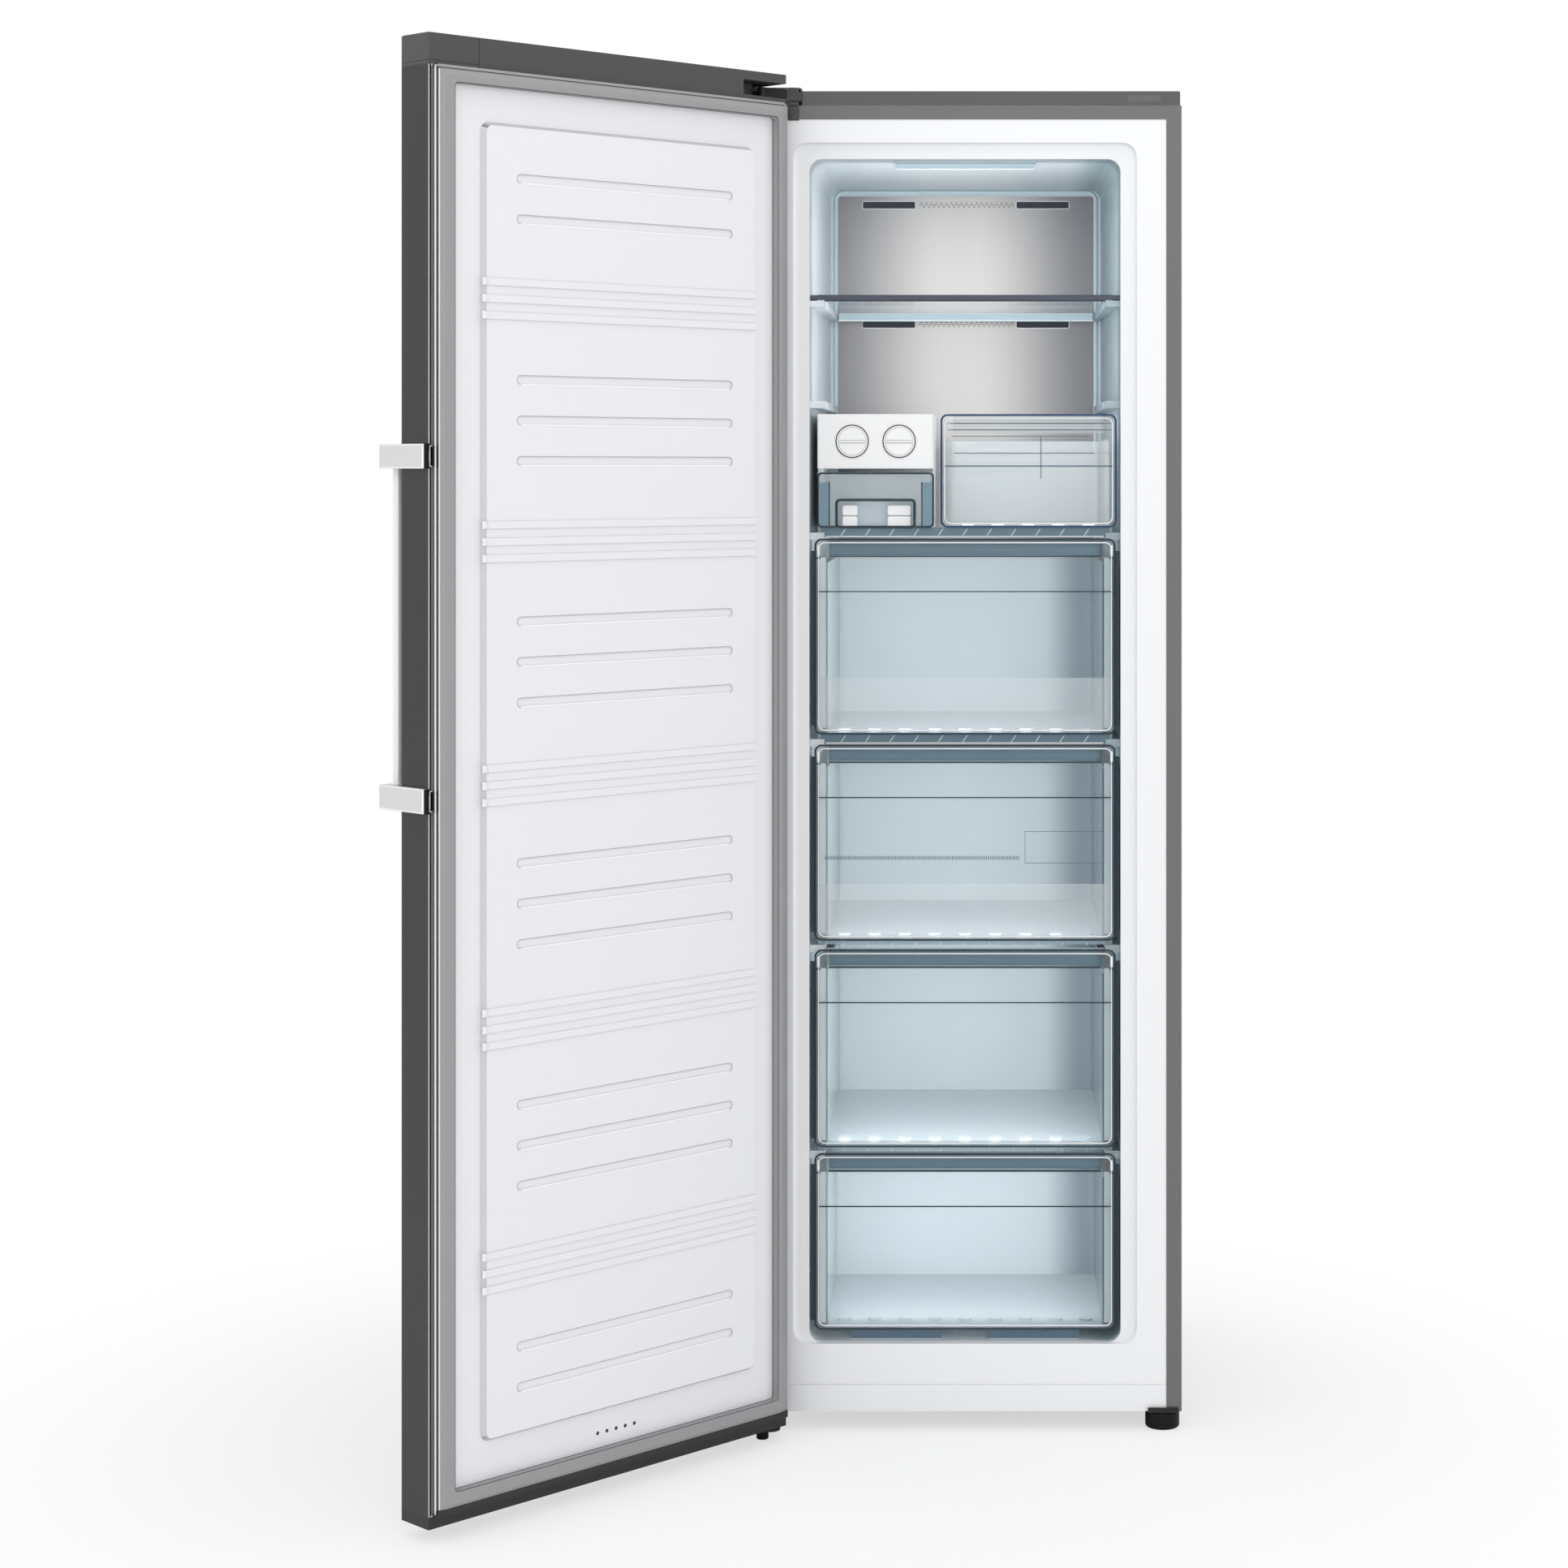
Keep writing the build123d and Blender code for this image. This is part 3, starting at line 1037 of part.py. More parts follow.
def basket(x, z, width, depth, rim):
    """Open basket behind a drawer's front, with rounded rear corners."""
    y0 = DRAWER_FACE + DRAWER_FRONT_WALL / 2
    y1 = DRAWER_FACE + depth
    outer = block(x - width / 2, x + width / 2, y0, y1, z, z + rim)
    outer = fillet(outer.edges().filter_by(Axis.Z).group_by(Axis.Y)[-1],
                   DRAWER_CORNER + DRAWER_WALL)
    inner = block(x - width / 2 + DRAWER_WALL, x + width / 2 - DRAWER_WALL,
                  DRAWER_FACE + DRAWER_FRONT_WALL, y1 - DRAWER_WALL,
                  z + DRAWER_WALL, z + rim + DRAWER_WALL)
    inner = fillet(inner.edges().filter_by(Axis.Z).group_by(Axis.Y)[-1], DRAWER_CORNER)
    return outer, inner


def drawer(x, z, widths, height, depth, line_drop):
    """A clear drawer; widths are those of its front and of its basket."""
    rim = height - DRAWER_RIM_DROP
    outer, inner = basket(x, z, widths[1], depth, rim)
    count = min(BUMP_COUNT, int((widths[1] - 2 * BUMP_PITCH / 2) / BUMP_PITCH) + 1)
    bumps = [rod((x + (i - (count - 1) / 2) * BUMP_PITCH, DRAWER_FACE + BUMP_PITCH,
                  z + DRAWER_WALL), BUMP_RADIUS, BUMP_HEIGHT) for i in range(count)]
    shell = outer - inner + drawer_front(x, z, widths[0], height, line_drop)
    return shell + bumps


def large_drawer(index):
    """One of the four full-width drawers, counted from the top."""
    last = index == len(DRAWER_TALLS) - 1
    return drawer(MIDDLE, DRAWER_BOTTOMS[index], (DRAWER_FRONT_WIDTH, DRAWER_WIDTH),
                  DRAWER_TALLS[index], LOWEST_DRAWER_DEPTH if last else DRAWER_DEPTH, LINE_DROP)


def upper_drawer():
    """Narrow drawer beside the ice maker."""
    width = UPPER_RIGHT - UPPER_LEFT
    return drawer((UPPER_LEFT + UPPER_RIGHT) / 2, UPPER_BOTTOM,
                  (width, width - 2 * UPPER_SIDE_GAP), UPPER_TALL, DRAWER_DEPTH,
                  UPPER_LINE_DROP)


# ---------------------------------------------------------------------------
# Ice maker and ice bin
# ---------------------------------------------------------------------------
def ice_half():
    """Half the width between the outer faces of the ice maker."""
    return ICE_WIDTH / 2


def ice_maker_frame():
    """White frame with bores for two twist trays, on cheeks that stand on the shelf."""
    half = ice_half()
    rear = ICE_FACE + ICE_MAKER_DEPTH
    outer = block(ICE_MIDDLE - half, ICE_MIDDLE + half, ICE_FACE, rear, ICE_MAKER_BOTTOM, ICE_TOP)
    outer = fillet(outer.edges().filter_by(Axis.Z), ICE_MAKER_WALL)
    inner = block(ICE_MIDDLE - half + ICE_MAKER_WALL, ICE_MIDDLE + half - ICE_MAKER_WALL,
                  ICE_FACE + ICE_MAKER_WALL, rear - ICE_MAKER_WALL,
                  ICE_MAKER_BOTTOM - ICE_MAKER_WALL, ICE_TOP + ICE_MAKER_WALL)
    frame = outer - inner
    shelf_top = UPPER_BOTTOM - DRAWER_LIFT
    for side in (-1, 1):
        face = ICE_MIDDLE + side * half
        inside = face - side * ICE_MAKER_WALL
        frame += block(min(face, inside), max(face, inside), ICE_FACE + CHEEK_SETBACK,
                       rear - ICE_MAKER_WALL, shelf_top, ICE_MAKER_BOTTOM + ICE_MAKER_WALL)
    for x in KNOB_PLACES:
        frame -= rod((x, ICE_FACE - ICE_MAKER_WALL, KNOB_HEIGHT), KNOB_SHAFT + RUNNING_FIT,
                     3 * ICE_MAKER_WALL, "Y")
        frame -= rod((x, rear - 2 * ICE_MAKER_WALL, KNOB_HEIGHT), TRAY_PIN + RUNNING_FIT,
                     3 * ICE_MAKER_WALL, "Y")
    return frame


def ice_tray(x):
    """Twist tray with tapered cups and a rear pin."""
    y0 = ICE_FACE + ICE_MAKER_WALL + TRAY_END_GAP
    y1 = ICE_FACE + ICE_MAKER_DEPTH - ICE_MAKER_WALL - TRAY_END_GAP
    z0, z1 = KNOB_HEIGHT - TRAY_HEIGHT / 2, KNOB_HEIGHT + TRAY_HEIGHT / 2
    body = block(x - TRAY_WIDTH / 2, x + TRAY_WIDTH / 2, y0, y1, z0, z1)
    body = chamfer(body.edges().group_by(Axis.Z)[0], TRAY_HEIGHT / 5)
    pitch = (y1 - y0 - DRAWER_WALL) / TRAY_CUPS
    cups = []
    for i in range(TRAY_CUPS):
        start = y0 + DRAWER_WALL + i * pitch
        for side in (-1, 1):
            near = x + side * DRAWER_WALL / 2
            far = x + side * (TRAY_WIDTH / 2 - DRAWER_WALL)
            cup = block(min(near, far), max(near, far), start, start + pitch - DRAWER_WALL,
                        z0 + DRAWER_WALL, z1 + DRAWER_WALL)
            cups.append(chamfer(cup.edges().group_by(Axis.Z)[0], TRAY_HEIGHT / 5))
    pin = rod((x, y1 - DRAWER_WALL, KNOB_HEIGHT), TRAY_PIN,
              TRAY_END_GAP + ICE_MAKER_WALL + DRAWER_WALL, "Y")
    return body - cups + pin


def ice_knob(x):
    """Turning knob with a raised disc, a grip line and a shaft into its tray."""
    gap = CLEARANCE
    collar = rod((x, ICE_FACE - gap - KNOB_PROUD / 2, KNOB_HEIGHT), KNOB_RING,
                 KNOB_PROUD / 2, "Y")
    disc = rod((x, ICE_FACE - gap - KNOB_PROUD, KNOB_HEIGHT), KNOB_RADIUS, KNOB_PROUD, "Y")
    grip = block(x - KNOB_RADIUS, x + KNOB_RADIUS, ICE_FACE - gap - 2 * KNOB_PROUD,
                 ICE_FACE - gap - KNOB_PROUD / 2, KNOB_HEIGHT - KNOB_PROUD, KNOB_HEIGHT)
    grip = grip & rod((x, ICE_FACE - 4 * KNOB_PROUD, KNOB_HEIGHT), KNOB_RADIUS,
                      4 * KNOB_PROUD, "Y")
    shaft = rod((x, ICE_FACE - gap - KNOB_PROUD / 2, KNOB_HEIGHT), KNOB_SHAFT,
                gap + KNOB_PROUD / 2 + ICE_MAKER_WALL + TRAY_END_GAP, "Y")
    return collar + disc + grip + shaft


def ice_bin():
    """Clear bin under the ice maker, with a hollow grip in its front."""
    half = ice_half()
    inside = half - ICE_MAKER_WALL - DRAWER_LIFT
    y0 = DRAWER_FACE
    z0, z1 = UPPER_BOTTOM, UPPER_BOTTOM + ICE_BIN_TALL
    plate = block(ICE_MIDDLE - half, ICE_MIDDLE + half, y0, y0 + DRAWER_FRONT_WALL, z0, z1)
    plate = fillet(plate.edges().filter_by(Axis.Y).group_by(Axis.Z)[0], DRAWER_CORNER / 2)
    outer = block(ICE_MIDDLE - inside, ICE_MIDDLE + inside, y0 + DRAWER_FRONT_WALL / 2,
                  y0 + ICE_BIN_DEPTH, z0, z1)
    inner = block(ICE_MIDDLE - inside + DRAWER_WALL, ICE_MIDDLE + inside - DRAWER_WALL,
                  y0 + DRAWER_FRONT_WALL, y0 + ICE_BIN_DEPTH - DRAWER_WALL,
                  z0 + DRAWER_WALL, z1 + DRAWER_WALL)
    width, height, depth = ICE_SCOOP
    scoop = block(ICE_MIDDLE - width / 2 - DRAWER_WALL, ICE_MIDDLE + width / 2 + DRAWER_WALL,
                  y0, y0 + depth + DRAWER_WALL, z0, z0 + height + DRAWER_WALL)
    scoop = fillet(scoop.edges().filter_by(Axis.Y).group_by(Axis.Z)[-1], DRAWER_CORNER / 2)
    hollow = block(ICE_MIDDLE - width / 2, ICE_MIDDLE + width / 2, y0 - DRAWER_WALL,
                   y0 + depth, z0 - DRAWER_WALL, z0 + height)
    return plate + (outer - inner) + scoop - hollow


# ---------------------------------------------------------------------------
# Door, drawn closed
# ---------------------------------------------------------------------------
def door_outline(inset=0.0):
    """Plan of the door, shrunk by an inset; the inner face keeps its place."""
    x0, x1 = DOOR_LEFT + inset, DOOR_RIGHT - inset
    y0 = DOOR_OUTER + inset
    hinge_r = HINGE_EDGE_RADIUS - inset
    free_r = FREE_EDGE_RADIUS - inset
    corner = math.sqrt(0.5)
    edges = [
        Line((x0, DOOR_INNER), (x0, y0 + hinge_r)),
        ThreePointArc((x0, y0 + hinge_r),
                      (x0 + hinge_r * (1 - corner), y0 + hinge_r * (1 - corner)),
                      (x0 + hinge_r, y0)),
        Line((x0 + hinge_r, y0), (x1 - free_r, y0)),
        ThreePointArc((x1 - free_r, y0),
                      (x1 - free_r * (1 - corner), y0 + free_r * (1 - corner)),
                      (x1, y0 + free_r)),
        Line((x1, y0 + free_r), (x1, DOOR_INNER)),
        Line((x1, DOOR_INNER), (x0, DOOR_INNER)),
    ]
    return make_face(Curve() + edges)


def door_slab(z0, z1, inset=0.0):
    """A slice of the door's body."""
    return extrude(Pos(0, 0, z0) * door_outline(inset), amount=z1 - z0)


def door_skin():
    """Brushed steel skin: outer face, both sides and narrow returns on the inner face."""
    tube = door_slab(SKIN_BOTTOM, SKIN_TOP) - door_slab(SKIN_BOTTOM, SKIN_TOP, SHEET)
    inside = block(DOOR_LEFT + SHEET, DOOR_RIGHT - SHEET, DOOR_INNER - 2 * SHEET, DOOR_INNER,
                   SKIN_BOTTOM, SKIN_TOP)
    returns = [block(DOOR_LEFT + SHEET, DOOR_LEFT + DOOR_RETURN, LINER_FACE, DOOR_INNER,
                     SKIN_BOTTOM, SKIN_TOP),
               block(DOOR_RIGHT - DOOR_RETURN, DOOR_RIGHT - SHEET, LINER_FACE, DOOR_INNER,
                     SKIN_BOTTOM, SKIN_TOP)]
    skin = tube - inside + returns
    for z in (HANDLE_LOWER, HANDLE_UPPER):
        for place in handle_screw_places(z):
            skin -= rod(place, HANDLE_SCREW_RADIUS, -HANDLE_SCREW_LENGTH, "X")
    return skin


def plateau(inset=0.0):
    """Raised field of the door liner, or the hollow behind it when shrunk by an inset."""
    x0, x1 = DOOR_LEFT + PLATEAU_HINGE + inset, DOOR_RIGHT - PLATEAU_FREE - inset
    z0, z1 = SKIN_BOTTOM + PLATEAU_BOTTOM + inset, SKIN_TOP - PLATEAU_TOP - inset
    slope = PLATEAU_SLOPE
    foot = (x0 - slope, x1 + slope, LINER_FACE - inset, z0 - slope, z1 + slope,
            PLATEAU_CORNER + slope)
    crown = (x0, x1, LINER_FACE + PLATEAU_HEIGHT - inset, z0, z1, PLATEAU_CORNER)
    return frustum(foot, crown)


def groove_heights():
    """Height of each round-ended groove in the raised field: three between two ridge groups."""
    first = SKIN_BOTTOM + RIDGE_START
    groups = [first + i * RIDGE_PITCH for i in range(RIDGE_COUNT)]
    inner = [z + RIDGE_PITCH / 2 + k * GROOVE_PITCH for z in groups[:-1] for k in (-1, 0, 1)]
    below = [first - RIDGE_PITCH / 2 + k * GROOVE_PITCH for k in (0, 1)]
    above = [groups[-1] + RIDGE_PITCH / 2 + k * GROOVE_PITCH for k in (-1, 0)]
    return groups, below + inner + above


def door_liner():
    """Vacuum-formed white liner of the door, with ridges, grooves and breather holes."""
    sheet = block(DOOR_LEFT + SHEET, DOOR_RIGHT - SHEET, LINER_FACE - DOOR_LINER, LINER_FACE,
                  SKIN_BOTTOM, SKIN_TOP)
    groups, grooves = groove_heights()
    crown = LINER_FACE + PLATEAU_HEIGHT
    x0 = DOOR_LEFT + PLATEAU_HINGE
    x1 = DOOR_RIGHT - PLATEAU_FREE
    liner = sheet + plateau()
    ridges = []
    for z in groups:
        for k in (-2, 0, 2):
            ridges.append(block(x0, x1, crown - RIDGE_HEIGHT, crown + RIDGE_HEIGHT,
                                z + (k - 0.5) * RIDGE_BAND, z + (k + 0.5) * RIDGE_BAND))
    groove_x0, groove_x1 = DOOR_LEFT + GROOVE_HINGE, DOOR_RIGHT - GROOVE_FREE
    cuts = [slot((groove_x0 + groove_x1) / 2, z, groove_x1 - groove_x0, GROOVE_HEIGHT,
                 crown - GROOVE_DEPTH, crown + GROOVE_DEPTH) for z in grooves]
    middle = (DOOR_LEFT + DOOR_RIGHT) / 2
    for i in range(HOLE_COUNT):
        x = middle + (i - (HOLE_COUNT - 1) / 2) * HOLE_PITCH
        cuts.append(rod((x, LINER_FACE - HOLE_DEPTH, SKIN_BOTTOM + HOLE_RISE), HOLE_RADIUS,
                        2 * HOLE_DEPTH, "Y"))
    return liner + ridges - plateau(DOOR_LINER) - cuts


def cap_bosses(gap=0.0):
    """Bosses of both caps that reach into the foam around the hinge pins."""
    upper = UPPER_PIN_RADIUS + BUSH_WALL + BUSH_BOSS_WALL + gap
    lower = LOWER_PIN_RADIUS + BUSH_WALL + BUSH_BOSS_WALL + gap
    top = rod((0, 0, pin_levels()[0] - gap), upper, SKIN_TOP - pin_levels()[0] + gap)
    bottom = rod((0, 0, SKIN_BOTTOM), lower, pin_levels()[1] - SKIN_BOTTOM + gap)
    return top, bottom


def pin_levels():
    """Lower end of the upper pin and upper end of the lower pin."""
    return SKIN_TOP + NOTCH_FLOOR - PIN_REACH, DOOR_BOTTOM + PIN_REACH


def door_foam():
    """Rigid foam inside the door."""
    core = door_slab(SKIN_BOTTOM, SKIN_TOP, SHEET)
    core -= block(DOOR_LEFT, DOOR_RIGHT, LINER_FACE - DOOR_LINER, DOOR_INNER + SHEET,
                  SKIN_BOTTOM, SKIN_TOP)
    top, bottom = cap_bosses()
    core = core - top - bottom + plateau(DOOR_LINER)
    for z in (HANDLE_LOWER, HANDLE_UPPER):
        for place in handle_screw_places(z):
            core -= rod(place, HANDLE_SCREW_RADIUS, -HANDLE_SCREW_LENGTH, "X")
    return core


def door_gasket():
    """Magnetic seal around the inner face, with a sloped outer shoulder."""
    x0, x1 = DOOR_LEFT + GASKET_MARGIN, DOOR_RIGHT - GASKET_MARGIN
    z0, z1 = SKIN_BOTTOM + GASKET_END_MARGIN, SKIN_TOP - GASKET_END_MARGIN
    slope = GASKET_SLOPE
    shoulder_y = DOOR_INNER + GASKET_SHOULDER
    base = rounded_slab(x0, x1, LINER_FACE, shoulder_y, z0, z1, GASKET_CORNER)
    crown = frustum((x0, x1, shoulder_y, z0, z1, GASKET_CORNER),
                    (x0 + slope, x1 - slope, DOOR_INNER + GASKET_HEIGHT,
                     z0 + slope, z1 - slope, GASKET_CORNER))
    opening = rounded_slab(x0 + GASKET_HINGE_WIDTH, x1 - GASKET_FREE_WIDTH,
                           LINER_FACE - SHEET, DOOR_INNER + 2 * GASKET_HEIGHT,
                           z0 + GASKET_BOTTOM_WIDTH, z1 - GASKET_TOP_WIDTH,
                           GASKET_INNER_CORNER)
    return base + crown - opening - handle_clip_notches()


def handle_clip_notches():
    """Notches in the gasket's outer shoulder around the handle's clips."""
    half = HANDLE_CLIP[1] / 2 + HANDLE_CLIP_GAP
    return [block(DOOR_RIGHT - HANDLE_CLIP[0] - HANDLE_CLIP_GAP, DOOR_RIGHT, LINER_FACE - SHEET,
                  DOOR_INNER + GASKET_HEIGHT, z - half, z + half)
            for z in (HANDLE_LOWER, HANDLE_UPPER)]


def door_top_cap():
    """Plastic cap on the door's top, with the hinge notch and the corner's joint lines."""
    notch_right = DOOR_LEFT + NOTCH_WIDTH
    cap = door_slab(SKIN_TOP, DOOR_TOP)
    cap = cap - (door_slab(SKIN_TOP + CAP_WALL, DOOR_TOP - CAP_WALL, CAP_WALL)
                 & block(notch_right + CAP_WALL, DOOR_RIGHT, DOOR_OUTER,
                         DOOR_INNER - CAP_WALL, SKIN_TOP, DOOR_TOP))
    floor, roof = SKIN_TOP + NOTCH_FLOOR, DOOR_TOP - NOTCH_ROOF
    pocket = block(DOOR_LEFT - CAP_WALL, notch_right, DOOR_INNER - NOTCH_DEPTH,
                   DOOR_INNER + CAP_WALL, floor, roof)
    corner = block(DOOR_LEFT - CAP_WALL, ARM_BOSS + CAP_WALL, DOOR_OUTER + CAP_WALL,
                   DOOR_INNER + CAP_WALL, floor, roof)
    seam_x = DOOR_RIGHT - SEAM_FROM_FREE_EDGE
    seam = block(seam_x, seam_x + SEAM_WIDTH, DOOR_INNER - SEAM_WIDTH, DOOR_INNER + SEAM_WIDTH,
                 SKIN_TOP, DOOR_TOP)
    over = block(seam_x, seam_x + SEAM_WIDTH, DOOR_OUTER, DOOR_INNER,
                 DOOR_TOP - SEAM_WIDTH, DOOR_TOP + SEAM_WIDTH)
    level = SKIN_TOP + SEAM_RISE
    along = block(seam_x, DOOR_RIGHT + SEAM_WIDTH, DOOR_INNER - SEAM_WIDTH,
                  DOOR_INNER + SEAM_WIDTH, level, level + SEAM_WIDTH)
    aside = block(DOOR_RIGHT - SEAM_WIDTH, DOOR_RIGHT + SEAM_WIDTH, DOOR_OUTER, DOOR_INNER,
                  level, level + SEAM_WIDTH)
    rounding = block(DOOR_LEFT - CAP_WALL, DOOR_RIGHT + CAP_WALL, DOOR_OUTER - CAP_WALL,
                     DOOR_OUTER + CAP_ROUNDING, DOOR_TOP - CAP_ROUNDING, DOOR_TOP + CAP_WALL)
    rounding -= rod((DOOR_LEFT - 2 * CAP_WALL, DOOR_OUTER + CAP_ROUNDING,
                     DOOR_TOP - CAP_ROUNDING), CAP_ROUNDING,
                    DOOR_RIGHT - DOOR_LEFT + 4 * CAP_WALL, "X")
    boss = cap_bosses()[0]
    bore = rod((0, 0, pin_levels()[0] - CAP_WALL), UPPER_PIN_RADIUS + BUSH_WALL,
               PIN_REACH + 2 * CAP_WALL)
    return cap + boss - pocket - corner - seam - over - along - aside - rounding - bore


def door_bottom_cap():
    """Plastic cap under the door, with the bore of the lower bush."""
    cap = door_slab(DOOR_BOTTOM, SKIN_BOTTOM)
    cap = cap - (door_slab(DOOR_BOTTOM + CAP_WALL, SKIN_BOTTOM - CAP_WALL, CAP_WALL)
                 & block(DOOR_LEFT + NOTCH_WIDTH, DOOR_RIGHT, DOOR_OUTER,
                         DOOR_INNER - CAP_WALL, DOOR_BOTTOM, SKIN_BOTTOM))
    boss = cap_bosses()[1]
    bore = rod((0, 0, DOOR_BOTTOM - CAP_WALL), LOWER_PIN_RADIUS + BUSH_WALL,
               PIN_REACH + 2 * CAP_WALL)
    return cap + boss - bore


def hinge_bushes():
    """Two nylon bushes in the caps."""
    upper_low, lower_high = pin_levels()
    upper = (rod((0, 0, upper_low), UPPER_PIN_RADIUS + BUSH_WALL, PIN_REACH)
             - rod((0, 0, upper_low - BUSH_WALL), UPPER_PIN_RADIUS + RUNNING_FIT,
                   PIN_REACH + 2 * BUSH_WALL))
    lower = (rod((0, 0, DOOR_BOTTOM), LOWER_PIN_RADIUS + BUSH_WALL, PIN_REACH)
             - rod((0, 0, DOOR_BOTTOM - BUSH_WALL), LOWER_PIN_RADIUS + RUNNING_FIT,
                   lower_high - DOOR_BOTTOM + 2 * BUSH_WALL))
    return upper + lower


# ---------------------------------------------------------------------------
# Handle, drawn on the closed door
# ---------------------------------------------------------------------------
def handle_screw_places(z):
    """Where the two screws of a bracket at a height enter, on the bracket's outer face."""
    x = DOOR_RIGHT + HANDLE_SEAT + HANDLE_THICKNESS / 2
    y = DOOR_INNER - HANDLE_START - (DOOR_THICKNESS - HANDLE_START) / 2
    return [(x, y, z - HANDLE_HEIGHT / 4), (x, y, z + HANDLE_HEIGHT / 4)]


def handle_brackets():
    """Two polished brackets: a plate on the door's free side and an arm that carries the bar."""
    x0 = DOOR_RIGHT + HANDLE_SEAT
    x1 = x0 + HANDLE_THICKNESS
    y0 = DOOR_OUTER - HANDLE_REACH
    y1 = DOOR_INNER - HANDLE_START
    brackets = []
    for z in (HANDLE_LOWER, HANDLE_UPPER):
        plate = block(x0, x1, y0, y1, z - HANDLE_HEIGHT / 2, z + HANDLE_HEIGHT / 2)
        plate = fillet(plate.edges().filter_by(Axis.X), HANDLE_SEAT)
        arm = block(x0 - HANDLE_ARM[0], x0, y0, y0 + HANDLE_ARM[1],
                    z - HANDLE_HEIGHT / 2, z + HANDLE_HEIGHT / 2)
        plate += fillet(arm.edges().filter_by(Axis.X), HANDLE_SEAT)
        for place in handle_screw_places(z):
            plate -= rod(place, HANDLE_SCREW_RADIUS, -HANDLE_THICKNESS, "X")
        brackets.append(plate)
    return joined(brackets)


def handle_bar():
    """Upright grip bar that stands between the brackets' arms."""
    width, depth = HANDLE_BAR
    x1 = DOOR_RIGHT + HANDLE_SEAT - HANDLE_BAR_GAP
    y0 = DOOR_OUTER - HANDLE_REACH + HANDLE_BAR_INSET
    bar = block(x1 - width, x1, y0, y0 + depth,
                HANDLE_LOWER + HANDLE_HEIGHT / 2, HANDLE_UPPER - HANDLE_HEIGHT / 2)
    return fillet(bar.edges().filter_by(Axis.Z), HANDLE_BAR[1] / 5)


def handle_mounts():
    """Black spacers between brackets and door, each with an end cap and a slotted clip."""
    y0 = DOOR_OUTER + FREE_EDGE_RADIUS
    end = DOOR_INNER + HANDLE_CLIP_PROUD
    outer = DOOR_RIGHT + HANDLE_SEAT
    mounts = []
    for z in (HANDLE_LOWER, HANDLE_UPPER):
        half = HANDLE_CLIP[1] / 2
        pad = block(DOOR_RIGHT, outer, y0, end, z - half, z + half)
        cap = block(DOOR_RIGHT, outer + HANDLE_THICKNESS, DOOR_INNER - HANDLE_START, end,
                    z - HANDLE_HEIGHT / 2, z + HANDLE_HEIGHT / 2)
        clip = block(DOOR_RIGHT - HANDLE_CLIP[0], outer, DOOR_INNER, end, z - half, z + half)
        notch = block(DOOR_RIGHT - HANDLE_CLIP[0] / 2, outer, DOOR_INNER + HANDLE_CLIP_PROUD / 2,
                      end + HANDLE_CLIP_PROUD, z - half / 2, z + half / 2)
        mount = pad + cap + clip - notch
        for place in handle_screw_places(z):
            mount -= rod(place, HANDLE_SCREW_RADIUS, -HANDLE_THICKNESS, "X")
        mounts.append(mount)
    return joined(mounts)


def handle_screws():
    """Screws that hold the brackets through the door's side."""
    screws = []
    for z in (HANDLE_LOWER, HANDLE_UPPER):
        for place in handle_screw_places(z):
            screws.append(rod(place, HANDLE_SCREW_RADIUS, -HANDLE_SCREW_LENGTH, "X"))
    return joined(screws)


# ---------------------------------------------------------------------------
# Hinges on the cabinet
# ---------------------------------------------------------------------------
def upper_hinge_bracket():
    """Cast bracket on the steel top with an arm over the hinge axis."""
    top = CABINET_TOP - ARM_DROP
    low = top - ARM_THICKNESS
    heel = FRONT + ARM_THICKNESS
    plan = Polyline((-ARM_BOSS, 0), (-ARM_BOSS, heel), (ARM_REACH, heel),
                    (ARM_REACH, ARM_BOSS + BRACKET_PLATE), (ARM_BOSS, 0), (-ARM_BOSS, 0))
    arm = extrude(Pos(0, 0, low) * make_face(plan), amount=ARM_THICKNESS)
    arm += rod((0, 0, low), ARM_BOSS, ARM_THICKNESS)
    riser = block(-ARM_BOSS, ARM_REACH, FRONT, heel, BODY_TOP, low)
    foot = block(-ARM_BOSS, ARM_REACH + ARM_BOSS, FRONT, FRONT + UPPER_BRACKET_DEPTH,
                 BODY_TOP, BODY_TOP + BRACKET_PLATE)
    bracket = arm + riser + foot - rod((0, 0, low - ARM_BOSS), UPPER_PIN_RADIUS, 3 * ARM_BOSS)
    for x, y in upper_screw_places():
        bracket -= rod((x, y, BODY_TOP), SCREW_RADIUS, BRACKET_PLATE)
    return bracket


def lower_hinge_bracket():
    """Joggled steel bracket under the body with an arm under the door."""
    arm_top = DOOR_BOTTOM - LOWER_ARM_GAP
    arm_low = arm_top - BRACKET_PLATE
    x0, x1 = -LOWER_BRACKET_SIDE, LOWER_BRACKET_WIDTH - LOWER_BRACKET_SIDE
    arm = block(x0, x1, -LOWER_BRACKET_SIDE, FRONT + BRACKET_PLATE, arm_low, arm_top)
    arm = fillet(arm.edges().filter_by(Axis.Z).group_by(Axis.Y)[0], LOWER_BRACKET_SIDE - 1)
    riser = block(x0, x1, FRONT, FRONT + BRACKET_PLATE, arm_low, BODY_BOTTOM)
    foot = block(x0, x1, FRONT, FRONT + LOWER_BRACKET_DEPTH,
                 BODY_BOTTOM - BRACKET_PLATE, BODY_BOTTOM)
    bracket = arm + riser + foot - rod((0, 0, 0), LOWER_PIN_RADIUS, DOOR_BOTTOM)
    for x, y in lower_screw_places():
        bracket -= rod((x, y, BODY_BOTTOM), SCREW_RADIUS, -BRACKET_PLATE)
    return bracket


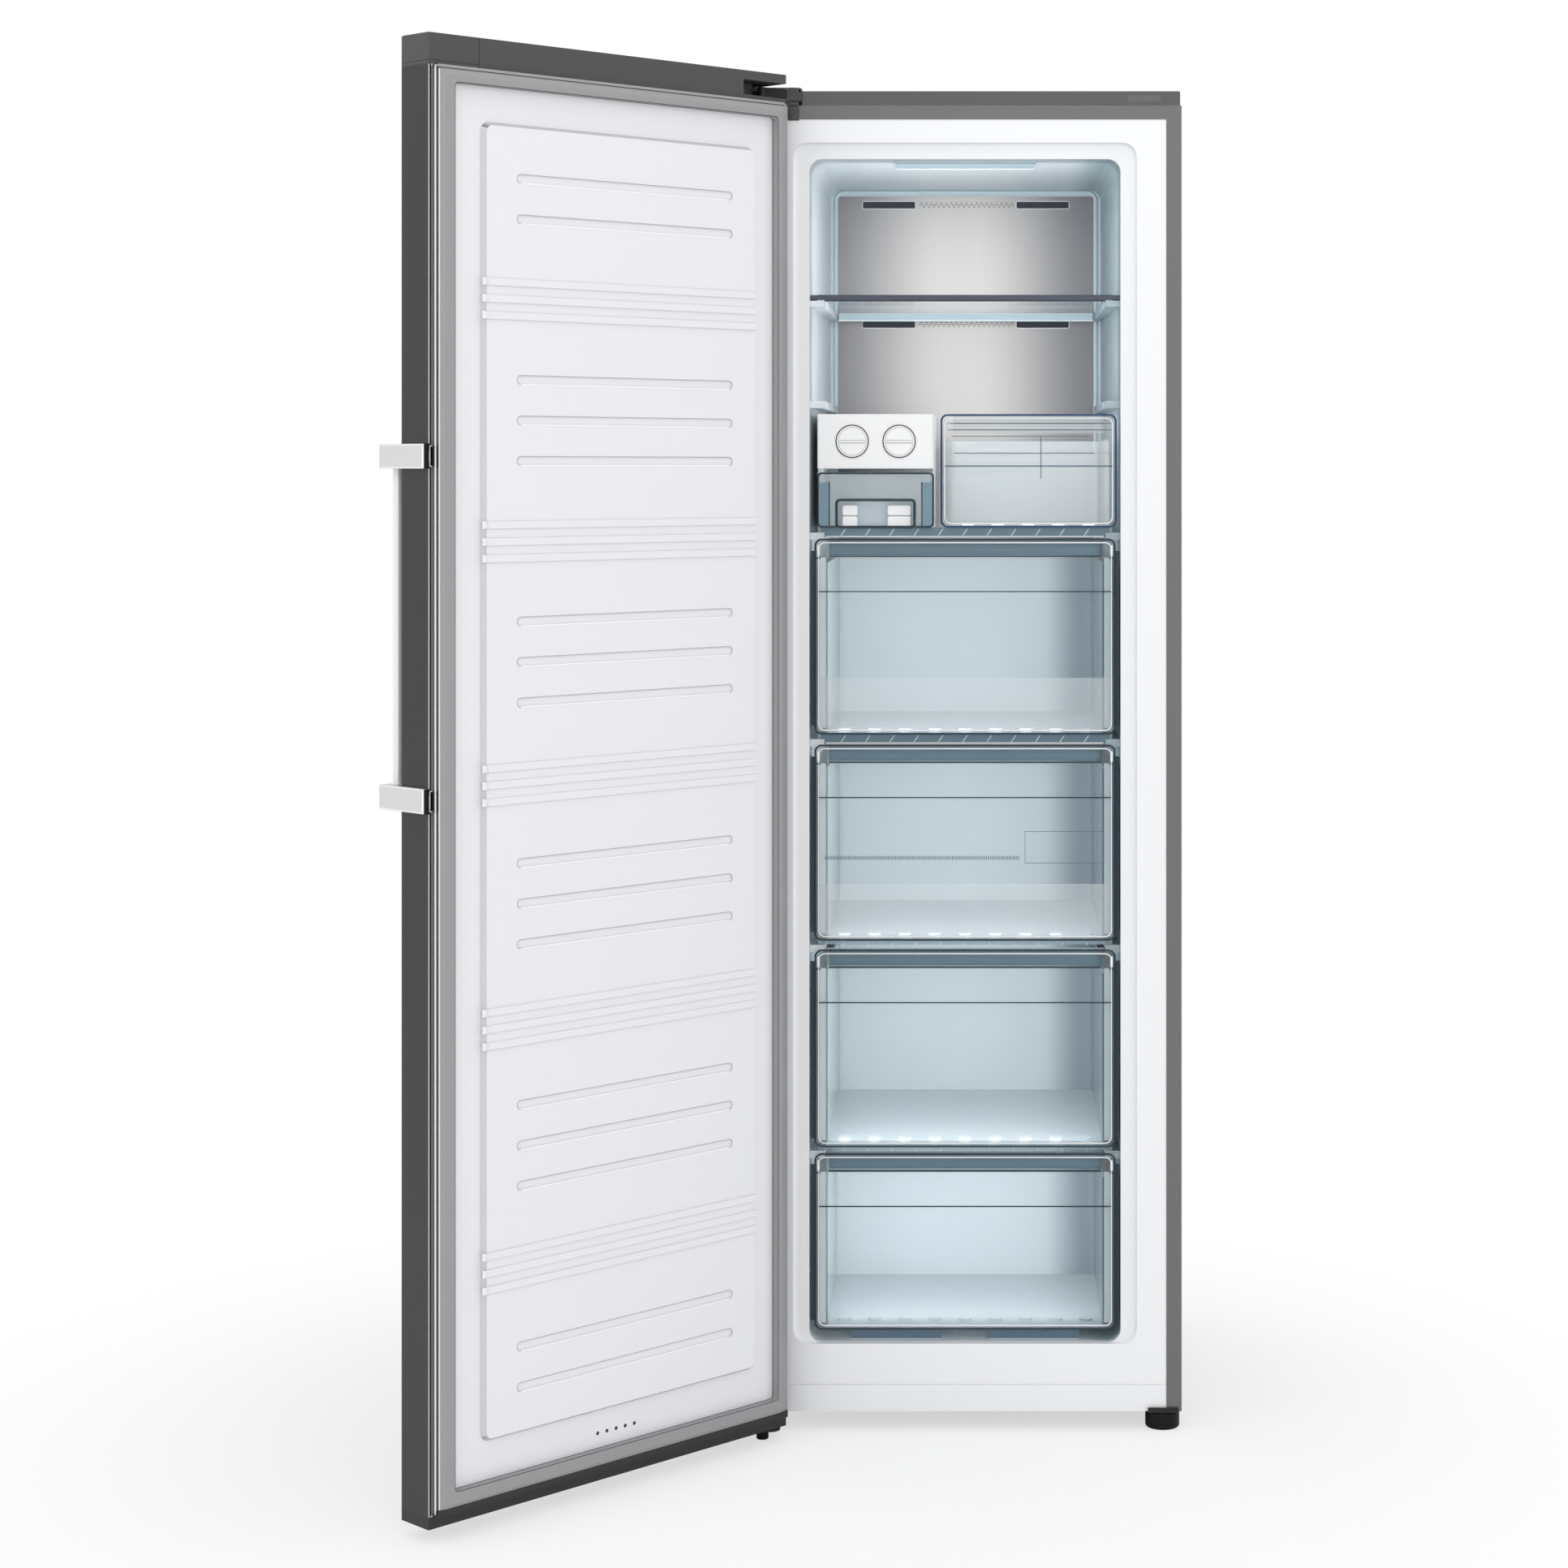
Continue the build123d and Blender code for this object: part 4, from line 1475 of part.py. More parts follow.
def hinge_pins():
    """Upper and lower hinge pin; the lower one has a flange and the foot's bore."""
    upper_low, lower_high = pin_levels()
    upper = rod((0, 0, upper_low), UPPER_PIN_RADIUS, CABINET_TOP - ARM_DROP - upper_low)
    arm_top = DOOR_BOTTOM - LOWER_ARM_GAP
    low = arm_top - BRACKET_PLATE
    lower = rod((0, 0, low), LOWER_PIN_RADIUS, lower_high - low)
    lower += rod((0, 0, arm_top), PIN_FLANGE[0], PIN_FLANGE[1])
    lower -= rod((0, 0, 0), HINGE_FOOT_STUD + RUNNING_FIT, DOOR_BOTTOM)
    return upper + lower


def hinge_cover():
    """Plastic cover over the upper bracket, with a slot for its arm."""
    outer = block(LEFT + TOP_COVER_INSET, LEFT + HINGE_COVER_WIDTH, FRONT - HINGE_COVER_LIP,
                  FRONT - HINGE_COVER_LIP + HINGE_COVER_DEPTH, BODY_TOP,
                  CABINET_TOP + HINGE_COVER_RISE)
    outer = fillet(outer.edges().filter_by(Axis.Z).group_by(Axis.X)[-1], HINGE_EDGE_RADIUS)
    outer = fillet(outer.edges().group_by(Axis.Z)[-1], HINGE_COVER_WALL)
    wall = HINGE_COVER_WALL
    inner = block(LEFT + TOP_COVER_INSET + wall, LEFT + HINGE_COVER_WIDTH - wall,
                  FRONT - HINGE_COVER_LIP + wall,
                  FRONT - HINGE_COVER_LIP + HINGE_COVER_DEPTH - wall, BODY_TOP,
                  CABINET_TOP + HINGE_COVER_RISE - wall)
    gap = 2 * CLEARANCE
    slot_room = block(-ARM_BOSS - gap, ARM_REACH + gap, FRONT - 2 * HINGE_COVER_LIP,
                      FRONT + wall, BODY_TOP, CABINET_TOP - ARM_DROP + gap)
    return outer - inner - slot_room


def hinge_foot():
    """Small levelling foot on the hinge axis, with its stud in the lower pin."""
    pad = rod((0, 0, 0), HINGE_FOOT_RADIUS, HINGE_FOOT_HEIGHT)
    pad = chamfer(pad.edges().group_by(Axis.Z)[0], RUNNING_FIT * 20)
    stud = DOOR_BOTTOM - LOWER_ARM_GAP / 2 - HINGE_FOOT_HEIGHT
    return pad + rod((0, 0, HINGE_FOOT_HEIGHT), HINGE_FOOT_STUD, stud)


# ---------------------------------------------------------------------------
# Screws of the cabinet
# ---------------------------------------------------------------------------
def screw(start, length, axis, outward):
    """A pan-head screw whose head sits on the surface at its start point."""
    head = rod(start, SCREW_HEAD_RADIUS, outward * SCREW_HEAD, axis)
    return head + rod(start, SCREW_RADIUS, -outward * length, axis)


def screws():
    """Screws of the compartment cover and of both hinge brackets."""
    through = BRACKET_PLATE + SHEET
    pieces = [screw((x, REAR, z), COVER_SHEET + FLANGE_SHEET, "Y", 1)
              for x, z in cover_screw_places()]
    pieces += [screw((x, y, BODY_TOP + BRACKET_PLATE), through, "Z", 1)
               for x, y in upper_screw_places()]
    pieces += [screw((x, y, BODY_BOTTOM - BRACKET_PLATE), BRACKET_PLATE + BASE_SHEET, "Z", -1)
               for x, y in lower_screw_places()]
    return joined(pieces)


# ---------------------------------------------------------------------------
# Assembly
# ---------------------------------------------------------------------------
def opened(shape):
    """A piece of the door, swung from closed to its rest pose."""
    return Rot(0, 0, -DOOR_OPEN_ANGLE) * shape


def cabinet_pieces():
    """Body, covers, hinges and machine compartment."""
    left_roller, right_roller = roller_places()
    return {
        "left_side_panel": side_panel(-1),
        "right_side_panel": side_panel(1),
        "top_panel": top_panel(),
        "rear_panel": rear_panel(),
        "base_plate": base_plate(),
        "plinth_panel": plinth_panel(),
        "inner_liner": inner_liner(),
        "foam_insulation": foam_insulation(),
        "top_cover": top_cover(),
        "control_window": control_window(),
        "circuit_boards": circuit_boards(),
        "upper_hinge_bracket": upper_hinge_bracket(),
        "hinge_cover": hinge_cover(),
        "lower_hinge_bracket": lower_hinge_bracket(),
        "hinge_pins": hinge_pins(),
        "hinge_foot": hinge_foot(),
        "front_foot": front_foot(),
        "left_roller": rear_roller(left_roller),
        "right_roller": rear_roller(right_roller),
        "roller_axles": roller_axles(),
        "compressor": compressor(),
        "compressor_mounts": compressor_mounts(),
        "condenser_pipes": condenser_pipes(),
        "evaporation_tray": evaporation_tray(),
        "compartment_cover": compartment_cover(),
        "cord_gland": cord_gland(),
        "screws": screws(),
    }


def inside_pieces():
    """Evaporator panel, fan, lamp, shelves, ice maker and drawers."""
    pieces = {
        "cover_plate": cover_plate(),
        "evaporator_cover": evaporator_cover(),
        "evaporator_coil": evaporator_coil(),
        "defrost_heater": defrost_heater(),
        "fan_motor": fan_motor(),
        "fan_blade": fan_blade(),
        "drain_hose": drain_hose(),
        "lamp_cover": lamp_cover(),
        "glass_shelf": glass_shelf(),
        "glass_shelf_trim": glass_shelf_trim(),
        "drawer_shelves": drawer_shelves(),
        "ice_maker_frame": ice_maker_frame(),
        "ice_tray_left": ice_tray(KNOB_PLACES[0]),
        "ice_tray_right": ice_tray(KNOB_PLACES[1]),
        "ice_knob_left": ice_knob(KNOB_PLACES[0]),
        "ice_knob_right": ice_knob(KNOB_PLACES[1]),
        "upper_drawer": upper_drawer(),
        "ice_bin": ice_bin(),
    }
    for index in range(len(DRAWER_HEIGHTS)):
        pieces[f"drawer_{index + 1}"] = large_drawer(index)
    return pieces


def door_pieces():
    """Everything that swings with the door."""
    closed = {
        "door_skin": door_skin(),
        "door_liner": door_liner(),
        "door_foam": door_foam(),
        "door_gasket": door_gasket(),
        "door_top_cap": door_top_cap(),
        "door_bottom_cap": door_bottom_cap(),
        "hinge_bushes": hinge_bushes(),
        "handle_bar": handle_bar(),
        "handle_brackets": handle_brackets(),
        "handle_mounts": handle_mounts(),
        "handle_screws": handle_screws(),
    }
    return {name: opened(shape) for name, shape in closed.items()}


os.makedirs("parts", exist_ok=True)
for name, shape in {**cabinet_pieces(), **inside_pieces(), **door_pieces()}.items():
    export_step(shape, f"parts/{name}.step")
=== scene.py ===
import json
import math

import bmesh
import bpy
from mathutils import Matrix, Vector


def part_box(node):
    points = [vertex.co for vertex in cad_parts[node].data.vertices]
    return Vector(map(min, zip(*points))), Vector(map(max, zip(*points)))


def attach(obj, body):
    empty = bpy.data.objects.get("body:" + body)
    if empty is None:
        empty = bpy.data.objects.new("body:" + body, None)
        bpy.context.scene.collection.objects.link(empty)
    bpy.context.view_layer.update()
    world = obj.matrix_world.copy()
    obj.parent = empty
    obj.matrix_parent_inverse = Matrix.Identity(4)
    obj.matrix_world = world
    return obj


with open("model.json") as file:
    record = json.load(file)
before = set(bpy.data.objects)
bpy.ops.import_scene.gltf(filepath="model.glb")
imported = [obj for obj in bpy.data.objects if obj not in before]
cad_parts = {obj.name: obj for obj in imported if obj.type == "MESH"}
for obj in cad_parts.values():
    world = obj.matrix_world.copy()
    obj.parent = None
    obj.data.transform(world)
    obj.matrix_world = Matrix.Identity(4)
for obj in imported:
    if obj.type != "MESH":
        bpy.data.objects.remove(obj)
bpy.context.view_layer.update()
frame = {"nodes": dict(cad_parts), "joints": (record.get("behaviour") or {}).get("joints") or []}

bl_info = {
    "name": "Upright Freezer Finish",
    "version": (1, 0, 0),
    "blender": (4, 5, 0),
    "location": "View3D > Sidebar > Freezer",
    "description": "Dresses an upright freezer with its materials, small details and a pale studio",
    "category": "Object",
}

NODES = frame["nodes"]
UPRIGHT = (math.pi / 2, 0.0, 0.0)

# Photo's size in pixels, and where the camera's level line of sight meets it
PHOTO = 1932.0
SIGHT = (1200.0, 578.8)
FOCAL_PIXELS = 3876.0
EYE = Vector((0.2878, -4.282, 1.3183))
SENSOR = 36.0

# Lengths in metres: lifts that keep thin lines clear of the face under them, edge roundings,
# and the widest gap between points that still belong to one ridge, groove or hole
HAIR = 0.0001
EASED = 0.0002
SOFT = 0.0003
ROUND = 0.0004
JOINED = 0.004


# ---------------------------------------------------------------------------
# Colours and nodes
# ---------------------------------------------------------------------------
def linear(hex_colour):
    """Linear colour of an sRGB hex value."""
    values = [int(hex_colour[i:i + 2], 16) / 255 for i in (1, 3, 5)]
    return tuple(v / 12.92 if v <= 0.04045 else ((v + 0.055) / 1.055) ** 2.4 for v in values)


def add(tree, kind, values=None, links=None):
    """Adds a node, sets its properties and inputs, and links sockets into it."""
    node = tree.nodes.new(kind)
    for key, value in (values or {}).items():
        if isinstance(key, str) and key not in node.inputs and hasattr(node, key):
            setattr(node, key, value)
        else:
            node.inputs[key].default_value = value
    for key, socket in (links or {}).items():
        tree.links.new(socket, node.inputs[key])
    return node


def shade(colour, factor=1.0):
    """A colour, given as a hex value or a property, made lighter or darker by a factor."""
    values = linear(colour) if isinstance(colour, str) else colour
    return tuple(min(1.0, v * factor) for v in values) + (1.0,)


def blank_material(name):
    """A new material with an empty node tree and its output node."""
    material = bpy.data.materials.new(name)
    material.use_nodes = True
    tree = material.node_tree
    tree.nodes.clear()
    return material, tree, add(tree, "ShaderNodeOutputMaterial")


def surface(name, colour, roughness, grain=0.01, tint=0.03, spread=0.05, bump=0.0, zone=(),
            constants=None):
    """A finish whose grain has a real size, in metres: one size, or one along each axis.

    zone lists further colours, each (colour, axis, place where it starts, place where it is
    full); the ones after the first show only where the first does.
    """
    material, tree, output = blank_material(name)
    lengths = (grain,) * 3 if isinstance(grain, float) else grain
    place = add(tree, "ShaderNodeTexCoord").outputs["Object"]
    fitted = add(tree, "ShaderNodeMapping", {"Scale": tuple(1 / g for g in lengths)},
                 {"Vector": place})
    noise = add(tree, "ShaderNodeTexNoise", {"Scale": 1.0, "Detail": 3.0, "Roughness": 0.6},
                {"Vector": fitted.outputs["Vector"]})
    painted = add(tree, "ShaderNodeMix",
                  {"data_type": "RGBA", 6: shade(colour, 1 - tint), 7: shade(colour, 1 + tint)},
                  {0: noise.outputs["Fac"]}).outputs[2]
    within = None
    for other, axis, start, full in zone:
        split = add(tree, "ShaderNodeSeparateXYZ", None, {"Vector": place})
        share = add(tree, "ShaderNodeMapRange",
                    {"From Min": start, "From Max": full, "interpolation_type": "SMOOTHSTEP"},
                    {"Value": split.outputs[axis], **({"To Max": within} if within else {})})
        within = within or share.outputs["Result"]
        painted = add(tree, "ShaderNodeMix", {"data_type": "RGBA", 7: shade(other)},
                      {0: share.outputs["Result"], 6: painted}).outputs[2]
    rough = add(tree, "ShaderNodeMapRange",
                {"To Min": max(0.0, roughness - spread), "To Max": min(1.0, roughness + spread)},
                {"Value": noise.outputs["Fac"]})
    links = {"Base Color": painted, "Roughness": rough.outputs["Result"]}
    if bump:
        links["Normal"] = add(tree, "ShaderNodeBump", {"Strength": 1.0, "Distance": bump},
                              {"Height": noise.outputs["Fac"]}).outputs["Normal"]
    shader = add(tree, "ShaderNodeBsdfPrincipled", constants, links)
    tree.links.new(shader.outputs["BSDF"], output.inputs["Surface"])
    return material


def clear_plastic(name, colours_by_face, front, opacity, shaded=None):
    """Tinted clear polystyrene, darker where a front's wall is seen end on.

    colours_by_face are those of walls, floors and edges; the floor colour, which faces looking up or
    down take, is painted light and shade. opacity is that of the front, of the walls behind it and of
    the edges. front is the place along Y where the front wall ends, and shaded is the span along X
    over which a painted shade darkens the rear walls.
    """
    wall, floor, edge = colours_by_face
    material, tree, output = blank_material(name)
    coord = add(tree, "ShaderNodeTexCoord")
    normal = add(tree, "ShaderNodeSeparateXYZ", None, {"Vector": coord.outputs["Normal"]})
    place = add(tree, "ShaderNodeSeparateXYZ", None, {"Vector": coord.outputs["Object"]})
    facing = add(tree, "ShaderNodeMath", {"operation": "ABSOLUTE"}, {0: normal.outputs["Y"]})
    end_on = add(tree, "ShaderNodeMapRange", {"From Min": 0.75, "From Max": 0.35},
                 {"Value": facing.outputs["Value"]})
    deep = add(tree, "ShaderNodeMapRange", {"From Min": front, "From Max": front + 0.006},
               {"Value": place.outputs["Y"]})
    edge_share = add(tree, "ShaderNodeMapRange", {"To Max": 0.0},
                     {"Value": deep.outputs["Result"], "To Min": end_on.outputs["Result"]})
    noise = add(tree, "ShaderNodeTexNoise", {"Scale": 9.0, "Detail": 2.0},
                {"Vector": coord.outputs["Object"]})
    shown = add(tree, "ShaderNodeMix",
                {"data_type": "RGBA", 6: shade(wall, 0.97), 7: shade(wall, 1.03)},
                {0: noise.outputs["Fac"]}).outputs[2]
    # Painted shade: the rear walls turn a darker blue-grey across the span given by shaded
    if shaded:
        side = add(tree, "ShaderNodeMapRange", {"From Min": shaded[0], "From Max": shaded[1],
                                                "interpolation_type": "SMOOTHSTEP"},
                   {"Value": place.outputs["X"], "To Max": deep.outputs["Result"]})
        shown = add(tree, "ShaderNodeMix", {"data_type": "RGBA", 7: shade("#8aa0ad")},
                    {0: side.outputs["Result"], 6: shown}).outputs[2]
    # Painted light and shade: faces that look up or down take the floor colour
    level = add(tree, "ShaderNodeMath", {"operation": "ABSOLUTE"}, {0: normal.outputs["Z"]})
    floors = add(tree, "ShaderNodeMix", {"data_type": "RGBA", 7: shade(floor)},
                 {0: level.outputs["Value"], 6: shown})
    edges = add(tree, "ShaderNodeMix", {"data_type": "RGBA", 7: shade(edge)},
                {0: edge_share.outputs["Result"], 6: floors.outputs[2]})
    walls = add(tree, "ShaderNodeMapRange", {"To Min": opacity[0], "To Max": opacity[1]},
                {"Value": deep.outputs["Result"]})
    solid = add(tree, "ShaderNodeMapRange", {"To Max": opacity[2]},
                {"Value": edge_share.outputs["Result"], "To Min": walls.outputs["Result"]})
    shader = add(tree, "ShaderNodeBsdfPrincipled", {"Roughness": 0.1, "IOR": 1.5},
                 {"Base Color": edges.outputs[2], "Alpha": solid.outputs["Result"]})
    tree.links.new(shader.outputs["BSDF"], output.inputs["Surface"])
    return material


def finish(material, *names):
    """Puts a material on the named nodes."""
    for name in names:
        mesh_object = NODES[name]
        if not mesh_object.material_slots:
            mesh_object.data.materials.append(material)
        for slot in mesh_object.material_slots:
            slot.material = material


# ---------------------------------------------------------------------------
# Meshes
# ---------------------------------------------------------------------------
def piece(name, mesh, material, body):
    """A new piece at the origin that rides on a body."""
    if len(mesh.polygons) == 0:
        raise RuntimeError(f"{name} has no faces")
    mesh.name = name
    made = bpy.data.objects.new(name, mesh)
    bpy.context.scene.collection.objects.link(made)
    mesh.materials.clear()
    mesh.materials.append(material)
    for polygon in mesh.polygons:
        polygon.material_index = 0
    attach(made, body)
    return made


def combined(meshes, turn=None):
    """One mesh from several, turned if a matrix is given."""
    work = bmesh.new()
    for mesh in meshes:
        work.from_mesh(mesh)
        bpy.data.meshes.remove(mesh)
    if turn is not None:
        work.transform(turn)
    whole = bpy.data.meshes.new("combined")
    work.to_mesh(whole)
    work.free()
    return whole


def on_door(name, meshes, material):
    """A new piece of the door from meshes laid on the closed door, turned to its rest pose."""
    return piece(name, combined(meshes, door_turn()), material, "door")


def slabs(boxes, bevel=EASED):
    """One mesh of small blocks with eased edges, each given by its low and high corner."""
    work = bmesh.new()
    for low, high in boxes:
        middle = (Vector(low) + Vector(high)) / 2
        size = Vector(high) - Vector(low)
        made = bmesh.ops.create_cube(work, size=1.0)
        bmesh.ops.transform(work, verts=made["verts"],
                            matrix=Matrix.Translation(middle) @ Matrix.Diagonal((*size, 1.0)))
    bmesh.ops.bevel(work, geom=work.edges[:], offset=bevel, segments=2, affect="EDGES")
    mesh = bpy.data.meshes.new("slabs")
    work.to_mesh(mesh)
    work.free()
    return mesh


def node_group(name, sizes):
    """A geometry node tree with named size inputs, its group input and its output."""
    tree = bpy.data.node_groups.new(name, "GeometryNodeTree")
    tree.interface.new_socket("Geometry", in_out="OUTPUT", socket_type="NodeSocketGeometry")
    for label, kind in sizes.items():
        tree.interface.new_socket(label, in_out="INPUT", socket_type=kind)
    return tree, add(tree, "NodeGroupInput").outputs, add(tree, "NodeGroupOutput")


def grown(tree, values):
    """The plain mesh that a geometry node tree makes with these input values."""
    holder = bpy.data.objects.new("holder", bpy.data.meshes.new("holder"))
    bpy.context.scene.collection.objects.link(holder)
    modifier = holder.modifiers.new("grow", "NODES")
    modifier.node_group = tree
    for item in tree.interface.items_tree:
        if item.in_out == "INPUT" and item.name in values:
            modifier[item.identifier] = values[item.name]
    graph = bpy.context.evaluated_depsgraph_get()
    mesh = bpy.data.meshes.new_from_object(holder.evaluated_get(graph))
    holder.modifiers.remove(modifier)
    bpy.data.objects.remove(holder)
    return mesh


def finished_output(tree, geometry, material, output):
    """Ends a tree in Realize Instances and Set Material."""
    real = add(tree, "GeometryNodeRealizeInstances", None, {"Geometry": geometry})
    done = add(tree, "GeometryNodeSetMaterial", {"Material": material},
               {"Geometry": real.outputs["Geometry"]})
    tree.links.new(done.outputs["Geometry"], output.inputs["Geometry"])


def row(name, material, corners=0):
    """Tree that repeats a block, or a disc with this many corners, along a level row."""
    shape = ({"Radius": "NodeSocketFloat", "Thickness": "NodeSocketFloat"} if corners else
             {"Block": "NodeSocketVector", "Lean": "NodeSocketVector"})
    tree, given, output = node_group(name, {
        "Centre": "NodeSocketVector", "Spread": "NodeSocketFloat", "Columns": "NodeSocketInt",
        **shape})
    line = add(tree, "GeometryNodeMeshGrid", {"Size Y": 0.0, "Vertices Y": 1},
               {"Size X": given["Spread"], "Vertices X": given["Columns"]})
    stood = add(tree, "GeometryNodeTransform", {"Rotation": UPRIGHT},
                {"Geometry": line.outputs["Mesh"], "Translation": given["Centre"]})
    if corners:
        unit = add(tree, "GeometryNodeMeshCylinder", {"Vertices": corners},
                   {"Radius": given["Radius"], "Depth": given["Thickness"]})
        turned, lean = {"Rotation": UPRIGHT}, {}
    else:
        unit = add(tree, "GeometryNodeMeshCube", None, {"Size": given["Block"]})
        turned, lean = {}, {"Rotation": given["Lean"]}
    spread = add(tree, "GeometryNodeInstanceOnPoints", turned,
                 {"Points": stood.outputs["Geometry"], "Instance": unit.outputs["Mesh"], **lean})
    finished_output(tree, spread.outputs["Instances"], material, output)
    return tree


def bead_frame(name, material):
    """Tree that runs a round bead along an upright rectangle with rounded corners."""
    tree, given, output = node_group(name, {
        "Centre": "NodeSocketVector", "Width": "NodeSocketFloat", "Height": "NodeSocketFloat",
        "Corner": "NodeSocketFloat", "Bead": "NodeSocketFloat"})
    outline = add(tree, "GeometryNodeCurvePrimitiveQuadrilateral", None,
                  {"Width": given["Width"], "Height": given["Height"]})
    rounded = add(tree, "GeometryNodeFilletCurve", {"mode": "POLY", "Count": 6},
                  {"Curve": outline.outputs["Curve"], "Radius": given["Corner"]})
    stood = add(tree, "GeometryNodeTransform", {"Rotation": UPRIGHT},
                {"Geometry": rounded.outputs["Curve"], "Translation": given["Centre"]})
    ring = add(tree, "GeometryNodeCurvePrimitiveCircle", {"Resolution": 8},
               {"Radius": given["Bead"]})
    swept = add(tree, "GeometryNodeCurveToMesh", None,
                {"Curve": stood.outputs["Geometry"], "Profile Curve": ring.outputs["Curve"]})
    finished_output(tree, swept.outputs["Mesh"], material, output)
    return tree


def ring(tree, centre, width, height, corner, bead):
    """Mesh of a bead frame with these sizes."""
    return grown(tree, {"Centre": centre, "Width": width, "Height": height, "Corner": corner,
                        "Bead": bead})


# ---------------------------------------------------------------------------
# Properties: the sizes and colours that a user would change
# ---------------------------------------------------------------------------
def colour_property(label, note, hex_colour):
    """A colour property whose default is an sRGB hex value."""
    return bpy.props.FloatVectorProperty(name=label, description=note, subtype="COLOR", size=3,
                                         min=0.0, max=1.0, default=linear(hex_colour))


def length_property(label, note, metres):
    """A length property in metres."""
    return bpy.props.FloatProperty(name=label, description=note, unit="LENGTH", min=0.0,
                                   default=metres, precision=4)


class FreezerColours(bpy.types.PropertyGroup):
    """Colours of the freezer's finishes."""

    door_steel: colour_property("Door steel", "Graphite coating of the door's skin", "#3b3b3c")
    side_paint: colour_property("Side paint", "Satin grey paint of the cabinet", "#6a6a6a")
    top_trim: colour_property("Top trim", "Moulded cover over the cabinet", "#525353")
    door_cap: colour_property("Door cap", "Moulded cap on top of the door", "#494949")
    lower_cap: colour_property("Lower cap", "Moulded cap under the door", "#262627")
    seal: colour_property("Seal", "Soft vinyl of the door's gasket", "#9c9b9d")
    liner: colour_property("Liner", "White vacuum-formed liner", "#f1f2f4")
    # Painted cool light: the blue-white that the liner takes deep inside the cavity
    cavity: colour_property("Cavity", "Cool white deep inside the cavity", "#dde4e8")
    cavity_shade: colour_property("Cavity shade", "Its side away from the light", "#a4b5bb")
    door_liner: colour_property("Door liner", "White liner of the door", "#eeeef1")
    panel: colour_property("Back panel", "Brushed metal face inside", "#cfcbc9")
    drawer: colour_property("Drawer", "Tint of the clear drawers", "#eaf4f9")
    drawer_edge: colour_property("Drawer edge", "Tint of a clear wall seen end on", "#0e2a38")
    upper_edge: colour_property("Upper drawer edge", "Outline of the upper drawer", "#0f3a63")
    ice_edge: colour_property("Scoop edge", "Edges of the ice bin's grip", "#1c6f9e")
    handle: colour_property("Handle", "Polished stainless steel", "#dadada")
    bar: colour_property("Handle bar", "Satin stainless steel of the bar", "#efefef")
    floor: colour_property("Floor", "Pale studio floor", "#f5f5f5")


class FreezerSizes(bpy.types.PropertyGroup):
    """Sizes of the small details."""

    outline_bead: length_property("Outline bead", "Radius of a drawer's edge line", 0.0013)
    seal_bead: length_property("Seal bead", "Radius of the line inside the gasket", 0.0004)
    hole_pitch: length_property("Hole pitch", "Spacing of the perforations by the vents", 0.0038)
    hole_radius: length_property("Hole radius", "Radius of a perforation", 0.0009)
    flange_reach: length_property("Flange reach", "Reach of the carrier beside its plate", 0.0197)
    relief: length_property("Relief", "Height of the door liner's ridges, depth of its grooves",
                            0.0016)
    field_height: length_property("Field height", "Height of the door liner's field", 0.008)
    relief_line: length_property("Relief line", "Radius of the line round a groove", 0.0005)
    tick_pitch: length_property("Tick pitch", "Spacing of the printed ticks", 0.0026)
    tick_height: length_property("Tick height", "Height of a printed tick", 0.0052)
    frame_line: length_property("Frame line", "Thickness of the printed frame", 0.0007)
    rib_pitch: length_property("Rib pitch", "Spacing of the slanting shelf ribs", 0.0336)


def colours():
    """The chosen colours."""
    return bpy.context.scene.freezer_colours


def sizes():
    """The chosen sizes."""
    return bpy.context.scene.freezer_sizes


def hinge_joint():
    """The door's hinge as the record states it."""
    return next(j for j in frame["joints"] if j["name"] == "door_hinge")


def door_turn():
    """The turn about the hinge axis from the closed door to its rest pose."""
    return Matrix.Rotation(math.radians(min(hinge_joint()["range_deg"])), 4, "Z")


def hulls(solids):
    """Mesh of closed convex bodies, each given by its corner points."""
    mesh = bpy.data.meshes.new("hulls")
    work = bmesh.new()
    for corners in solids:
        bmesh.ops.convex_hull(work, input=[work.verts.new(corner) for corner in corners])
    work.to_mesh(mesh)
    work.free()
    return mesh


def stadium(centre, width, height, thickness, steps=8):
    """Corner points of a plate with round ends that stands upright along X."""
    x, y, z = centre
    radius = height / 2
    points = []
    for side in (-1, 1):
        for step in range(steps + 1):
            angle = math.pi * (step / steps - 0.5)
            across = x + side * (width / 2 - radius + radius * math.cos(angle))
            points += [(across, depth, z + radius * math.sin(angle))
                       for depth in (y, y + thickness)]
    return points


def closed(name):
    """Points of a door node's mesh as they lie with the door closed."""
    back = door_turn().inverted()
    return [back @ vertex.co for vertex in NODES[name].data.vertices]


def extent(points):
    """Lowest and highest corner of some points."""
    return [Vector([pick(p[i] for p in points) for i in range(3)]) for pick in (min, max)]


def at_depth(points, depth):
    """The points that lie at a place along Y."""
    return [p for p in points if abs(p.y - depth) < HAIR]


def groups(points, axis, gap):
    """Extents of the groups that points form along an axis, split where a gap is wider."""
    found = []
    for point in sorted(points, key=lambda p: p[axis]):
        if not found or point[axis] - found[-1][-1][axis] > gap:
            found.append([])
        found[-1].append(point)
    return [extent(group) for group in found]


# ---------------------------------------------------------------------------
# Operators: one for each piece or group of like pieces, and the stage
# ---------------------------------------------------------------------------
# Hinge cover's rounded nose, and the hinge's leaf under it: places from the cover's free end,
# its face and its foot
NOSE_WIDTH, NOSE_PROUD, NOSE_DEPTH = 0.0225, 0.0075, 0.012
NOSE_DROP, NOSE_ROUNDING = 0.001, 0.0058
LEAF_ENDS, LEAF_DEPTHS, LEAF_HEIGHT = (0.0185, 0.0035), (0.0023, 0.0027), 0.0205


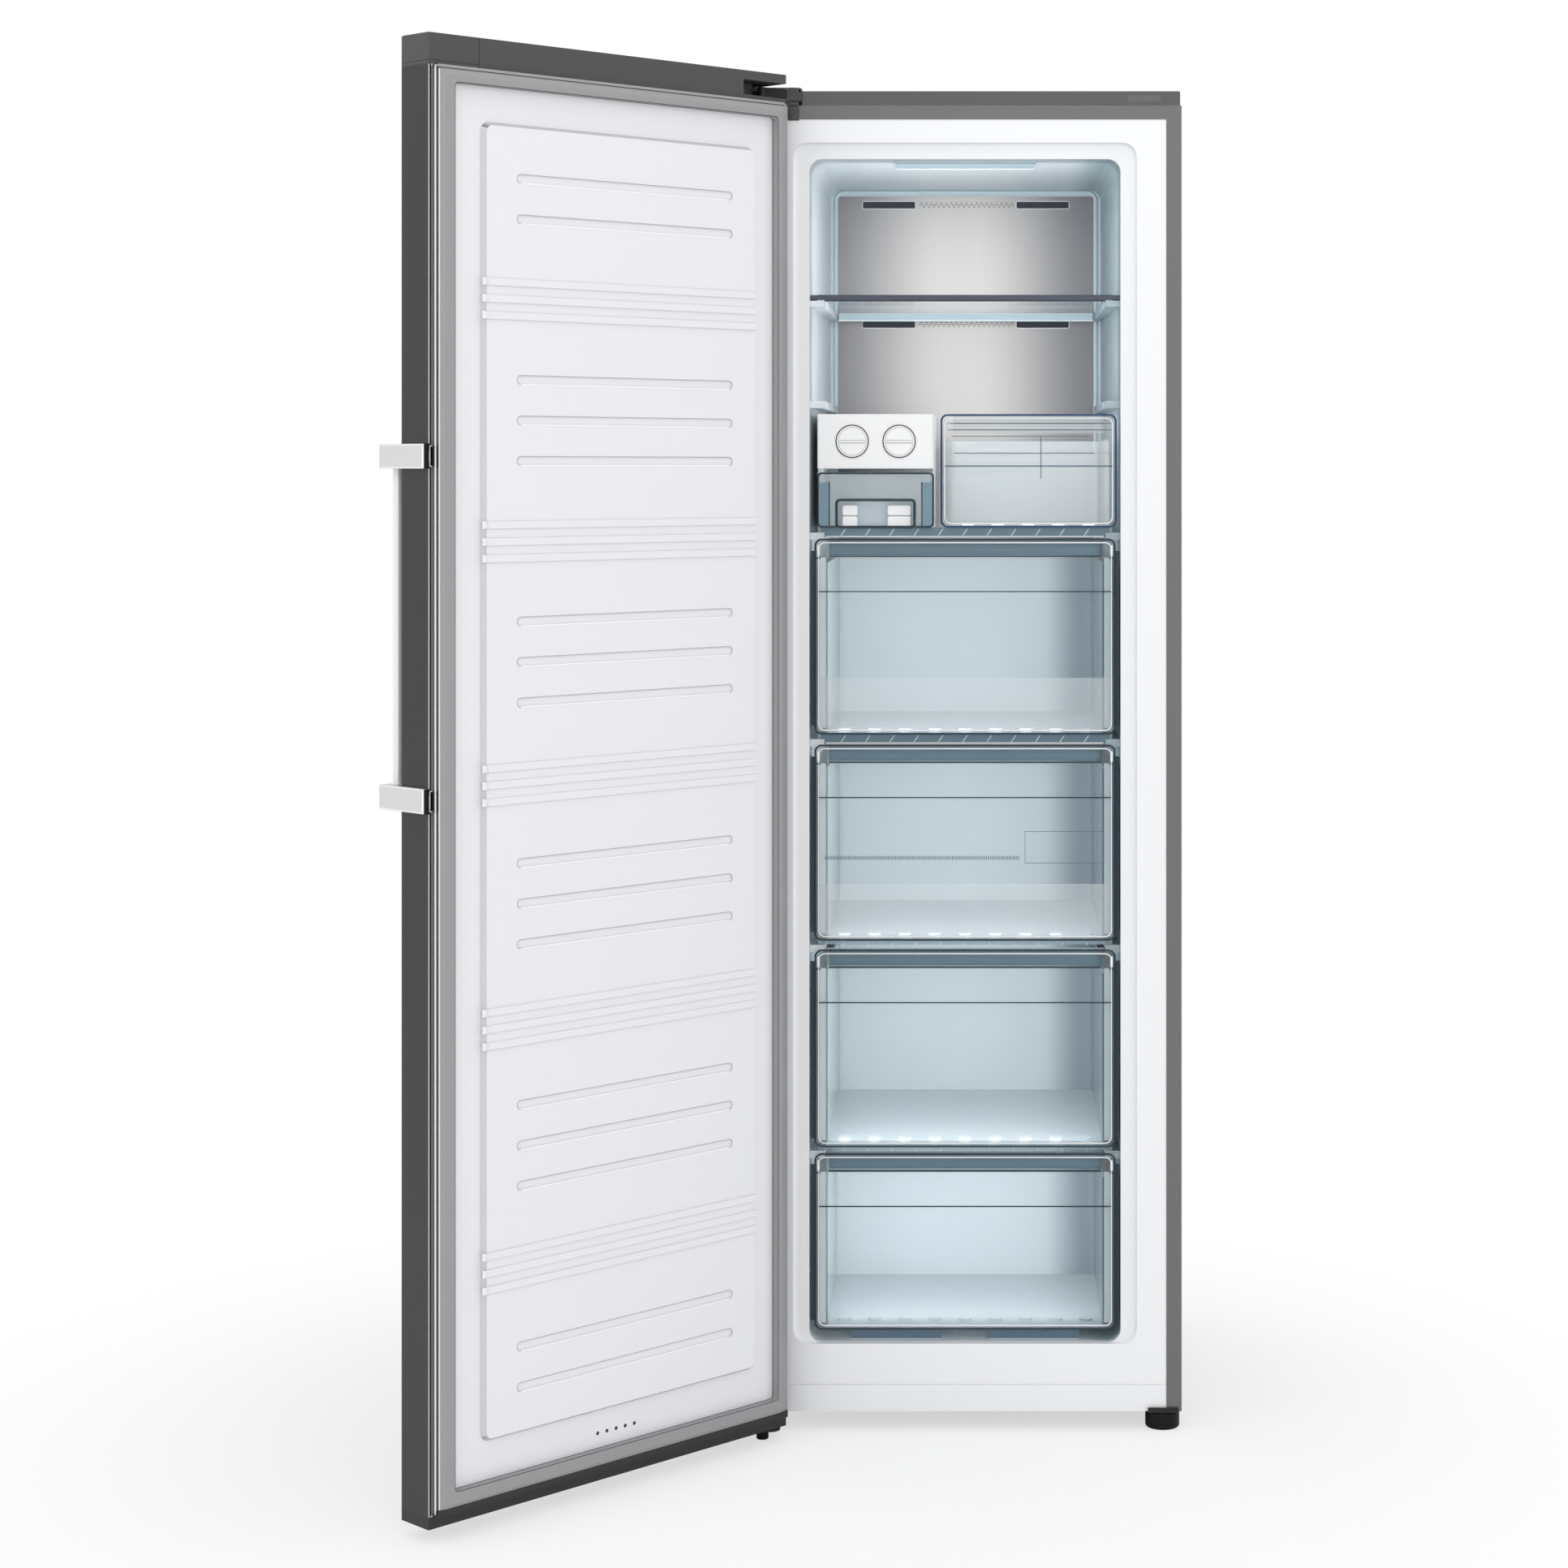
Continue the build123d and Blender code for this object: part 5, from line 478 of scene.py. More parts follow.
class FREEZER_OT_cabinet(bpy.types.Operator):
    """Give the cabinet's outer panels, covers, feet and hinges their finishes"""

    bl_idname = "freezer.cabinet"
    bl_label = "Finish Cabinet"

    def execute(self, context):
        c = colours()
        # Satin powder coat on steel sheet: even grey with a faint orange-peel ripple
        coat = surface("powder_coated_steel", c.side_paint, 0.42, 0.002,
                       tint=0.02, bump=0.00003)
        finish(coat, "left_side_panel", "right_side_panel", "top_panel", "compartment_cover")
        # Moulded ABS with a fine spark-eroded grain: matt, evenly grey
        cover = surface("moulded_abs_grey", c.top_trim, 0.48, 0.0012,
                        tint=0.03, bump=0.00003)
        finish(cover, "top_cover", "hinge_cover")
        # The cover's rounded nose over the hinge: the same plastic, black and glossy
        nose = surface("moulded_abs_nose", "#1c1c1d", 0.25)
        low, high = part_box("hinge_cover")
        cap = slabs([((high[0] - NOSE_WIDTH, low[1] - NOSE_PROUD, low[2]),
                      (high[0], low[1] + NOSE_DEPTH, high[2] - NOSE_DROP))], NOSE_ROUNDING)
        piece("hinge_cover_nose", cap, nose, "cabinet")
        # The hinge's leaf lies against the cabinet's front; its black also stands in as painted shade
        # of the gap between door and cabinet
        leaf = slabs([((high[0] - LEAF_ENDS[0], low[1] + LEAF_DEPTHS[0], low[2] - LEAF_HEIGHT),
                       (high[0] - LEAF_ENDS[1], low[1] + LEAF_DEPTHS[1], low[2]))], HAIR)
        piece("upper_hinge_leaf_shade", leaf, nose, "cabinet")
        # Smoked polycarbonate: dark, smooth and glossy
        smoked = surface("smoked_polycarbonate", "#4a4b4c", 0.12, 0.03,
                         tint=0.02)
        finish(smoked, "control_window")
        # Hot-dip galvanised sheet: pale grey with soft blotches of spangle
        zinc = surface("galvanised_sheet", "#9b9ea1", 0.42, 0.018,
                       tint=0.1, spread=0.1, constants={"Metallic": 0.85})
        finish(zinc, "rear_panel", "roller_axles")
        # Phosphated steel: dark grey, dry and slightly mottled
        phosphated = surface("phosphated_steel", "#1d1e1f", 0.5, 0.006,
                             tint=0.12, constants={"Metallic": 0.3})
        finish(phosphated, "upper_hinge_bracket", "lower_hinge_bracket", "hinge_pins",
               "base_plate")
        # Zinc plated screws: bright and slightly streaked
        plated = surface("zinc_plated_steel", "#a9acae", 0.3, 0.003,
                         tint=0.08, constants={"Metallic": 0.9})
        finish(plated, "screws", "handle_screws")
        # Black polypropylene: nearly black, soft shine, fine moulded grain
        black = surface("moulded_polypropylene_black", "#050506", 0.5,
                        0.0015, tint=0.15, bump=0.00004,
                        constants={"Specular IOR Level": 0.25})
        finish(black, "front_foot", "hinge_foot", "left_roller", "right_roller", "cord_gland",
               "evaporation_tray", "drain_hose", "handle_mounts")
        return {"FINISHED"}


# Where the cavity's painted cool light sets in behind its mouth, and where its painted shade, on the
# side away from the light, sets in beside the drawers
PAINTED_LIGHT_DEPTHS, PAINTED_SHADE_SIDES = (0.006, 0.03), (0.06, 0.005)
# Painted shade on the faces of the floor pads: middles, half width, depths, and drops below the
# lowest drawer
PAD_MIDDLES, PAD_HALF = (0.1802, 0.3708), 0.0625
PAD_DEPTHS, PAD_DROPS = (0.0624, 0.0636), (0.0146, 0.0004)


class FREEZER_OT_liner(bpy.types.Operator):
    """Give the liners, the plinth and the foam their finishes"""

    bl_idname = "freezer.liner"
    bl_label = "Finish Liners"

    def execute(self, context):
        c = colours()
        mouth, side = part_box("inner_liner")[0][1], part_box("drawer_shelves")[1][0]
        # Vacuum-formed high-impact polystyrene: smooth and softly glossy; deep in the cavity its
        # walls take a painted cool light, and a painted shade on the side away from the light
        liner = surface("vacuum_formed_polystyrene", c.liner, 0.36, 0.2,
                        tint=0.004, spread=0.01,
                        zone=((c.cavity, "Y", mouth + PAINTED_LIGHT_DEPTHS[0], mouth + PAINTED_LIGHT_DEPTHS[1]),
                              (c.cavity_shade, "X", side - PAINTED_SHADE_SIDES[0],
                               side - PAINTED_SHADE_SIDES[1])))
        finish(liner, "inner_liner")
        # Painted shade: slate-blue sheets over the floor pads, where the liner lies in the shade
        # under the lowest drawer
        shaded = surface("shaded_floor_pad", "#5f788b", 0.4, (0.02, 0.02, 0.005),
                         tint=0.12)
        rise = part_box("drawer_4")[0][2]
        pads = slabs([((x - PAD_HALF, PAD_DEPTHS[0], rise - PAD_DROPS[0]),
                       (x + PAD_HALF, PAD_DEPTHS[1], rise - PAD_DROPS[1]))
                      for x in PAD_MIDDLES], ROUND)
        piece("floor_pad_painted_shade", pads, shaded, "cabinet")
        flange = surface("vacuum_formed_polystyrene_flange", c.liner, 0.3, 0.2,
                         tint=0.004, spread=0.01)
        finish(flange, "plinth_panel")
        # The door's liner is the same sheet with a finer haze
        door = surface("vacuum_formed_polystyrene_door", c.door_liner, 0.33,
                       0.004, tint=0.008, bump=0.00001)
        finish(door, "door_liner")
        # Rigid polyurethane foam: pale yellow, open-pored and dull
        foam = surface("rigid_polyurethane_foam", "#d9cb9c", 0.9, 0.002,
                       tint=0.08, bump=0.0002)
        finish(foam, "foam_insulation", "door_foam")
        return {"FINISHED"}


# Upright lines on the ribs of the seal's free side, painted highlight on the crests and painted shade
# in the grooves: name, whether it is a bright crest, and its place inside the skin's edge, its rise
# above the skin and its half thickness
SEAL_RIBS = (("seal_foot_groove_shade", False, 0.0023, 0.0006, 0.0008),
             ("seal_wall_groove_shade", False, 0.0033, 0.0052, 0.0007),
             ("seal_outer_rib_highlight", True, 0.0050, 0.0073, 0.0007),
             ("seal_shoulder_groove_shade", False, 0.0072, 0.0081, 0.0007),
             ("seal_shoulder_rib_highlight", True, 0.0095, 0.0090, 0.0007))
SEAL_MITRE = 0.003
# Painted shade in the level grooves along the seal's top: drop and rise of each, ends, half depth and
# half height
SEAL_TOPS, SEAL_TOP_ENDS = ((0.0008, 0.0062), (0.0042, 0.0084)), (0.006, 0.005)
SEAL_TOP_HALF = (0.0005, 0.0004)
# Seal's inner opening: how far inside its outer edge to look, its corner, the shade at its foot
SEAL_LIP, SEAL_CORNER, SEAL_FOOT = 0.016, 0.005, 0.0012
# Painted highlight on the folded steel edge: width, depths from the skin's inner face, and what it
# stops short of the ends
FOLD_WIDTH, FOLD_DEPTHS, FOLD_PROUD, FOLD_END = 0.0014, (0.0004, 0.0003), 0.00005, 0.001
# Lip of the lower cap: ends, depths and heights, from the seal's lower edge
LIP_ENDS, LIP_DEPTHS = (0.002, 0.0052), (0.001, 0.0012)
LIP_HEIGHTS, LIP_BEVEL = (0.0003, 0.0088), 0.0005
# Ridges of the door's liner: thickness and sink of the painted shade lines along their edges, sloped
# end, and the glint on it
RIDGE_LINE, RIDGE_SINK, RIDGE_LINE_END = 0.0009, 0.0005, 0.006
RIDGE_END, RIDGE_END_SINK, RIDGE_END_INSET = (0.001, 0.0068), 0.0012, 0.0002
RIDGE_GLINT, RIDGE_GLINT_INSET = (0.0052, 0.0069), 0.0004
GROOVE_GLINT = (0.0009, 0.0006)
HOLE_DEPTH, HOLE_CORNERS = 0.002, 16
SLOPE_LIFT, SLOPE_MERGE = 0.00008, 0.00001
# Painted highlight lines on the border of a bracket's plate: height, inset, sink and rise of its
# lines, width of its inner end
BORDER_HEIGHT, BORDER_INSET, BORDER_SINK, BORDER_RISE = 0.0013, 0.0006, 0.0005, 0.00006
BORDER_END, BORDER_MARGIN = (0.0042, 0.0004), (0.001, 0.0012)
# Slotted clip: its two sides inside the door's edge, half height, proud of the skin, bar sizes
CLIP_SIDES, CLIP_TALL, CLIP_PROUD = (0.0078, 0.0004), 0.0125, 0.002
CLIP_BAR, CLIP_BAR_END, CLIP_RISE = 0.0008, 0.0009, 0.0003
# Painted highlight in a clip's slot: its sides from the slot's middle, and its half height
CLIP_LIGHT, CLIP_LIGHT_TALL = (0.0022, 0.0002), 0.0095
BRACKET_GAP = 0.05


class FREEZER_OT_door(bpy.types.Operator):
    """Give the door's skin, caps, gasket, liner relief and handle their finishes and lines"""

    bl_idname = "freezer.door"
    bl_label = "Finish Door"

    def execute(self, context):
        c, s = colours(), sizes()
        # Graphite coated stainless steel, brushed level: grain of about 0.4 mm, drawn twice
        # as coarse so that it shows as fine streaks across the door
        skin = surface("brushed_graphite_steel", c.door_steel, 0.4, (0.09, 0.09, 0.0009),
                       tint=0.1, spread=0.08, bump=0.00002, constants={"Metallic": 0.35})
        finish(skin, "door_skin")
        # Moulded ABS caps: matt grey with a fine grain
        cap = surface("moulded_abs_cap", c.door_cap, 0.45, 0.0012, tint=0.04,
                      bump=0.00003)
        finish(cap, "door_top_cap")
        lower = surface("moulded_abs_lower_cap", c.lower_cap, 0.45, 0.0012,
                        tint=0.04, bump=0.00003)
        finish(lower, "door_bottom_cap")
        # Extruded soft PVC: grey, rubbery, with slight streaks along its length
        seal = surface("extruded_soft_pvc", c.seal, 0.5, (0.004, 0.004, 0.05), tint=0.04)
        finish(seal, "door_gasket")
        # Acetal bushes: milky white and waxy
        acetal = surface("turned_acetal", "#e9e9e4", 0.35, 0.004)
        finish(acetal, "hinge_bushes")
        # Polished stainless steel: bright with a soft satin line along its length
        polished = surface("polished_stainless_steel", c.handle, 0.3, (0.0008, 0.0008, 0.05),
                           tint=0.04, spread=0.06, constants={"Metallic": 0.15})
        finish(polished, "handle_brackets")
        # The bar is satin ground along its length: paler and duller than the brackets
        satin = surface("satin_stainless_bar", c.bar, 0.4, (0.0008, 0.0008, 0.05), tint=0.04,
                        spread=0.06)
        finish(satin, "handle_bar")
        self.seal_lines(s)
        self.field_lines(s)
        self.handle_details()
        return {"FINISHED"}

    def seal_lines(self, s):
        """Lines of painted highlight and painted shade along the seal's ribbed shoulder and round its
        inner edge.
        """
        low, high = extent(closed("door_gasket"))
        skin = extent(closed("door_skin"))
        edge, inner = skin[1].x, skin[1].y
        # The ribs of the extrusion: painted highlights on the crests and painted shade in the grooves
        # of the free side
        pale = surface("soft_pvc_painted_highlight", "#eeeeef", 0.4)
        dark = surface("soft_pvc_painted_shade", "#161617", 0.6)
        for name, bright, inset, rise, half in SEAL_RIBS:
            bar = ((edge - inset - half, inner + rise - half, low.z + inset),
                   (edge - inset + half, inner + rise + half,
                    high.z - max(0.0, inset - SEAL_MITRE)))
            on_door(name, [slabs([bar])], pale if bright else dark)
        # Along the top only the grooves' painted shade shows
        deep, tall = SEAL_TOP_HALF
        tops = [((low.x + SEAL_TOP_ENDS[0], inner + rise - deep, high.z - drop - tall),
                 (edge - SEAL_TOP_ENDS[1], inner + rise + deep, high.z - drop + tall))
                for drop, rise in SEAL_TOPS]
        on_door("seal_top_groove_shades", [slabs(tops)], dark)
        rim = extent([p for p in at_depth(closed("door_gasket"), high.y)
                      if low.x + SEAL_LIP < p.x < high.x - SEAL_LIP
                      and low.z + SEAL_LIP < p.z < high.z - SEAL_LIP])
        middle = (rim[0] + rim[1]) / 2
        for name, place in (("seal_inner_shadow", high.y - EASED),
                            ("seal_foot_shadow", low.y + SEAL_FOOT)):
            line = ring(bead_frame(name, dark), Vector((middle.x, place, middle.z)),
                        rim[1].x - rim[0].x, rim[1].z - rim[0].z, SEAL_CORNER, s.seal_bead)
            on_door(name, [line], dark)
        # Folded edge of the steel skin: a bright line of painted highlight where the coating turns
        fold = surface("folded_steel_edge_highlight", "#d2d3d4", 0.35)
        strip = ((edge - FOLD_WIDTH, inner - FOLD_DEPTHS[0], skin[0].z + FOLD_END),
                 (edge + FOLD_PROUD, inner + FOLD_DEPTHS[1], skin[1].z - FOLD_END))
        on_door("skin_fold_highlight", [slabs([strip], HAIR)], fold)
        # The lower cap's lip stands in front of the seal's lower shoulder
        lip = ((low.x + LIP_ENDS[0], inner + LIP_DEPTHS[0], low.z - LIP_HEIGHTS[0]),
               (edge - LIP_ENDS[1], high.y - LIP_DEPTHS[1], low.z + LIP_HEIGHTS[1]))
        on_door("bottom_cap_lip", [slabs([lip], LIP_BEVEL)],
                NODES["door_bottom_cap"].material_slots[0].material)

    def field_lines(self, s):
        """Painted shades and painted highlights of the liner's raised field: slopes, ridges, grooves,
        holes.
        """
        points = closed("door_liner")
        top = extent(points)[1].y
        crown = top - s.relief
        face = crown - s.field_height
        # Painted shade on the field's slopes: the side slopes lighter, those that face up or down
        # darker
        side = surface("formed_slope_side_shade", "#dcdce0", 0.4)
        level = surface("formed_slope_level_shade", "#c3c3c8", 0.4)
        # Painted shade: grey lines along the ridges' edges and a darker rim round each groove
        line = surface("formed_relief_shade_line", "#cdcdd2", 0.4)
        rim = surface("formed_groove_shade_rim", "#b9b9bf", 0.4)
        bright = surface("formed_relief_glint", "#ffffff", 0.3)
        hole = surface("breather_hole_shade", "#3a3b3e", 0.7)
        self.slopes("field_side_slope_shade", side, crown, face, lambda normal: normal.x > 0.5)
        self.slopes("field_level_slope_shades", level, crown, face, lambda normal: abs(normal.z) > 0.5)
        lines, ends, glints = [], [], []
        # Each ridge shows as two groups of points, along its lower and its upper edge
        edges = groups(at_depth(points, top), 2, JOINED)
        for low, high in [(lower[0], upper[1]) for lower, upper in zip(edges[::2], edges[1::2])]:
            for z in (low.z, high.z - RIDGE_LINE):
                lines.append(((low.x, top - RIDGE_SINK, z),
                              (high.x + RIDGE_LINE_END, top + HAIR, z + RIDGE_LINE)))
            ends.append(((high.x - RIDGE_END[0], top - RIDGE_END_SINK, low.z + RIDGE_END_INSET),
                         (high.x + RIDGE_END[1], top, high.z - RIDGE_END_INSET)))
            glints.append(((high.x + RIDGE_GLINT[0], top - RIDGE_END_SINK,
                            low.z + RIDGE_GLINT_INSET),
                           (high.x + RIDGE_GLINT[1], top + HAIR, high.z - RIDGE_GLINT_INSET)))
        grooves = groups(at_depth(points, crown - s.relief), 2, JOINED)
        for low, high in grooves:
            half = (high.z - low.z) / 2
            glints.append(((low.x + half, crown - EASED, low.z - GROOVE_GLINT[0]),
                           (high.x - half, crown + RIDGE_SINK, low.z + GROOVE_GLINT[1])))
        on_door("liner_ridge_shade_lines", [slabs(lines)], line)
        on_door("liner_ridge_ends", [slabs(ends)],
                NODES["door_liner"].material_slots[0].material)
        on_door("liner_relief_glints", [slabs(glints, HAIR)], bright)
        tree = bead_frame("liner_groove_shade_rims", rim)
        rims = [ring(tree, Vector(((low.x + high.x) / 2, crown, (low.z + high.z) / 2)),
                     high.x - low.x, high.z - low.z, (high.z - low.z) / 2 - HAIR, s.relief_line)
                for low, high in grooves]
        on_door("liner_groove_shade_rims", rims, rim)
        discs = row("liner_hole_shades", hole, HOLE_CORNERS)
        shades = [grown(discs, {"Centre": Vector(((low.x + high.x) / 2, face - HAIR,
                                                  (low.z + high.z) / 2)),
                                "Columns": 1, "Spread": 0.0, "Thickness": ROUND,
                                "Radius": (high.x - low.x) / 2 - HAIR})
                  for low, high in groups(at_depth(points, face - HOLE_DEPTH), 0, JOINED)]
        on_door("liner_hole_shades", shades, hole)

    def slopes(self, name, material, crown, face, chosen):
        """Thin skin of painted shade over the field's slopes that face one way, laid just above the
        liner.
        """
        source = NODES["door_liner"].data
        back = door_turn().inverted()
        work = bmesh.new()
        for polygon in source.polygons:
            normal = back.to_3x3() @ polygon.normal
            middle = back @ polygon.center
            if face < middle.y < crown and 0.2 < normal.y < 0.9 and chosen(normal):
                lifted = [source.vertices[i].co + polygon.normal * SLOPE_LIFT
                          for i in polygon.vertices]
                work.faces.new([work.verts.new(place) for place in lifted])
        bmesh.ops.remove_doubles(work, verts=work.verts, dist=SLOPE_MERGE)
        mesh = bpy.data.meshes.new(name)
        work.to_mesh(mesh)
        work.free()
        piece(name, mesh, material, "door")

    def handle_details(self):
        """Painted highlights along the bracket plates' rounded borders, the slotted clips' metal
        frames, and a painted highlight in each clip's slot.
        """
        # Painted highlights: white lines where rounded edges of polished steel throw the studio light
        # back
        glint = surface("polished_steel_edge_highlight", "#ffffff", 0.2)
        # Nickel plated spring steel: mid grey; a white strip of painted highlight runs down its slot
        clip = surface("nickel_plated_clip", "#d4d5d7", 0.3, (0.004, 0.004, 0.02))
        slit = surface("nickel_plated_clip_highlight", "#ffffff", 0.3)
        edge = extent(closed("door_skin"))[1]
        borders, frames, lights = [], [], []
        near, far = (edge.x - place for place in CLIP_SIDES)
        proud = edge.y + CLIP_PROUD
        slot = (near + far) / 2
        for low, high in groups(closed("handle_brackets"), 2, BRACKET_GAP):
            face, end = high.x, high.y
            sunk, risen = face - BORDER_SINK, face + BORDER_RISE
            along, across = BORDER_MARGIN
            for bottom in (low.z + BORDER_INSET, high.z - BORDER_INSET - BORDER_HEIGHT):
                borders.append(((sunk, low.y + along, bottom),
                                (risen, end - along, bottom + BORDER_HEIGHT)))
            borders.append(((sunk, end - BORDER_END[0], low.z + across),
                            (risen, end - BORDER_END[1], high.z - across)))
            middle = (low.z + high.z) / 2
            frames += [((x - CLIP_BAR, proud - CLIP_BAR, middle - CLIP_TALL),
                        (x + CLIP_BAR, proud + CLIP_RISE, middle + CLIP_TALL))
                       for x in (near, far)]
            frames += [((near, proud - CLIP_BAR, middle + z - CLIP_BAR_END),
                        (far, proud + CLIP_RISE, middle + z + CLIP_BAR_END))
                       for z in (-CLIP_TALL, CLIP_TALL)]
            lights.append(((slot - CLIP_LIGHT[0], proud - CLIP_BAR, middle - CLIP_LIGHT_TALL),
                           (slot - CLIP_LIGHT[1], proud + EASED, middle + CLIP_LIGHT_TALL)))
        on_door("handle_bracket_border_highlights", [slabs(borders)], glint)
        on_door("handle_clip_frames", [slabs(frames, SOFT)], clip)
        on_door("handle_clip_highlights", [slabs(lights, SOFT)], slit)


# Air outlets: their heights, how far from the plate's middle, and half width and height
OUTLETS, OUTLET_SIDE, OUTLET_HALF = (1.7186, 1.5381), 0.1163, (0.0392, 0.0048)
OUTLET_DEPTHS = (0.0004, 0.0009)
# Painted highlight round each outlet's lip: width, height, corner and bead
OUTLET_LIP = {"width": 0.0802, "height": 0.0112, "corner": 0.0028, "bead": 0.0006}
# Perforations, drawn in painted shade: holes, step and lift of each row in hole pitches, and their
# shift to the side
HOLE_ROWS = ((38, 1, 0.0), (19, 2, 0.85), (18, 2, -0.85))
HOLE_SHIFT, PERFORATION_CORNERS = 0.0012, 10
# Return slots, drawn in painted shade: place from the plate's middle, lowest height, rise of the
# next, size, count
RETURN_SIDE, RETURN_HEIGHT, RETURN_RISE, RETURN_COUNT = 0.0488, 1.3155, 0.0132, 4
RETURN_SIZE = (0.0708, 0.0074, 0.0005)
# Carrier round the plate: radius of its edge, corner, and the flange's depths
SURROUND_BEAD, SURROUND_CORNER, SURROUND_TALL = 0.0035, 0.012, 2.4
SURROUND_DEPTH, FLANGE_DEPTHS = 0.001, (0.0007, 0.0017)
# Painted sheen: place of its bright middle beside the plate's, and the half width that stays bright
SHEEN_SHIFT, SHEEN_HALF = 0.012, 0.02


class FREEZER_OT_back_panel(bpy.types.Operator):
    """Give the evaporator panel its brushed face and add the rows of small holes"""

    bl_idname = "freezer.back_panel"
    bl_label = "Finish Back Panel"

    def execute(self, context):
        c, s = colours(), sizes()
        # Brushed stainless sheet, brushed upright: soft vertical streaks and a broad painted sheen
        face = surface("brushed_stainless_sheet", c.panel, 0.38, (0.0009, 0.5, 0.12), tint=0.07,
                       spread=0.06, bump=0.00001, constants={"Metallic": 0.6})
        self.painted_sheen(face)
        finish(face, "cover_plate")
        # Injection moulded polystyrene behind it: white, matt
        carrier = surface("moulded_polystyrene_white", "#dde3e6", 0.45,
                          0.01)
        finish(carrier, "evaporator_cover", "fan_blade")
        # The holes are punched: each is drawn as a small dark round of painted shade
        shadow = surface("punched_hole_shade", "#26292c", 0.7)
        low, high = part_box("cover_plate")
        middle = (low[0] + high[0]) / 2
        tree = row("vent_perforation_shades", shadow, PERFORATION_CORNERS)
        # A close middle row, and rows of every second hole above and below it
        holes = [grown(tree, {
            "Centre": (middle + HOLE_SHIFT, low[1] - HAIR, height + lift * s.hole_pitch),
            "Columns": columns, "Spread": step * s.hole_pitch * (columns - 1),
            "Radius": s.hole_radius, "Thickness": EASED})
            for height in OUTLETS for columns, step, lift in HOLE_ROWS]
        piece("vent_perforation_shades", combined(holes), shadow, "cabinet")
        # Air outlets: the duct behind each slot lies in deep shade, and a pale line of painted
        # highlight runs round its lip
        duct = surface("shaded_air_duct", "#3a3c44", 0.7, (0.02, 0.02, 0.004), tint=0.2)
        lip = surface("pressed_slot_lip_highlight", "#eef1f3", 0.35)
        places = [(x, z) for x in (middle - OUTLET_SIDE, middle + OUTLET_SIDE) for z in OUTLETS]
        wide, tall = OUTLET_HALF
        slots = [((x - wide, low[1] + OUTLET_DEPTHS[0], z - tall),
                  (x + wide, low[1] + OUTLET_DEPTHS[1], z + tall)) for x, z in places]
        piece("air_outlet_shade", slabs(slots), duct, "cabinet")
        tree = bead_frame("air_outlet_lip_highlights", lip)
        lips = [ring(tree, (x, low[1] - HAIR, z), **OUTLET_LIP) for x, z in places]
        piece("air_outlet_lip_highlights", combined(lips), lip, "cabinet")
        # Return slots low on the plate, seen through the upper drawer, drawn as dark stadiums of
        # painted shade
        grey = surface("shaded_return_slot", "#30363b", 0.6, (0.02, 0.02, 0.004))
        slots = [stadium((middle + RETURN_SIDE, low[1] - ROUND, RETURN_HEIGHT + RETURN_RISE * i),
                         *RETURN_SIZE) for i in range(RETURN_COUNT)]
        piece("return_slot_shades", hulls(slots), grey, "cabinet")
        # The moulded carrier shows as a pale rounded edge all round the metal face, tinted blue-grey
        # by the cavity's painted cool light
        surround = surface("moulded_polystyrene_surround", "#c9d7de", 0.35, 0.02)
        edge = ring(bead_frame("panel_surround", surround),
                    (middle, low[1] + SURROUND_DEPTH, (low[2] + high[2]) / 2 + SURROUND_BEAD / 2),
                    high[0] - low[0] + SURROUND_BEAD,
                    high[2] - low[2] + SURROUND_TALL * SURROUND_BEAD, SURROUND_CORNER,
                    SURROUND_BEAD)
        piece("panel_surround", combined([edge]), surround, "cabinet")
        # A flat flange joins the carrier to the walls of the cavity; its blue-grey is the cavity's
        # painted cool light
        near, far = (low[1] + depth for depth in FLANGE_DEPTHS)
        reach, top = s.flange_reach, high[2] + s.flange_reach / 2
        sides = [((low[0] - reach, near, low[2]), (low[0], far, top)),
                 ((high[0], near, low[2]), (high[0] + reach, far, top)),
                 ((low[0], near, high[2]), (high[0], far, top))]
        flange = surface("moulded_polystyrene_flange", "#c4d2d9", 0.4, 0.2)
        piece("panel_flange", slabs(sides), flange, "cabinet")
        return {"FINISHED"}

    def painted_sheen(self, material):
        """The upright brushing's broad painted sheen: bright in the middle, painted dim towards the
        sides.
        """
        tree = material.node_tree
        shader = next(n for n in tree.nodes if n.type == "BSDF_PRINCIPLED")
        painted = shader.inputs["Base Color"].links[0].from_socket
        low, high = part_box("cover_plate")
        place = add(tree, "ShaderNodeTexCoord").outputs["Object"]
        split = add(tree, "ShaderNodeSeparateXYZ", None, {"Vector": place})
        middle = (low[0] + high[0]) / 2 - SHEEN_SHIFT
        offset = add(tree, "ShaderNodeMath", {"operation": "SUBTRACT", 1: middle},
                     {0: split.outputs["X"]})
        away = add(tree, "ShaderNodeMath", {"operation": "ABSOLUTE"}, {0: offset.outputs["Value"]})
        share = add(tree, "ShaderNodeMapRange",
                    {"From Min": SHEEN_HALF, "From Max": (high[0] - low[0]) / 2, "To Max": 0.85,
                     "interpolation_type": "SMOOTHSTEP"}, {"Value": away.outputs["Value"]})
        toned = add(tree, "ShaderNodeMix", {"data_type": "RGBA", 7: shade("#77777d")},
                    {0: share.outputs["Result"], 6: painted})
        tree.links.new(toned.outputs[2], shader.inputs["Base Color"])


# A drawer's front, from its outer corners, face and top: thickness, place of its face lines,
# corner of its outline, and the inset and thickness, in outline beads, of its inner line of painted
# highlight
FRONT_WALL, FACE_SINK, FRONT_CORNER, INNER_HIGHLIGHT = 0.0045, 0.0012, 0.0085, (4.4, 0.7)
SHELF_WALL = 0.012
# Moulded line: end, depths and half height; its drop on the large drawers and the upper one
MOULDED_END, MOULDED_DEPTHS, MOULDED_HALF = 0.006, (0.0002, 0.0008), 0.0007
LARGE_DROP, UPPER_DROP = 0.073, 0.0716
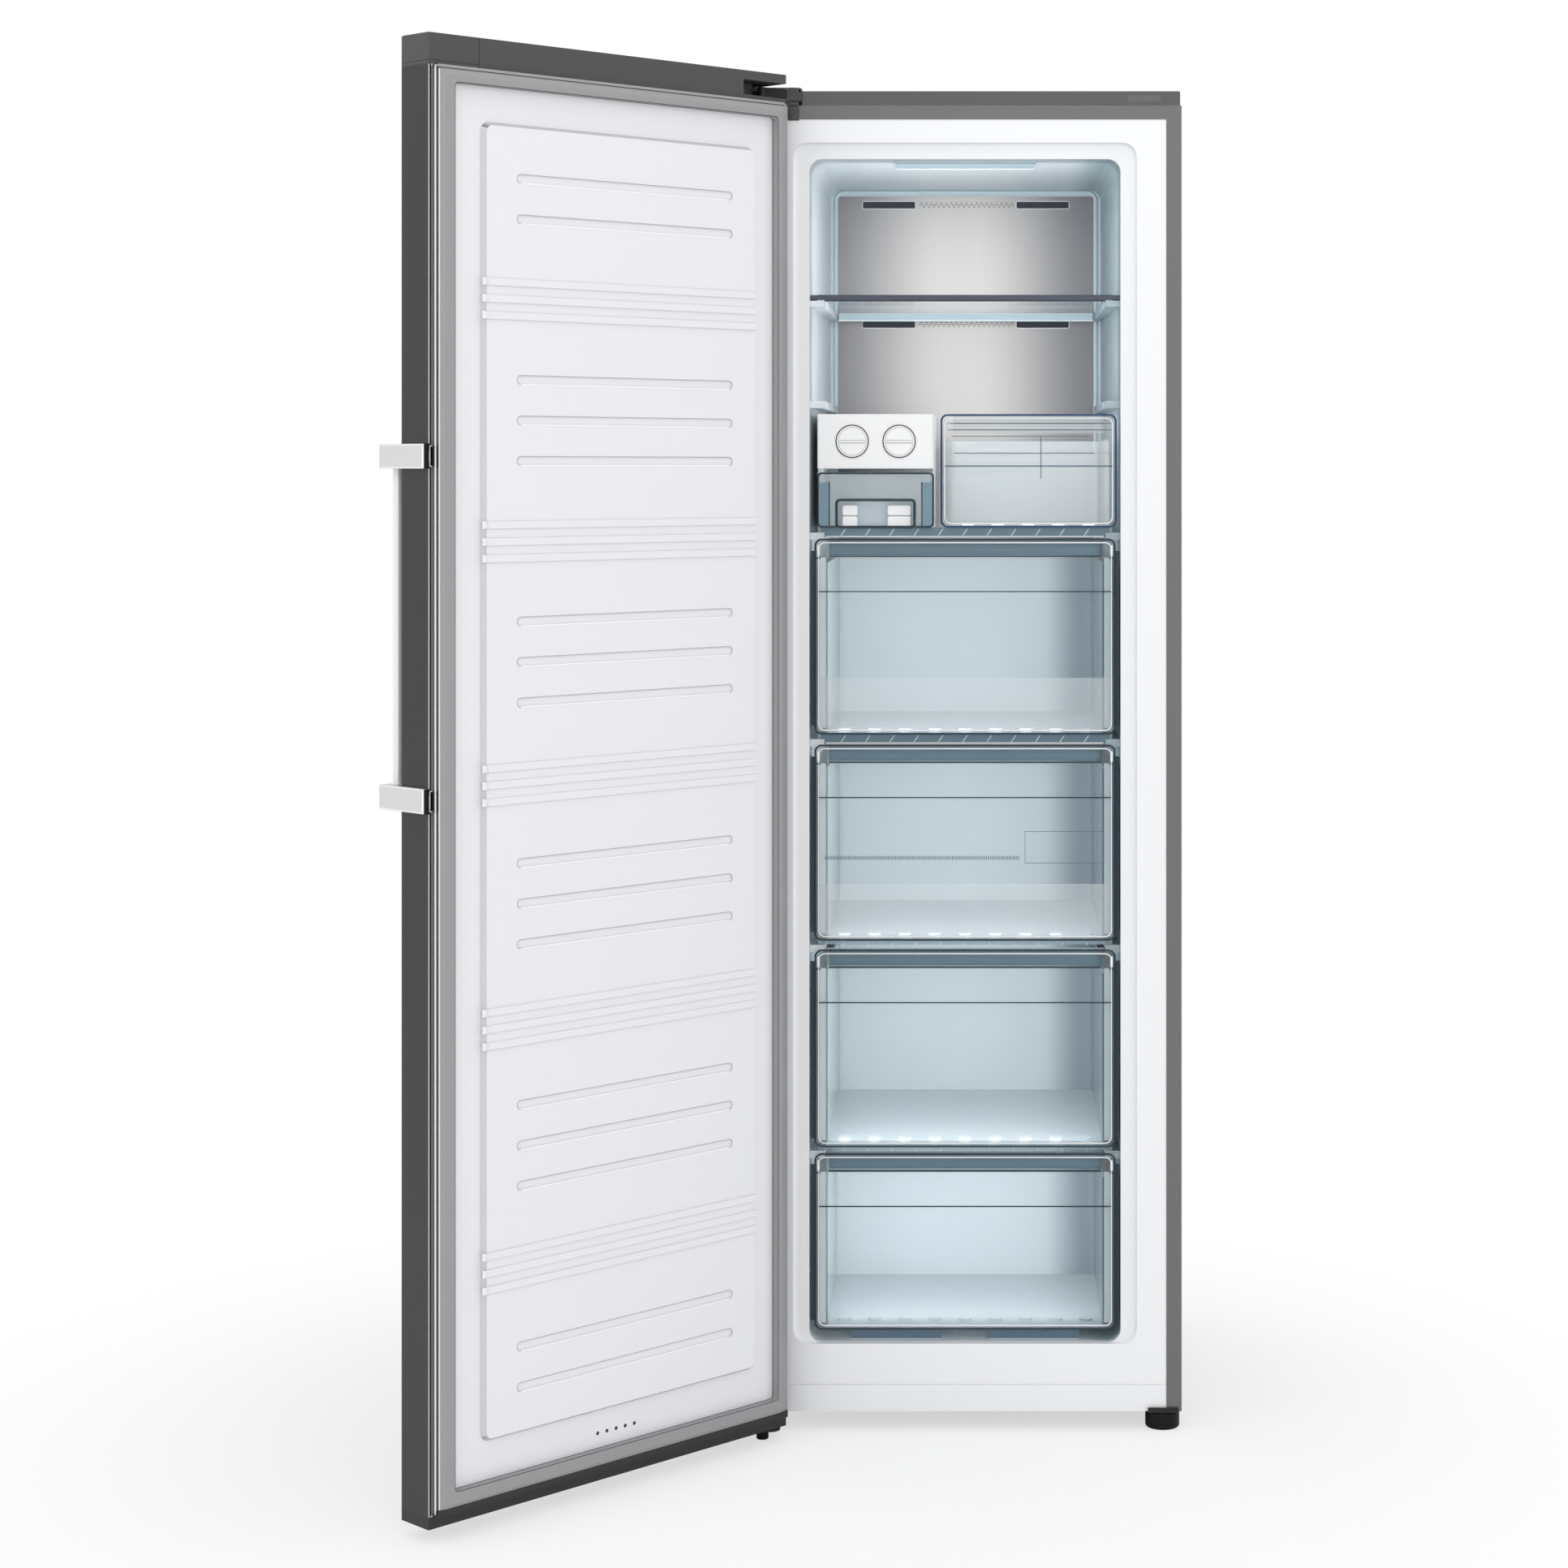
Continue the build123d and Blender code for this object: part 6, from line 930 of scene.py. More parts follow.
# Frosted band: end and foot, depths, top
FROST_END, FROST_DEPTHS, FROST_TOP = 0.004, (0.0042, 0.0048), 0.078
# Upper drawer's rims: drops of the two behind its front; drop and reach of those on its back
RIM_DROPS, RIM_BACKS = (0.0128, 0.0218), ((0.0263, 0.024), (0.0517, 0.0125))
RIM_DEPTHS, RIM_STARTS, RIM_END, RIM_HALF = (0.0046, 0.0034), (0.010, 0.0125), 0.006, 0.0006
RIM_UPRIGHT, RIM_UPRIGHT_SPAN = 0.1466, (0.0904, 0.0263)
# Finger hollow: end, depth of its back wall, thickness, and drops of wall and lower lip
HOLLOW_END, HOLLOW_DEPTH, HOLLOW_WALL = 0.0198, 0.014, 0.0008
HOLLOW_DROPS, HOLLOW_LIP, HOLLOW_LIP_DEPTHS = (0.0236, 0.003), 0.0252, (0.0008, 0.0016)
# Side edges, darkened with painted shade of the gap to the liner: width, depths, foot and top;
# shoulders, strips of painted light: depth, thickness, width, foot and top
SIDE_WIDTH, SIDE_DEPTHS, SIDE_ENDS = 0.0052, (0.004, 0.012), (0.012, 0.017)
SHOULDER_DEPTH, SHOULDER_THICK, SHOULDER_WIDTH = 0.0046, 0.0005, 0.009
SHOULDER_ENDS = (0.009, 0.0262)
SHOULDERS = (("left", 0, 0.0068), ("right", 1, -0.0158))
# Painted light of the shoulders: paler on the left, darker on the right
SHOULDER_PAINTED_LIGHT = {"left": "#dbe6eb", "right": "#b9cad3"}
# Clips, with faces of painted highlight: place inside the front's ends; half width, rise, sink and
# drops of clip and shade
CLIP_INSET = 0.0055
CLIP_FACE, CLIP_SHADE = (0.0016, 0.0009, 0.0235, 0.0095), (0.0028, 0.0007, 0.028, 0.0255)
CLIP_SINK = 0.0005
# Drawer shelves' flange: rib heights from the top, rib section, slant, and the pale lip; ribs and lip
# are white with painted highlight
SHELF_RIBS, RIB_SECTION, RIB_SLANT = (0.011, 0.011, 0.003, 0.003), (0.0013, 0.0008), 35
RIB_PROUD, RIB_DROP, RIB_MARGIN = 0.0009, 0.0065, 0.05
SHELF_LIP_END, SHELF_LIP_PROUD, SHELF_LIP_DROPS = 0.012, 0.0014, (0.0138, 0.0118)
FLANGE_SHADE_END, FLANGE_SHADE_PROUD, FLANGE_SHADE_DROPS = 0.004, 0.0006, (0.0125, 0.0006)
# Ice bin: corner of its lines, grip's size, channels in painted shade, posts, bright edges, and pads
# of painted reflection
BIN_CORNER, GRIP_SIZE, GRIP_TRIM, GRIP_BEAD = 0.005, (0.1075, 0.0385), 0.001, 1.4
CHANNEL_SIDES, CHANNEL_DEPTHS, CHANNEL_TALL = (0.0035, 0.0165), (0.0002, 0.0008), (0.002, 0.062)
POST_INSET, POST_HALF, POST_DEPTH, POST_TALL = 0.0168, 0.0008, 0.0006, (0.002, 0.063)
GRIP_EDGE_HALF, GRIP_EDGE_DEPTHS, GRIP_EDGE_TALL = 0.0012, (0.0001, 0.001), (0.002, 0.026)
GLOSS_SIDES, GLOSS_FEET, GLOSS_TALL = ((-0.046, -0.0255), (0.0165, 0.048)), (0.0015, 0.0165), 0.0138
GLOSS_WALL, GLOSS_THICK, GLOSS_BEVEL = 0.026, 0.017, 0.001


class FREEZER_OT_drawers(bpy.types.Operator):
    """Give the clear drawers, the ice bin and the drawer shelves their tinted plastic"""

    bl_idname = "freezer.drawers"
    bl_label = "Finish Drawers"

    def execute(self, context):
        c = colours()
        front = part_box("drawer_1")[0][1] + FRONT_WALL
        # Injection moulded crystal polystyrene: clear, pale blue, dark where seen end on; faces that
        # look up or down take painted light and shade, and the rear walls darken to the right with
        # painted shade
        drawer = clear_plastic("crystal_polystyrene", (c.drawer, "#e6f0f5", c.drawer_edge),
                               front, (0.07, 0.72, 0.85), (0.385, 0.45))
        finish(drawer, "drawer_1", "drawer_2", "drawer_3", "drawer_4")
        upper = clear_plastic("crystal_polystyrene_upper", ("#f4fafd", "#f0f7fa",
                                                            c.upper_edge),
                              front, (0.08, 0.5, 0.85))
        finish(upper, "upper_drawer")
        scoop = clear_plastic("crystal_polystyrene_ice_bin", (c.drawer, "#e6f0f5",
                                                              c.ice_edge),
                              front, (0.14, 0.5, 0.8))
        finish(scoop, "ice_bin")
        shelf = clear_plastic("crystal_polystyrene_shelf", ("#cfe3ec", "#a9c3d0",
                                                            "#5c8296"),
                              front + SHELF_WALL, (0.5, 0.5, 0.75))
        finish(shelf, "drawer_shelves")
        # The same plastic where light leaves it through a long edge: deep teal
        edge = surface("crystal_polystyrene_edge", c.drawer_edge, 0.25, (0.004, 0.004, 0.02),
                       tint=0.12)
        blue = surface("crystal_polystyrene_blue_edge", c.upper_edge, 0.25, (0.004, 0.004, 0.02),
                       tint=0.12)
        # A rounded edge that catches the light: nearly white
        glint = surface("crystal_polystyrene_glint", "#fbfdff", 0.15,
                        constants={"Alpha": 0.9})
        # The finger hollow lies in the shade of its own lip
        hollow = surface("crystal_polystyrene_hollow", "#6e8b9a", 0.3,
                         (0.05, 0.004, 0.002), tint=0.2)
        # Lightly frosted band along the foot of the two upper fronts: hazy white
        frost = surface("frosted_polystyrene_band", "#eef4f7", 0.6,
                        constants={"Alpha": 0.2})
        # Pale strips of painted light inside the front's sides
        painted_light_strips = {label: surface(f"crystal_polystyrene_{label}_shoulder", colour, 0.3,
                                (0.02, 0.02, 0.2), constants={"Alpha": 0.7})
                 for label, colour in SHOULDER_PAINTED_LIGHT.items()}
        for name in ("drawer_1", "drawer_2", "drawer_3", "drawer_4"):
            self.front_lines(name, edge, glint, LARGE_DROP)
            self.hollow(name, hollow, edge)
            self.sides(name, edge)
            self.shoulders(name, painted_light_strips)
            self.clips(name, edge, glint)
        for name in ("drawer_1", "drawer_2"):
            low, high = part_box(name)
            band = slabs([((low[0] + FROST_END, low[1] + FROST_DEPTHS[0], low[2] + FROST_END),
                           (high[0] - FROST_END, low[1] + FROST_DEPTHS[1], low[2] + FROST_TOP))])
            piece(f"{name}_frosted_band", band, frost, name)
        self.front_lines("upper_drawer", blue, glint, UPPER_DROP)
        self.inner_rims(edge)
        self.shelf_fronts(glint, hollow)
        self.bin_lines(edge, blue, hollow)
        return {"FINISHED"}

    def front_lines(self, name, dark, pale, drop):
        """Dark outline, inner line of painted highlight and moulded line across the front of a
        drawer.
        """
        bead = sizes().outline_bead
        low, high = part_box(name)
        tree = bead_frame("drawer_outline", dark)
        for label, material, inset, radius in (
                ("outline", dark, bead, bead),
                ("inner_highlight", pale, INNER_HIGHLIGHT[0] * bead, INNER_HIGHLIGHT[1] * bead)):
            mesh = ring(tree, ((low[0] + high[0]) / 2, low[1] + FACE_SINK, (low[2] + high[2]) / 2),
                        high[0] - low[0] - 2 * inset, high[2] - low[2] - 2 * inset,
                        FRONT_CORNER, radius)
            piece(f"{name}_{label}", mesh, material, name)
        level = high[2] - drop
        line = slabs([((low[0] + MOULDED_END, low[1] - MOULDED_DEPTHS[0], level - MOULDED_HALF),
                       (high[0] - MOULDED_END, low[1] + MOULDED_DEPTHS[1],
                        level + MOULDED_HALF))])
        piece(f"{name}_moulded_line", line, dark, name)

    def inner_rims(self, material):
        """Lines of the upper drawer's rims: two behind its front, the others on its back."""
        low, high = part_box("upper_drawer")
        near, far = low[1] + RIM_DEPTHS[0], high[1] - RIM_DEPTHS[1]
        levels = [(RIM_STARTS[0], near, drop, RIM_END) for drop in RIM_DROPS]
        levels += [(RIM_STARTS[1], far, drop, reach) for drop, reach in RIM_BACKS]
        lines = [((low[0] + start, depth, high[2] - drop - RIM_HALF),
                  (high[0] - end, depth + ROUND, high[2] - drop + RIM_HALF))
                 for start, depth, drop, end in levels]
        upright = low[0] + RIM_UPRIGHT
        lines.append(((upright - MOULDED_HALF, far, high[2] - RIM_UPRIGHT_SPAN[0]),
                      (upright + MOULDED_HALF, far + ROUND, high[2] - RIM_UPRIGHT_SPAN[1])))
        piece("upper_drawer_rims", slabs(lines, HAIR), material, "upper_drawer")

    def hollow(self, name, material, dark):
        """Shaded wall at the back of a drawer's finger hollow, and its dark lower lip."""
        low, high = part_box(name)
        wall = low[1] + FACE_SINK + HOLLOW_DEPTH
        left, right = low[0] + HOLLOW_END, high[0] - HOLLOW_END
        back = slabs([((left, wall - HOLLOW_WALL, high[2] - HOLLOW_DROPS[0]),
                       (right, wall, high[2] - HOLLOW_DROPS[1]))])
        piece(f"{name}_hollow", back, material, name)
        foot = slabs([((left, low[1] + HOLLOW_LIP_DEPTHS[0], high[2] - HOLLOW_LIP),
                       (right, low[1] + HOLLOW_LIP_DEPTHS[1], high[2] - HOLLOW_DROPS[0]))])
        piece(f"{name}_hollow_foot", foot, dark, name)

    def sides(self, name, material):
        """Moulded side edges that stand between a drawer's front and the liner, darkened with painted
        shade of the gap between them.
        """
        low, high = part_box(name)
        near, far = (low[1] + depth for depth in SIDE_DEPTHS)
        foot, top = low[2] + SIDE_ENDS[0], high[2] - SIDE_ENDS[1]
        strips = slabs([((low[0] - SIDE_WIDTH, near, foot), (low[0], far, top)),
                        ((high[0], near, foot), (high[0] + SIDE_WIDTH, far, top))])
        piece(f"{name}_sides", strips, material, name)

    def shoulders(self, name, painted_light_strips):
        """Pale strips of painted light on the shoulders between the front's edges and the narrower
        basket.
        """
        low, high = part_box(name)
        near = low[1] + SHOULDER_DEPTH
        for label, side, offset in SHOULDERS:
            start = (low, high)[side][0] + offset
            strip = slabs([((start, near, low[2] + SHOULDER_ENDS[0]),
                            (start + SHOULDER_WIDTH, near + SHOULDER_THICK,
                             high[2] - SHOULDER_ENDS[1]))])
            piece(f"{name}_{label}_shoulder", strip, painted_light_strips[label], name)

    def clips(self, name, dark, pale):
        """Small moulded clips at both upper ends of a front: pale faces of painted highlight with
        dark shades beside them.
        """
        low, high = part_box(name)
        face = low[1] + FACE_SINK
        for label, material, (half, rise, foot, top) in (("clips", pale, CLIP_FACE),
                                                         ("clip_shades", dark, CLIP_SHADE)):
            blocks = [((x - half, face - rise, high[2] - foot),
                       (x + half, face + CLIP_SINK, high[2] - top))
                      for x in (low[0] + CLIP_INSET, high[0] - CLIP_INSET)]
            piece(f"{name}_{label}", slabs(blocks, ROUND), material, name)

    def shelf_fronts(self, pale, dark):
        """Front flange of each drawer shelf: slanting ribs and a pale lip, white with painted
        highlight, and the upper shades.
        """
        pitch = sizes().rib_pitch
        low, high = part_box("drawer_shelves")
        ribs = row("shelf_ribs", pale)
        count = int((high[0] - low[0] - RIB_MARGIN) / pitch) + 1
        middle, near = (low[0] + high[0]) / 2, low[1]
        tops = [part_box(name)[0][2] for name in ("upper_drawer", "drawer_1", "drawer_2",
                                                "drawer_3")]
        meshes = [grown(ribs, {
            "Centre": (middle, near - RIB_PROUD, top - RIB_DROP), "Columns": count,
            "Spread": pitch * (count - 1), "Block": (*RIB_SECTION, tall),
            "Lean": (0.0, math.radians(RIB_SLANT), 0.0)})
            for top, tall in zip(tops, SHELF_RIBS)]
        lips = slabs([((low[0] + SHELF_LIP_END, near - SHELF_LIP_PROUD, top - SHELF_LIP_DROPS[0]),
                       (high[0] - SHELF_LIP_END, near, top - SHELF_LIP_DROPS[1]))
                      for top in tops])
        piece("shelf_front_ribs", combined(meshes + [lips]), pale, "cabinet")
        shades = slabs([((low[0] + FLANGE_SHADE_END, near - FLANGE_SHADE_PROUD,
                          top - FLANGE_SHADE_DROPS[0]),
                         (high[0] - FLANGE_SHADE_END, near, top - FLANGE_SHADE_DROPS[1]))
                        for top in tops[:2]])
        piece("shelf_front_shades", shades, dark, "cabinet")

    def bin_lines(self, dark, blue, teal):
        """Outline, side channels in painted shade, grip edges and painted reflections of the ice bin.
        """
        bead = sizes().outline_bead
        low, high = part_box("ice_bin")
        face, foot = low[1], low[2]
        middle = (low[0] + high[0]) / 2
        tree = bead_frame("bin_outline", dark)
        rim = ring(tree, (middle, face, (low[2] + high[2]) / 2), high[0] - low[0] - 2 * bead,
                   high[2] - low[2] - 2 * bead, BIN_CORNER, bead)
        grip_width, grip_height = GRIP_SIZE
        arch = ring(tree, (middle, face, foot + grip_height / 2), grip_width,
                    grip_height - GRIP_TRIM, BIN_CORNER, GRIP_BEAD * bead)
        # The side channels are drawn in the finger hollow's painted shade
        outer, inner = CHANNEL_SIDES
        channels = slabs([((start, face - CHANNEL_DEPTHS[0], foot + CHANNEL_TALL[0]),
                           (end, face + CHANNEL_DEPTHS[1], foot + CHANNEL_TALL[1]))
                          for start, end in ((low[0] + outer, low[0] + inner),
                                             (high[0] - inner, high[0] - outer))])
        piece("ice_bin_channels", channels, teal, "ice_bin")
        posts = slabs([((x - POST_HALF, face - POST_DEPTH, foot + POST_TALL[0]),
                        (x + POST_HALF, face + POST_DEPTH, foot + POST_TALL[1]))
                       for x in (low[0] + POST_INSET, high[0] - POST_INSET)])
        piece("ice_bin_dark_lines", combined([rim, arch, posts]), dark, "ice_bin")
        bright = slabs([((x - GRIP_EDGE_HALF, face - GRIP_EDGE_DEPTHS[0],
                          foot + GRIP_EDGE_TALL[0]),
                         (x + GRIP_EDGE_HALF, face + GRIP_EDGE_DEPTHS[1],
                          foot + GRIP_EDGE_TALL[1]))
                        for x in (middle - grip_width / 2, middle + grip_width / 2)])
        piece("ice_bin_blue_edges", bright, blue, "ice_bin")
        wall = face + GLOSS_WALL
        gloss = slabs([((middle + left, wall - GLOSS_THICK, foot + bottom),
                        (middle + right, wall, foot + bottom + GLOSS_TALL))
                       for left, right in GLOSS_SIDES for bottom in GLOSS_FEET], GLOSS_BEVEL)
        # Painted reflections: bright white pads where polished faces in the grip's hollow throw the
        # light back
        polished = surface("grip_painted_reflection", "#fbfdff", 0.2)
        piece("ice_bin_painted_reflections", gloss, polished, "ice_bin")


# Tick strip: length, middle, height, share of its pitch that a tick takes; frame's two corners
STRIP_LENGTH, STRIP_MIDDLE, STRIP_HEIGHT, TICK_SHARE = 0.266, 0.2165, 0.7835, 0.45
FRAME_LOW, FRAME_HIGH = (0.3583, 0.7765), (0.4664, 0.820)
INK_LIFT = 0.00005


class FREEZER_OT_label(bpy.types.Operator):
    """Add the plain tick strip and the empty frame on the second drawer"""

    bl_idname = "freezer.label"
    bl_label = "Add Tick Strip"

    def execute(self, context):
        s = sizes()
        # Screen printed ink: dull blue-grey
        ink = surface("screen_printed_ink", "#55666f", 0.6)
        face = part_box("drawer_2")[0][1] + FACE_SINK - INK_LIFT
        ticks = row("tick_strip", ink)
        strip = grown(ticks, {"Centre": (STRIP_MIDDLE, face, STRIP_HEIGHT),
                              "Spread": STRIP_LENGTH,
                              "Columns": int(STRIP_LENGTH / s.tick_pitch) + 1,
                              "Block": (s.tick_pitch * TICK_SHARE, HAIR, s.tick_height)})
        piece("tick_strip", combined([strip]), ink, "drawer_2")
        (x0, z0), (x1, z1), line = FRAME_LOW, FRAME_HIGH, s.frame_line
        bars = [((x0 + x1) / 2, z, x1 - x0, line) for z in (z0, z1)]
        bars += [(x, (z0 + z1) / 2, line, z1 - z0) for x in (x0, x1)]
        outline = [grown(ticks, {"Centre": (x, face, z), "Spread": 0.0, "Columns": 1,
                                 "Block": (width, HAIR, height)})
                   for x, z, width, height in bars]
        piece("label_frame", combined(outline), ink, "drawer_2")
        return {"FINISHED"}


# End caps of the shelf's front strip: reach and inset; rail along the glass's rear edge, with lines
# of painted highlight along its edges
CAP_REACH, CAP_INSET = 0.0105, 0.0005
RAIL_END, RAIL_DEPTHS, RAIL_DROPS = 0.012, (0.006, 0.001), (0.0135, 0.0045)
RAIL_EDGE_DEPTH, RAIL_EDGES = 0.007, ((0.0155, 0.0135), (0.0045, 0.0038))
LAMP_BEAD, LAMP_CORNER = 0.0009, 0.006


class FREEZER_OT_shelves(bpy.types.Operator):
    """Give the glass shelf, its front strip and the lamp cover their finishes"""

    bl_idname = "freezer.shelves"
    bl_label = "Finish Shelves"

    def execute(self, context):
        # Toughened float glass: nearly clear, faintly green-blue
        glass = surface("toughened_float_glass", "#bcd3dc", 0.04, 0.2,
                        tint=0.01, spread=0.02, constants={"Alpha": 0.16, "IOR": 1.52})
        finish(glass, "glass_shelf")
        # Extruded polystyrene strip: grey-blue above, smooth
        strip = surface("extruded_polystyrene_strip", "#3b4252", 0.35, (0.05, 0.01, 0.01))
        finish(strip, "glass_shelf_trim")
        # Its end caps reach the walls of the cavity
        low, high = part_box("glass_shelf_trim")
        caps = slabs([((start, low[1] + CAP_INSET, low[2] + CAP_INSET),
                       (end, high[1], high[2] - CAP_INSET))
                      for start, end in ((low[0] - CAP_REACH, low[0]),
                                         (high[0], high[0] + CAP_REACH))])
        piece("shelf_trim_caps", caps, strip, "cabinet")
        low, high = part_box("glass_shelf")
        # The rail along the glass's rear edge: clear plastic, pale blue, with white lines of painted
        # highlight along its edges
        rail = surface("clear_rear_rail", "#b3cad2", 0.25, (0.05, 0.01, 0.003), tint=0.1)
        left, right = low[0] + RAIL_END, high[0] - RAIL_END
        band = slabs([((left, high[1] - RAIL_DEPTHS[0], high[2] - RAIL_DROPS[0]),
                       (right, high[1] - RAIL_DEPTHS[1], high[2] - RAIL_DROPS[1]))])
        piece("shelf_rear_rail", band, rail, "cabinet")
        white = surface("clear_rear_rail_highlight", "#e6eff2", 0.2, (0.05, 0.01, 0.01))
        lips = slabs([((left, high[1] - RAIL_EDGE_DEPTH, high[2] - foot),
                       (right, high[1] - RAIL_DEPTHS[1], high[2] - top))
                      for foot, top in RAIL_EDGES])
        piece("shelf_rear_rail_highlights", lips, white, "cabinet")
        # Frosted polystyrene lens: milky and even
        lens = surface("frosted_polystyrene_lens", "#b4c6cf", 0.5, 0.02,
                       bump=0.00002)
        finish(lens, "lamp_cover")
        # A pale line of painted highlight runs round the lens's rim
        low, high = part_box("lamp_cover")
        stood = ring(bead_frame("lamp_rim_highlight", white), (0.0, 0.0, 0.0),
                     high[0] - low[0] - 2 * LAMP_BEAD, high[1] - low[1] - 2 * LAMP_BEAD,
                     LAMP_CORNER, LAMP_BEAD)
        lay = (Matrix.Translation(((low[0] + high[0]) / 2, (low[1] + high[1]) / 2, low[2]))
               @ Matrix.Rotation(math.pi / 2, 4, "X"))
        piece("lamp_rim_highlight", combined([stood], lay), white, "cabinet")
        return {"FINISHED"}


# Rings round a knob: depth behind its face, trim and bead of the gap; share and bead of the step
GAP_DEPTH, GAP_TRIM, GAP_CORNER, GAP_BEAD = 0.0026, 0.001, 0.0006, 0.0008
STEP_DEPTH, STEP_SHARE, STEP_BEAD = 0.0021, 0.84, 0.0004
# Lines of its grip: share of the radius, depths, heights and thickness
GRIP_SHARE, GRIP_DEPTHS, GRIP_HEIGHTS, GRIP_LINE = 0.8, (0.0012, 0.0018), (0.0012, -0.0026), 0.0006


class FREEZER_OT_ice_maker(bpy.types.Operator):
    """Give the ice maker's frame, trays and knobs their finishes"""

    bl_idname = "freezer.ice_maker"
    bl_label = "Finish Ice Maker"

    def execute(self, context):
        # Glossy moulded ABS: clean white with a soft highlight
        white = surface("moulded_abs_white", "#f4f5f6", 0.3, 0.03,
                        tint=0.01)
        finish(white, "ice_maker_frame", "ice_knob_left", "ice_knob_right")
        # Food-grade polyethylene: softer, slightly waxy white
        waxy = surface("moulded_polyethylene_white", "#e8edf0", 0.4)
        finish(waxy, "ice_tray_left", "ice_tray_right")
        # The gap round each knob lies in shade; the step of its disc is softer
        gap = surface("shaded_knob_gap", "#3f4042", 0.6)
        step = surface("shaded_knob_step", "#a9aaad", 0.5)
        rings = bead_frame("knob_rings", gap)
        for side in ("left", "right"):
            low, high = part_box(f"ice_knob_{side}")
            x, z = (low[0] + high[0]) / 2, (low[2] + high[2]) / 2
            radius = (high[0] - low[0]) / 2
            body = f"{side}_tray_unit"
            outer = ring(rings, (x, low[1] + GAP_DEPTH, z), 2 * radius - GAP_TRIM,
                         2 * radius - GAP_TRIM, radius - GAP_CORNER, GAP_BEAD)
            piece(f"knob_{side}_gap_ring", outer, gap, body)
            inner = ring(rings, (x, low[1] + STEP_DEPTH, z), 2 * STEP_SHARE * radius,
                         2 * STEP_SHARE * radius, STEP_SHARE * radius - HAIR, STEP_BEAD)
            lines = slabs([((x - GRIP_SHARE * radius, low[1] + GRIP_DEPTHS[0], z + height),
                            (x + GRIP_SHARE * radius, low[1] + GRIP_DEPTHS[1],
                             z + height + GRIP_LINE)) for height in GRIP_HEIGHTS], HAIR)
            piece(f"knob_{side}_step", combined([inner, lines]), step, body)
        return {"FINISHED"}


class FREEZER_OT_machine(bpy.types.Operator):
    """Give the compressor, pipes, coil, fan motor and boards their finishes"""

    bl_idname = "freezer.machine"
    bl_label = "Finish Machine Parts"

    def execute(self, context):
        # Stoved black enamel on the compressor's shell: even black gloss
        enamel = surface("stoved_black_enamel", "#141415", 0.28)
        finish(enamel, "compressor", "fan_motor")
        # Copper plated steel tube: warm brown-orange with dull patches
        copper = surface("copper_plated_tube", "#a9683f", 0.34, 0.02,
                         tint=0.15, spread=0.12, constants={"Metallic": 0.9})
        finish(copper, "condenser_pipes")
        # Mill finish aluminium: pale, dull, faintly streaked
        alloy = surface("mill_finish_aluminium", "#b7bbbf", 0.4, (0.03, 0.003, 0.003),
                        tint=0.06, constants={"Metallic": 0.9})
        finish(alloy, "evaporator_coil", "defrost_heater")
        # Moulded nitrile rubber: black and dry
        rubber = surface("moulded_nitrile_rubber", "#1a1a1a", 0.7, 0.003,
                         bump=0.00005)
        finish(rubber, "compressor_mounts")
        # Solder-masked glass epoxy: green with a slight sheen
        board = surface("solder_masked_board", "#2b6944", 0.4, 0.004,
                        tint=0.1)
        finish(board, "circuit_boards")
        return {"FINISHED"}


# Studio: half size of the floor, where it runs out into white, and how far the camera sees
FLOOR_HALF, FLOOR_SQUARES, FLOOR_FADE, NEAR_SHARE = 30.0, 8, (0.5, 1.4), 0.62
SIGHT_END = 200.0
# Lights: name, place, size, power, the point it faces, and whether it shows in reflections
LIGHTS = (("front_light", (0.9, -4.4, 2.5), (2.6, 2.6), 36.0, (0.3, 0.3, 0.9), True),
          ("side_light", (-3.4, -2.2, 2.4), (2.0, 2.0), 18.0, (0.0, 0.2, 0.9), True),
          ("top_light", (0.3, -0.8, 4.4), (3.0, 3.0), 22.0, (0.3, 0.0, 0.5), True),
          ("cavity_light", (0.2755, 0.083, 0.94), (0.37, 1.56), 3.4, (0.2755, 1.0, 0.94), False),
          ("lamp_light", (0.2755, 0.116, 1.741), (0.18, 0.09), 0.22, (0.2755, 0.2, 1.2), False))


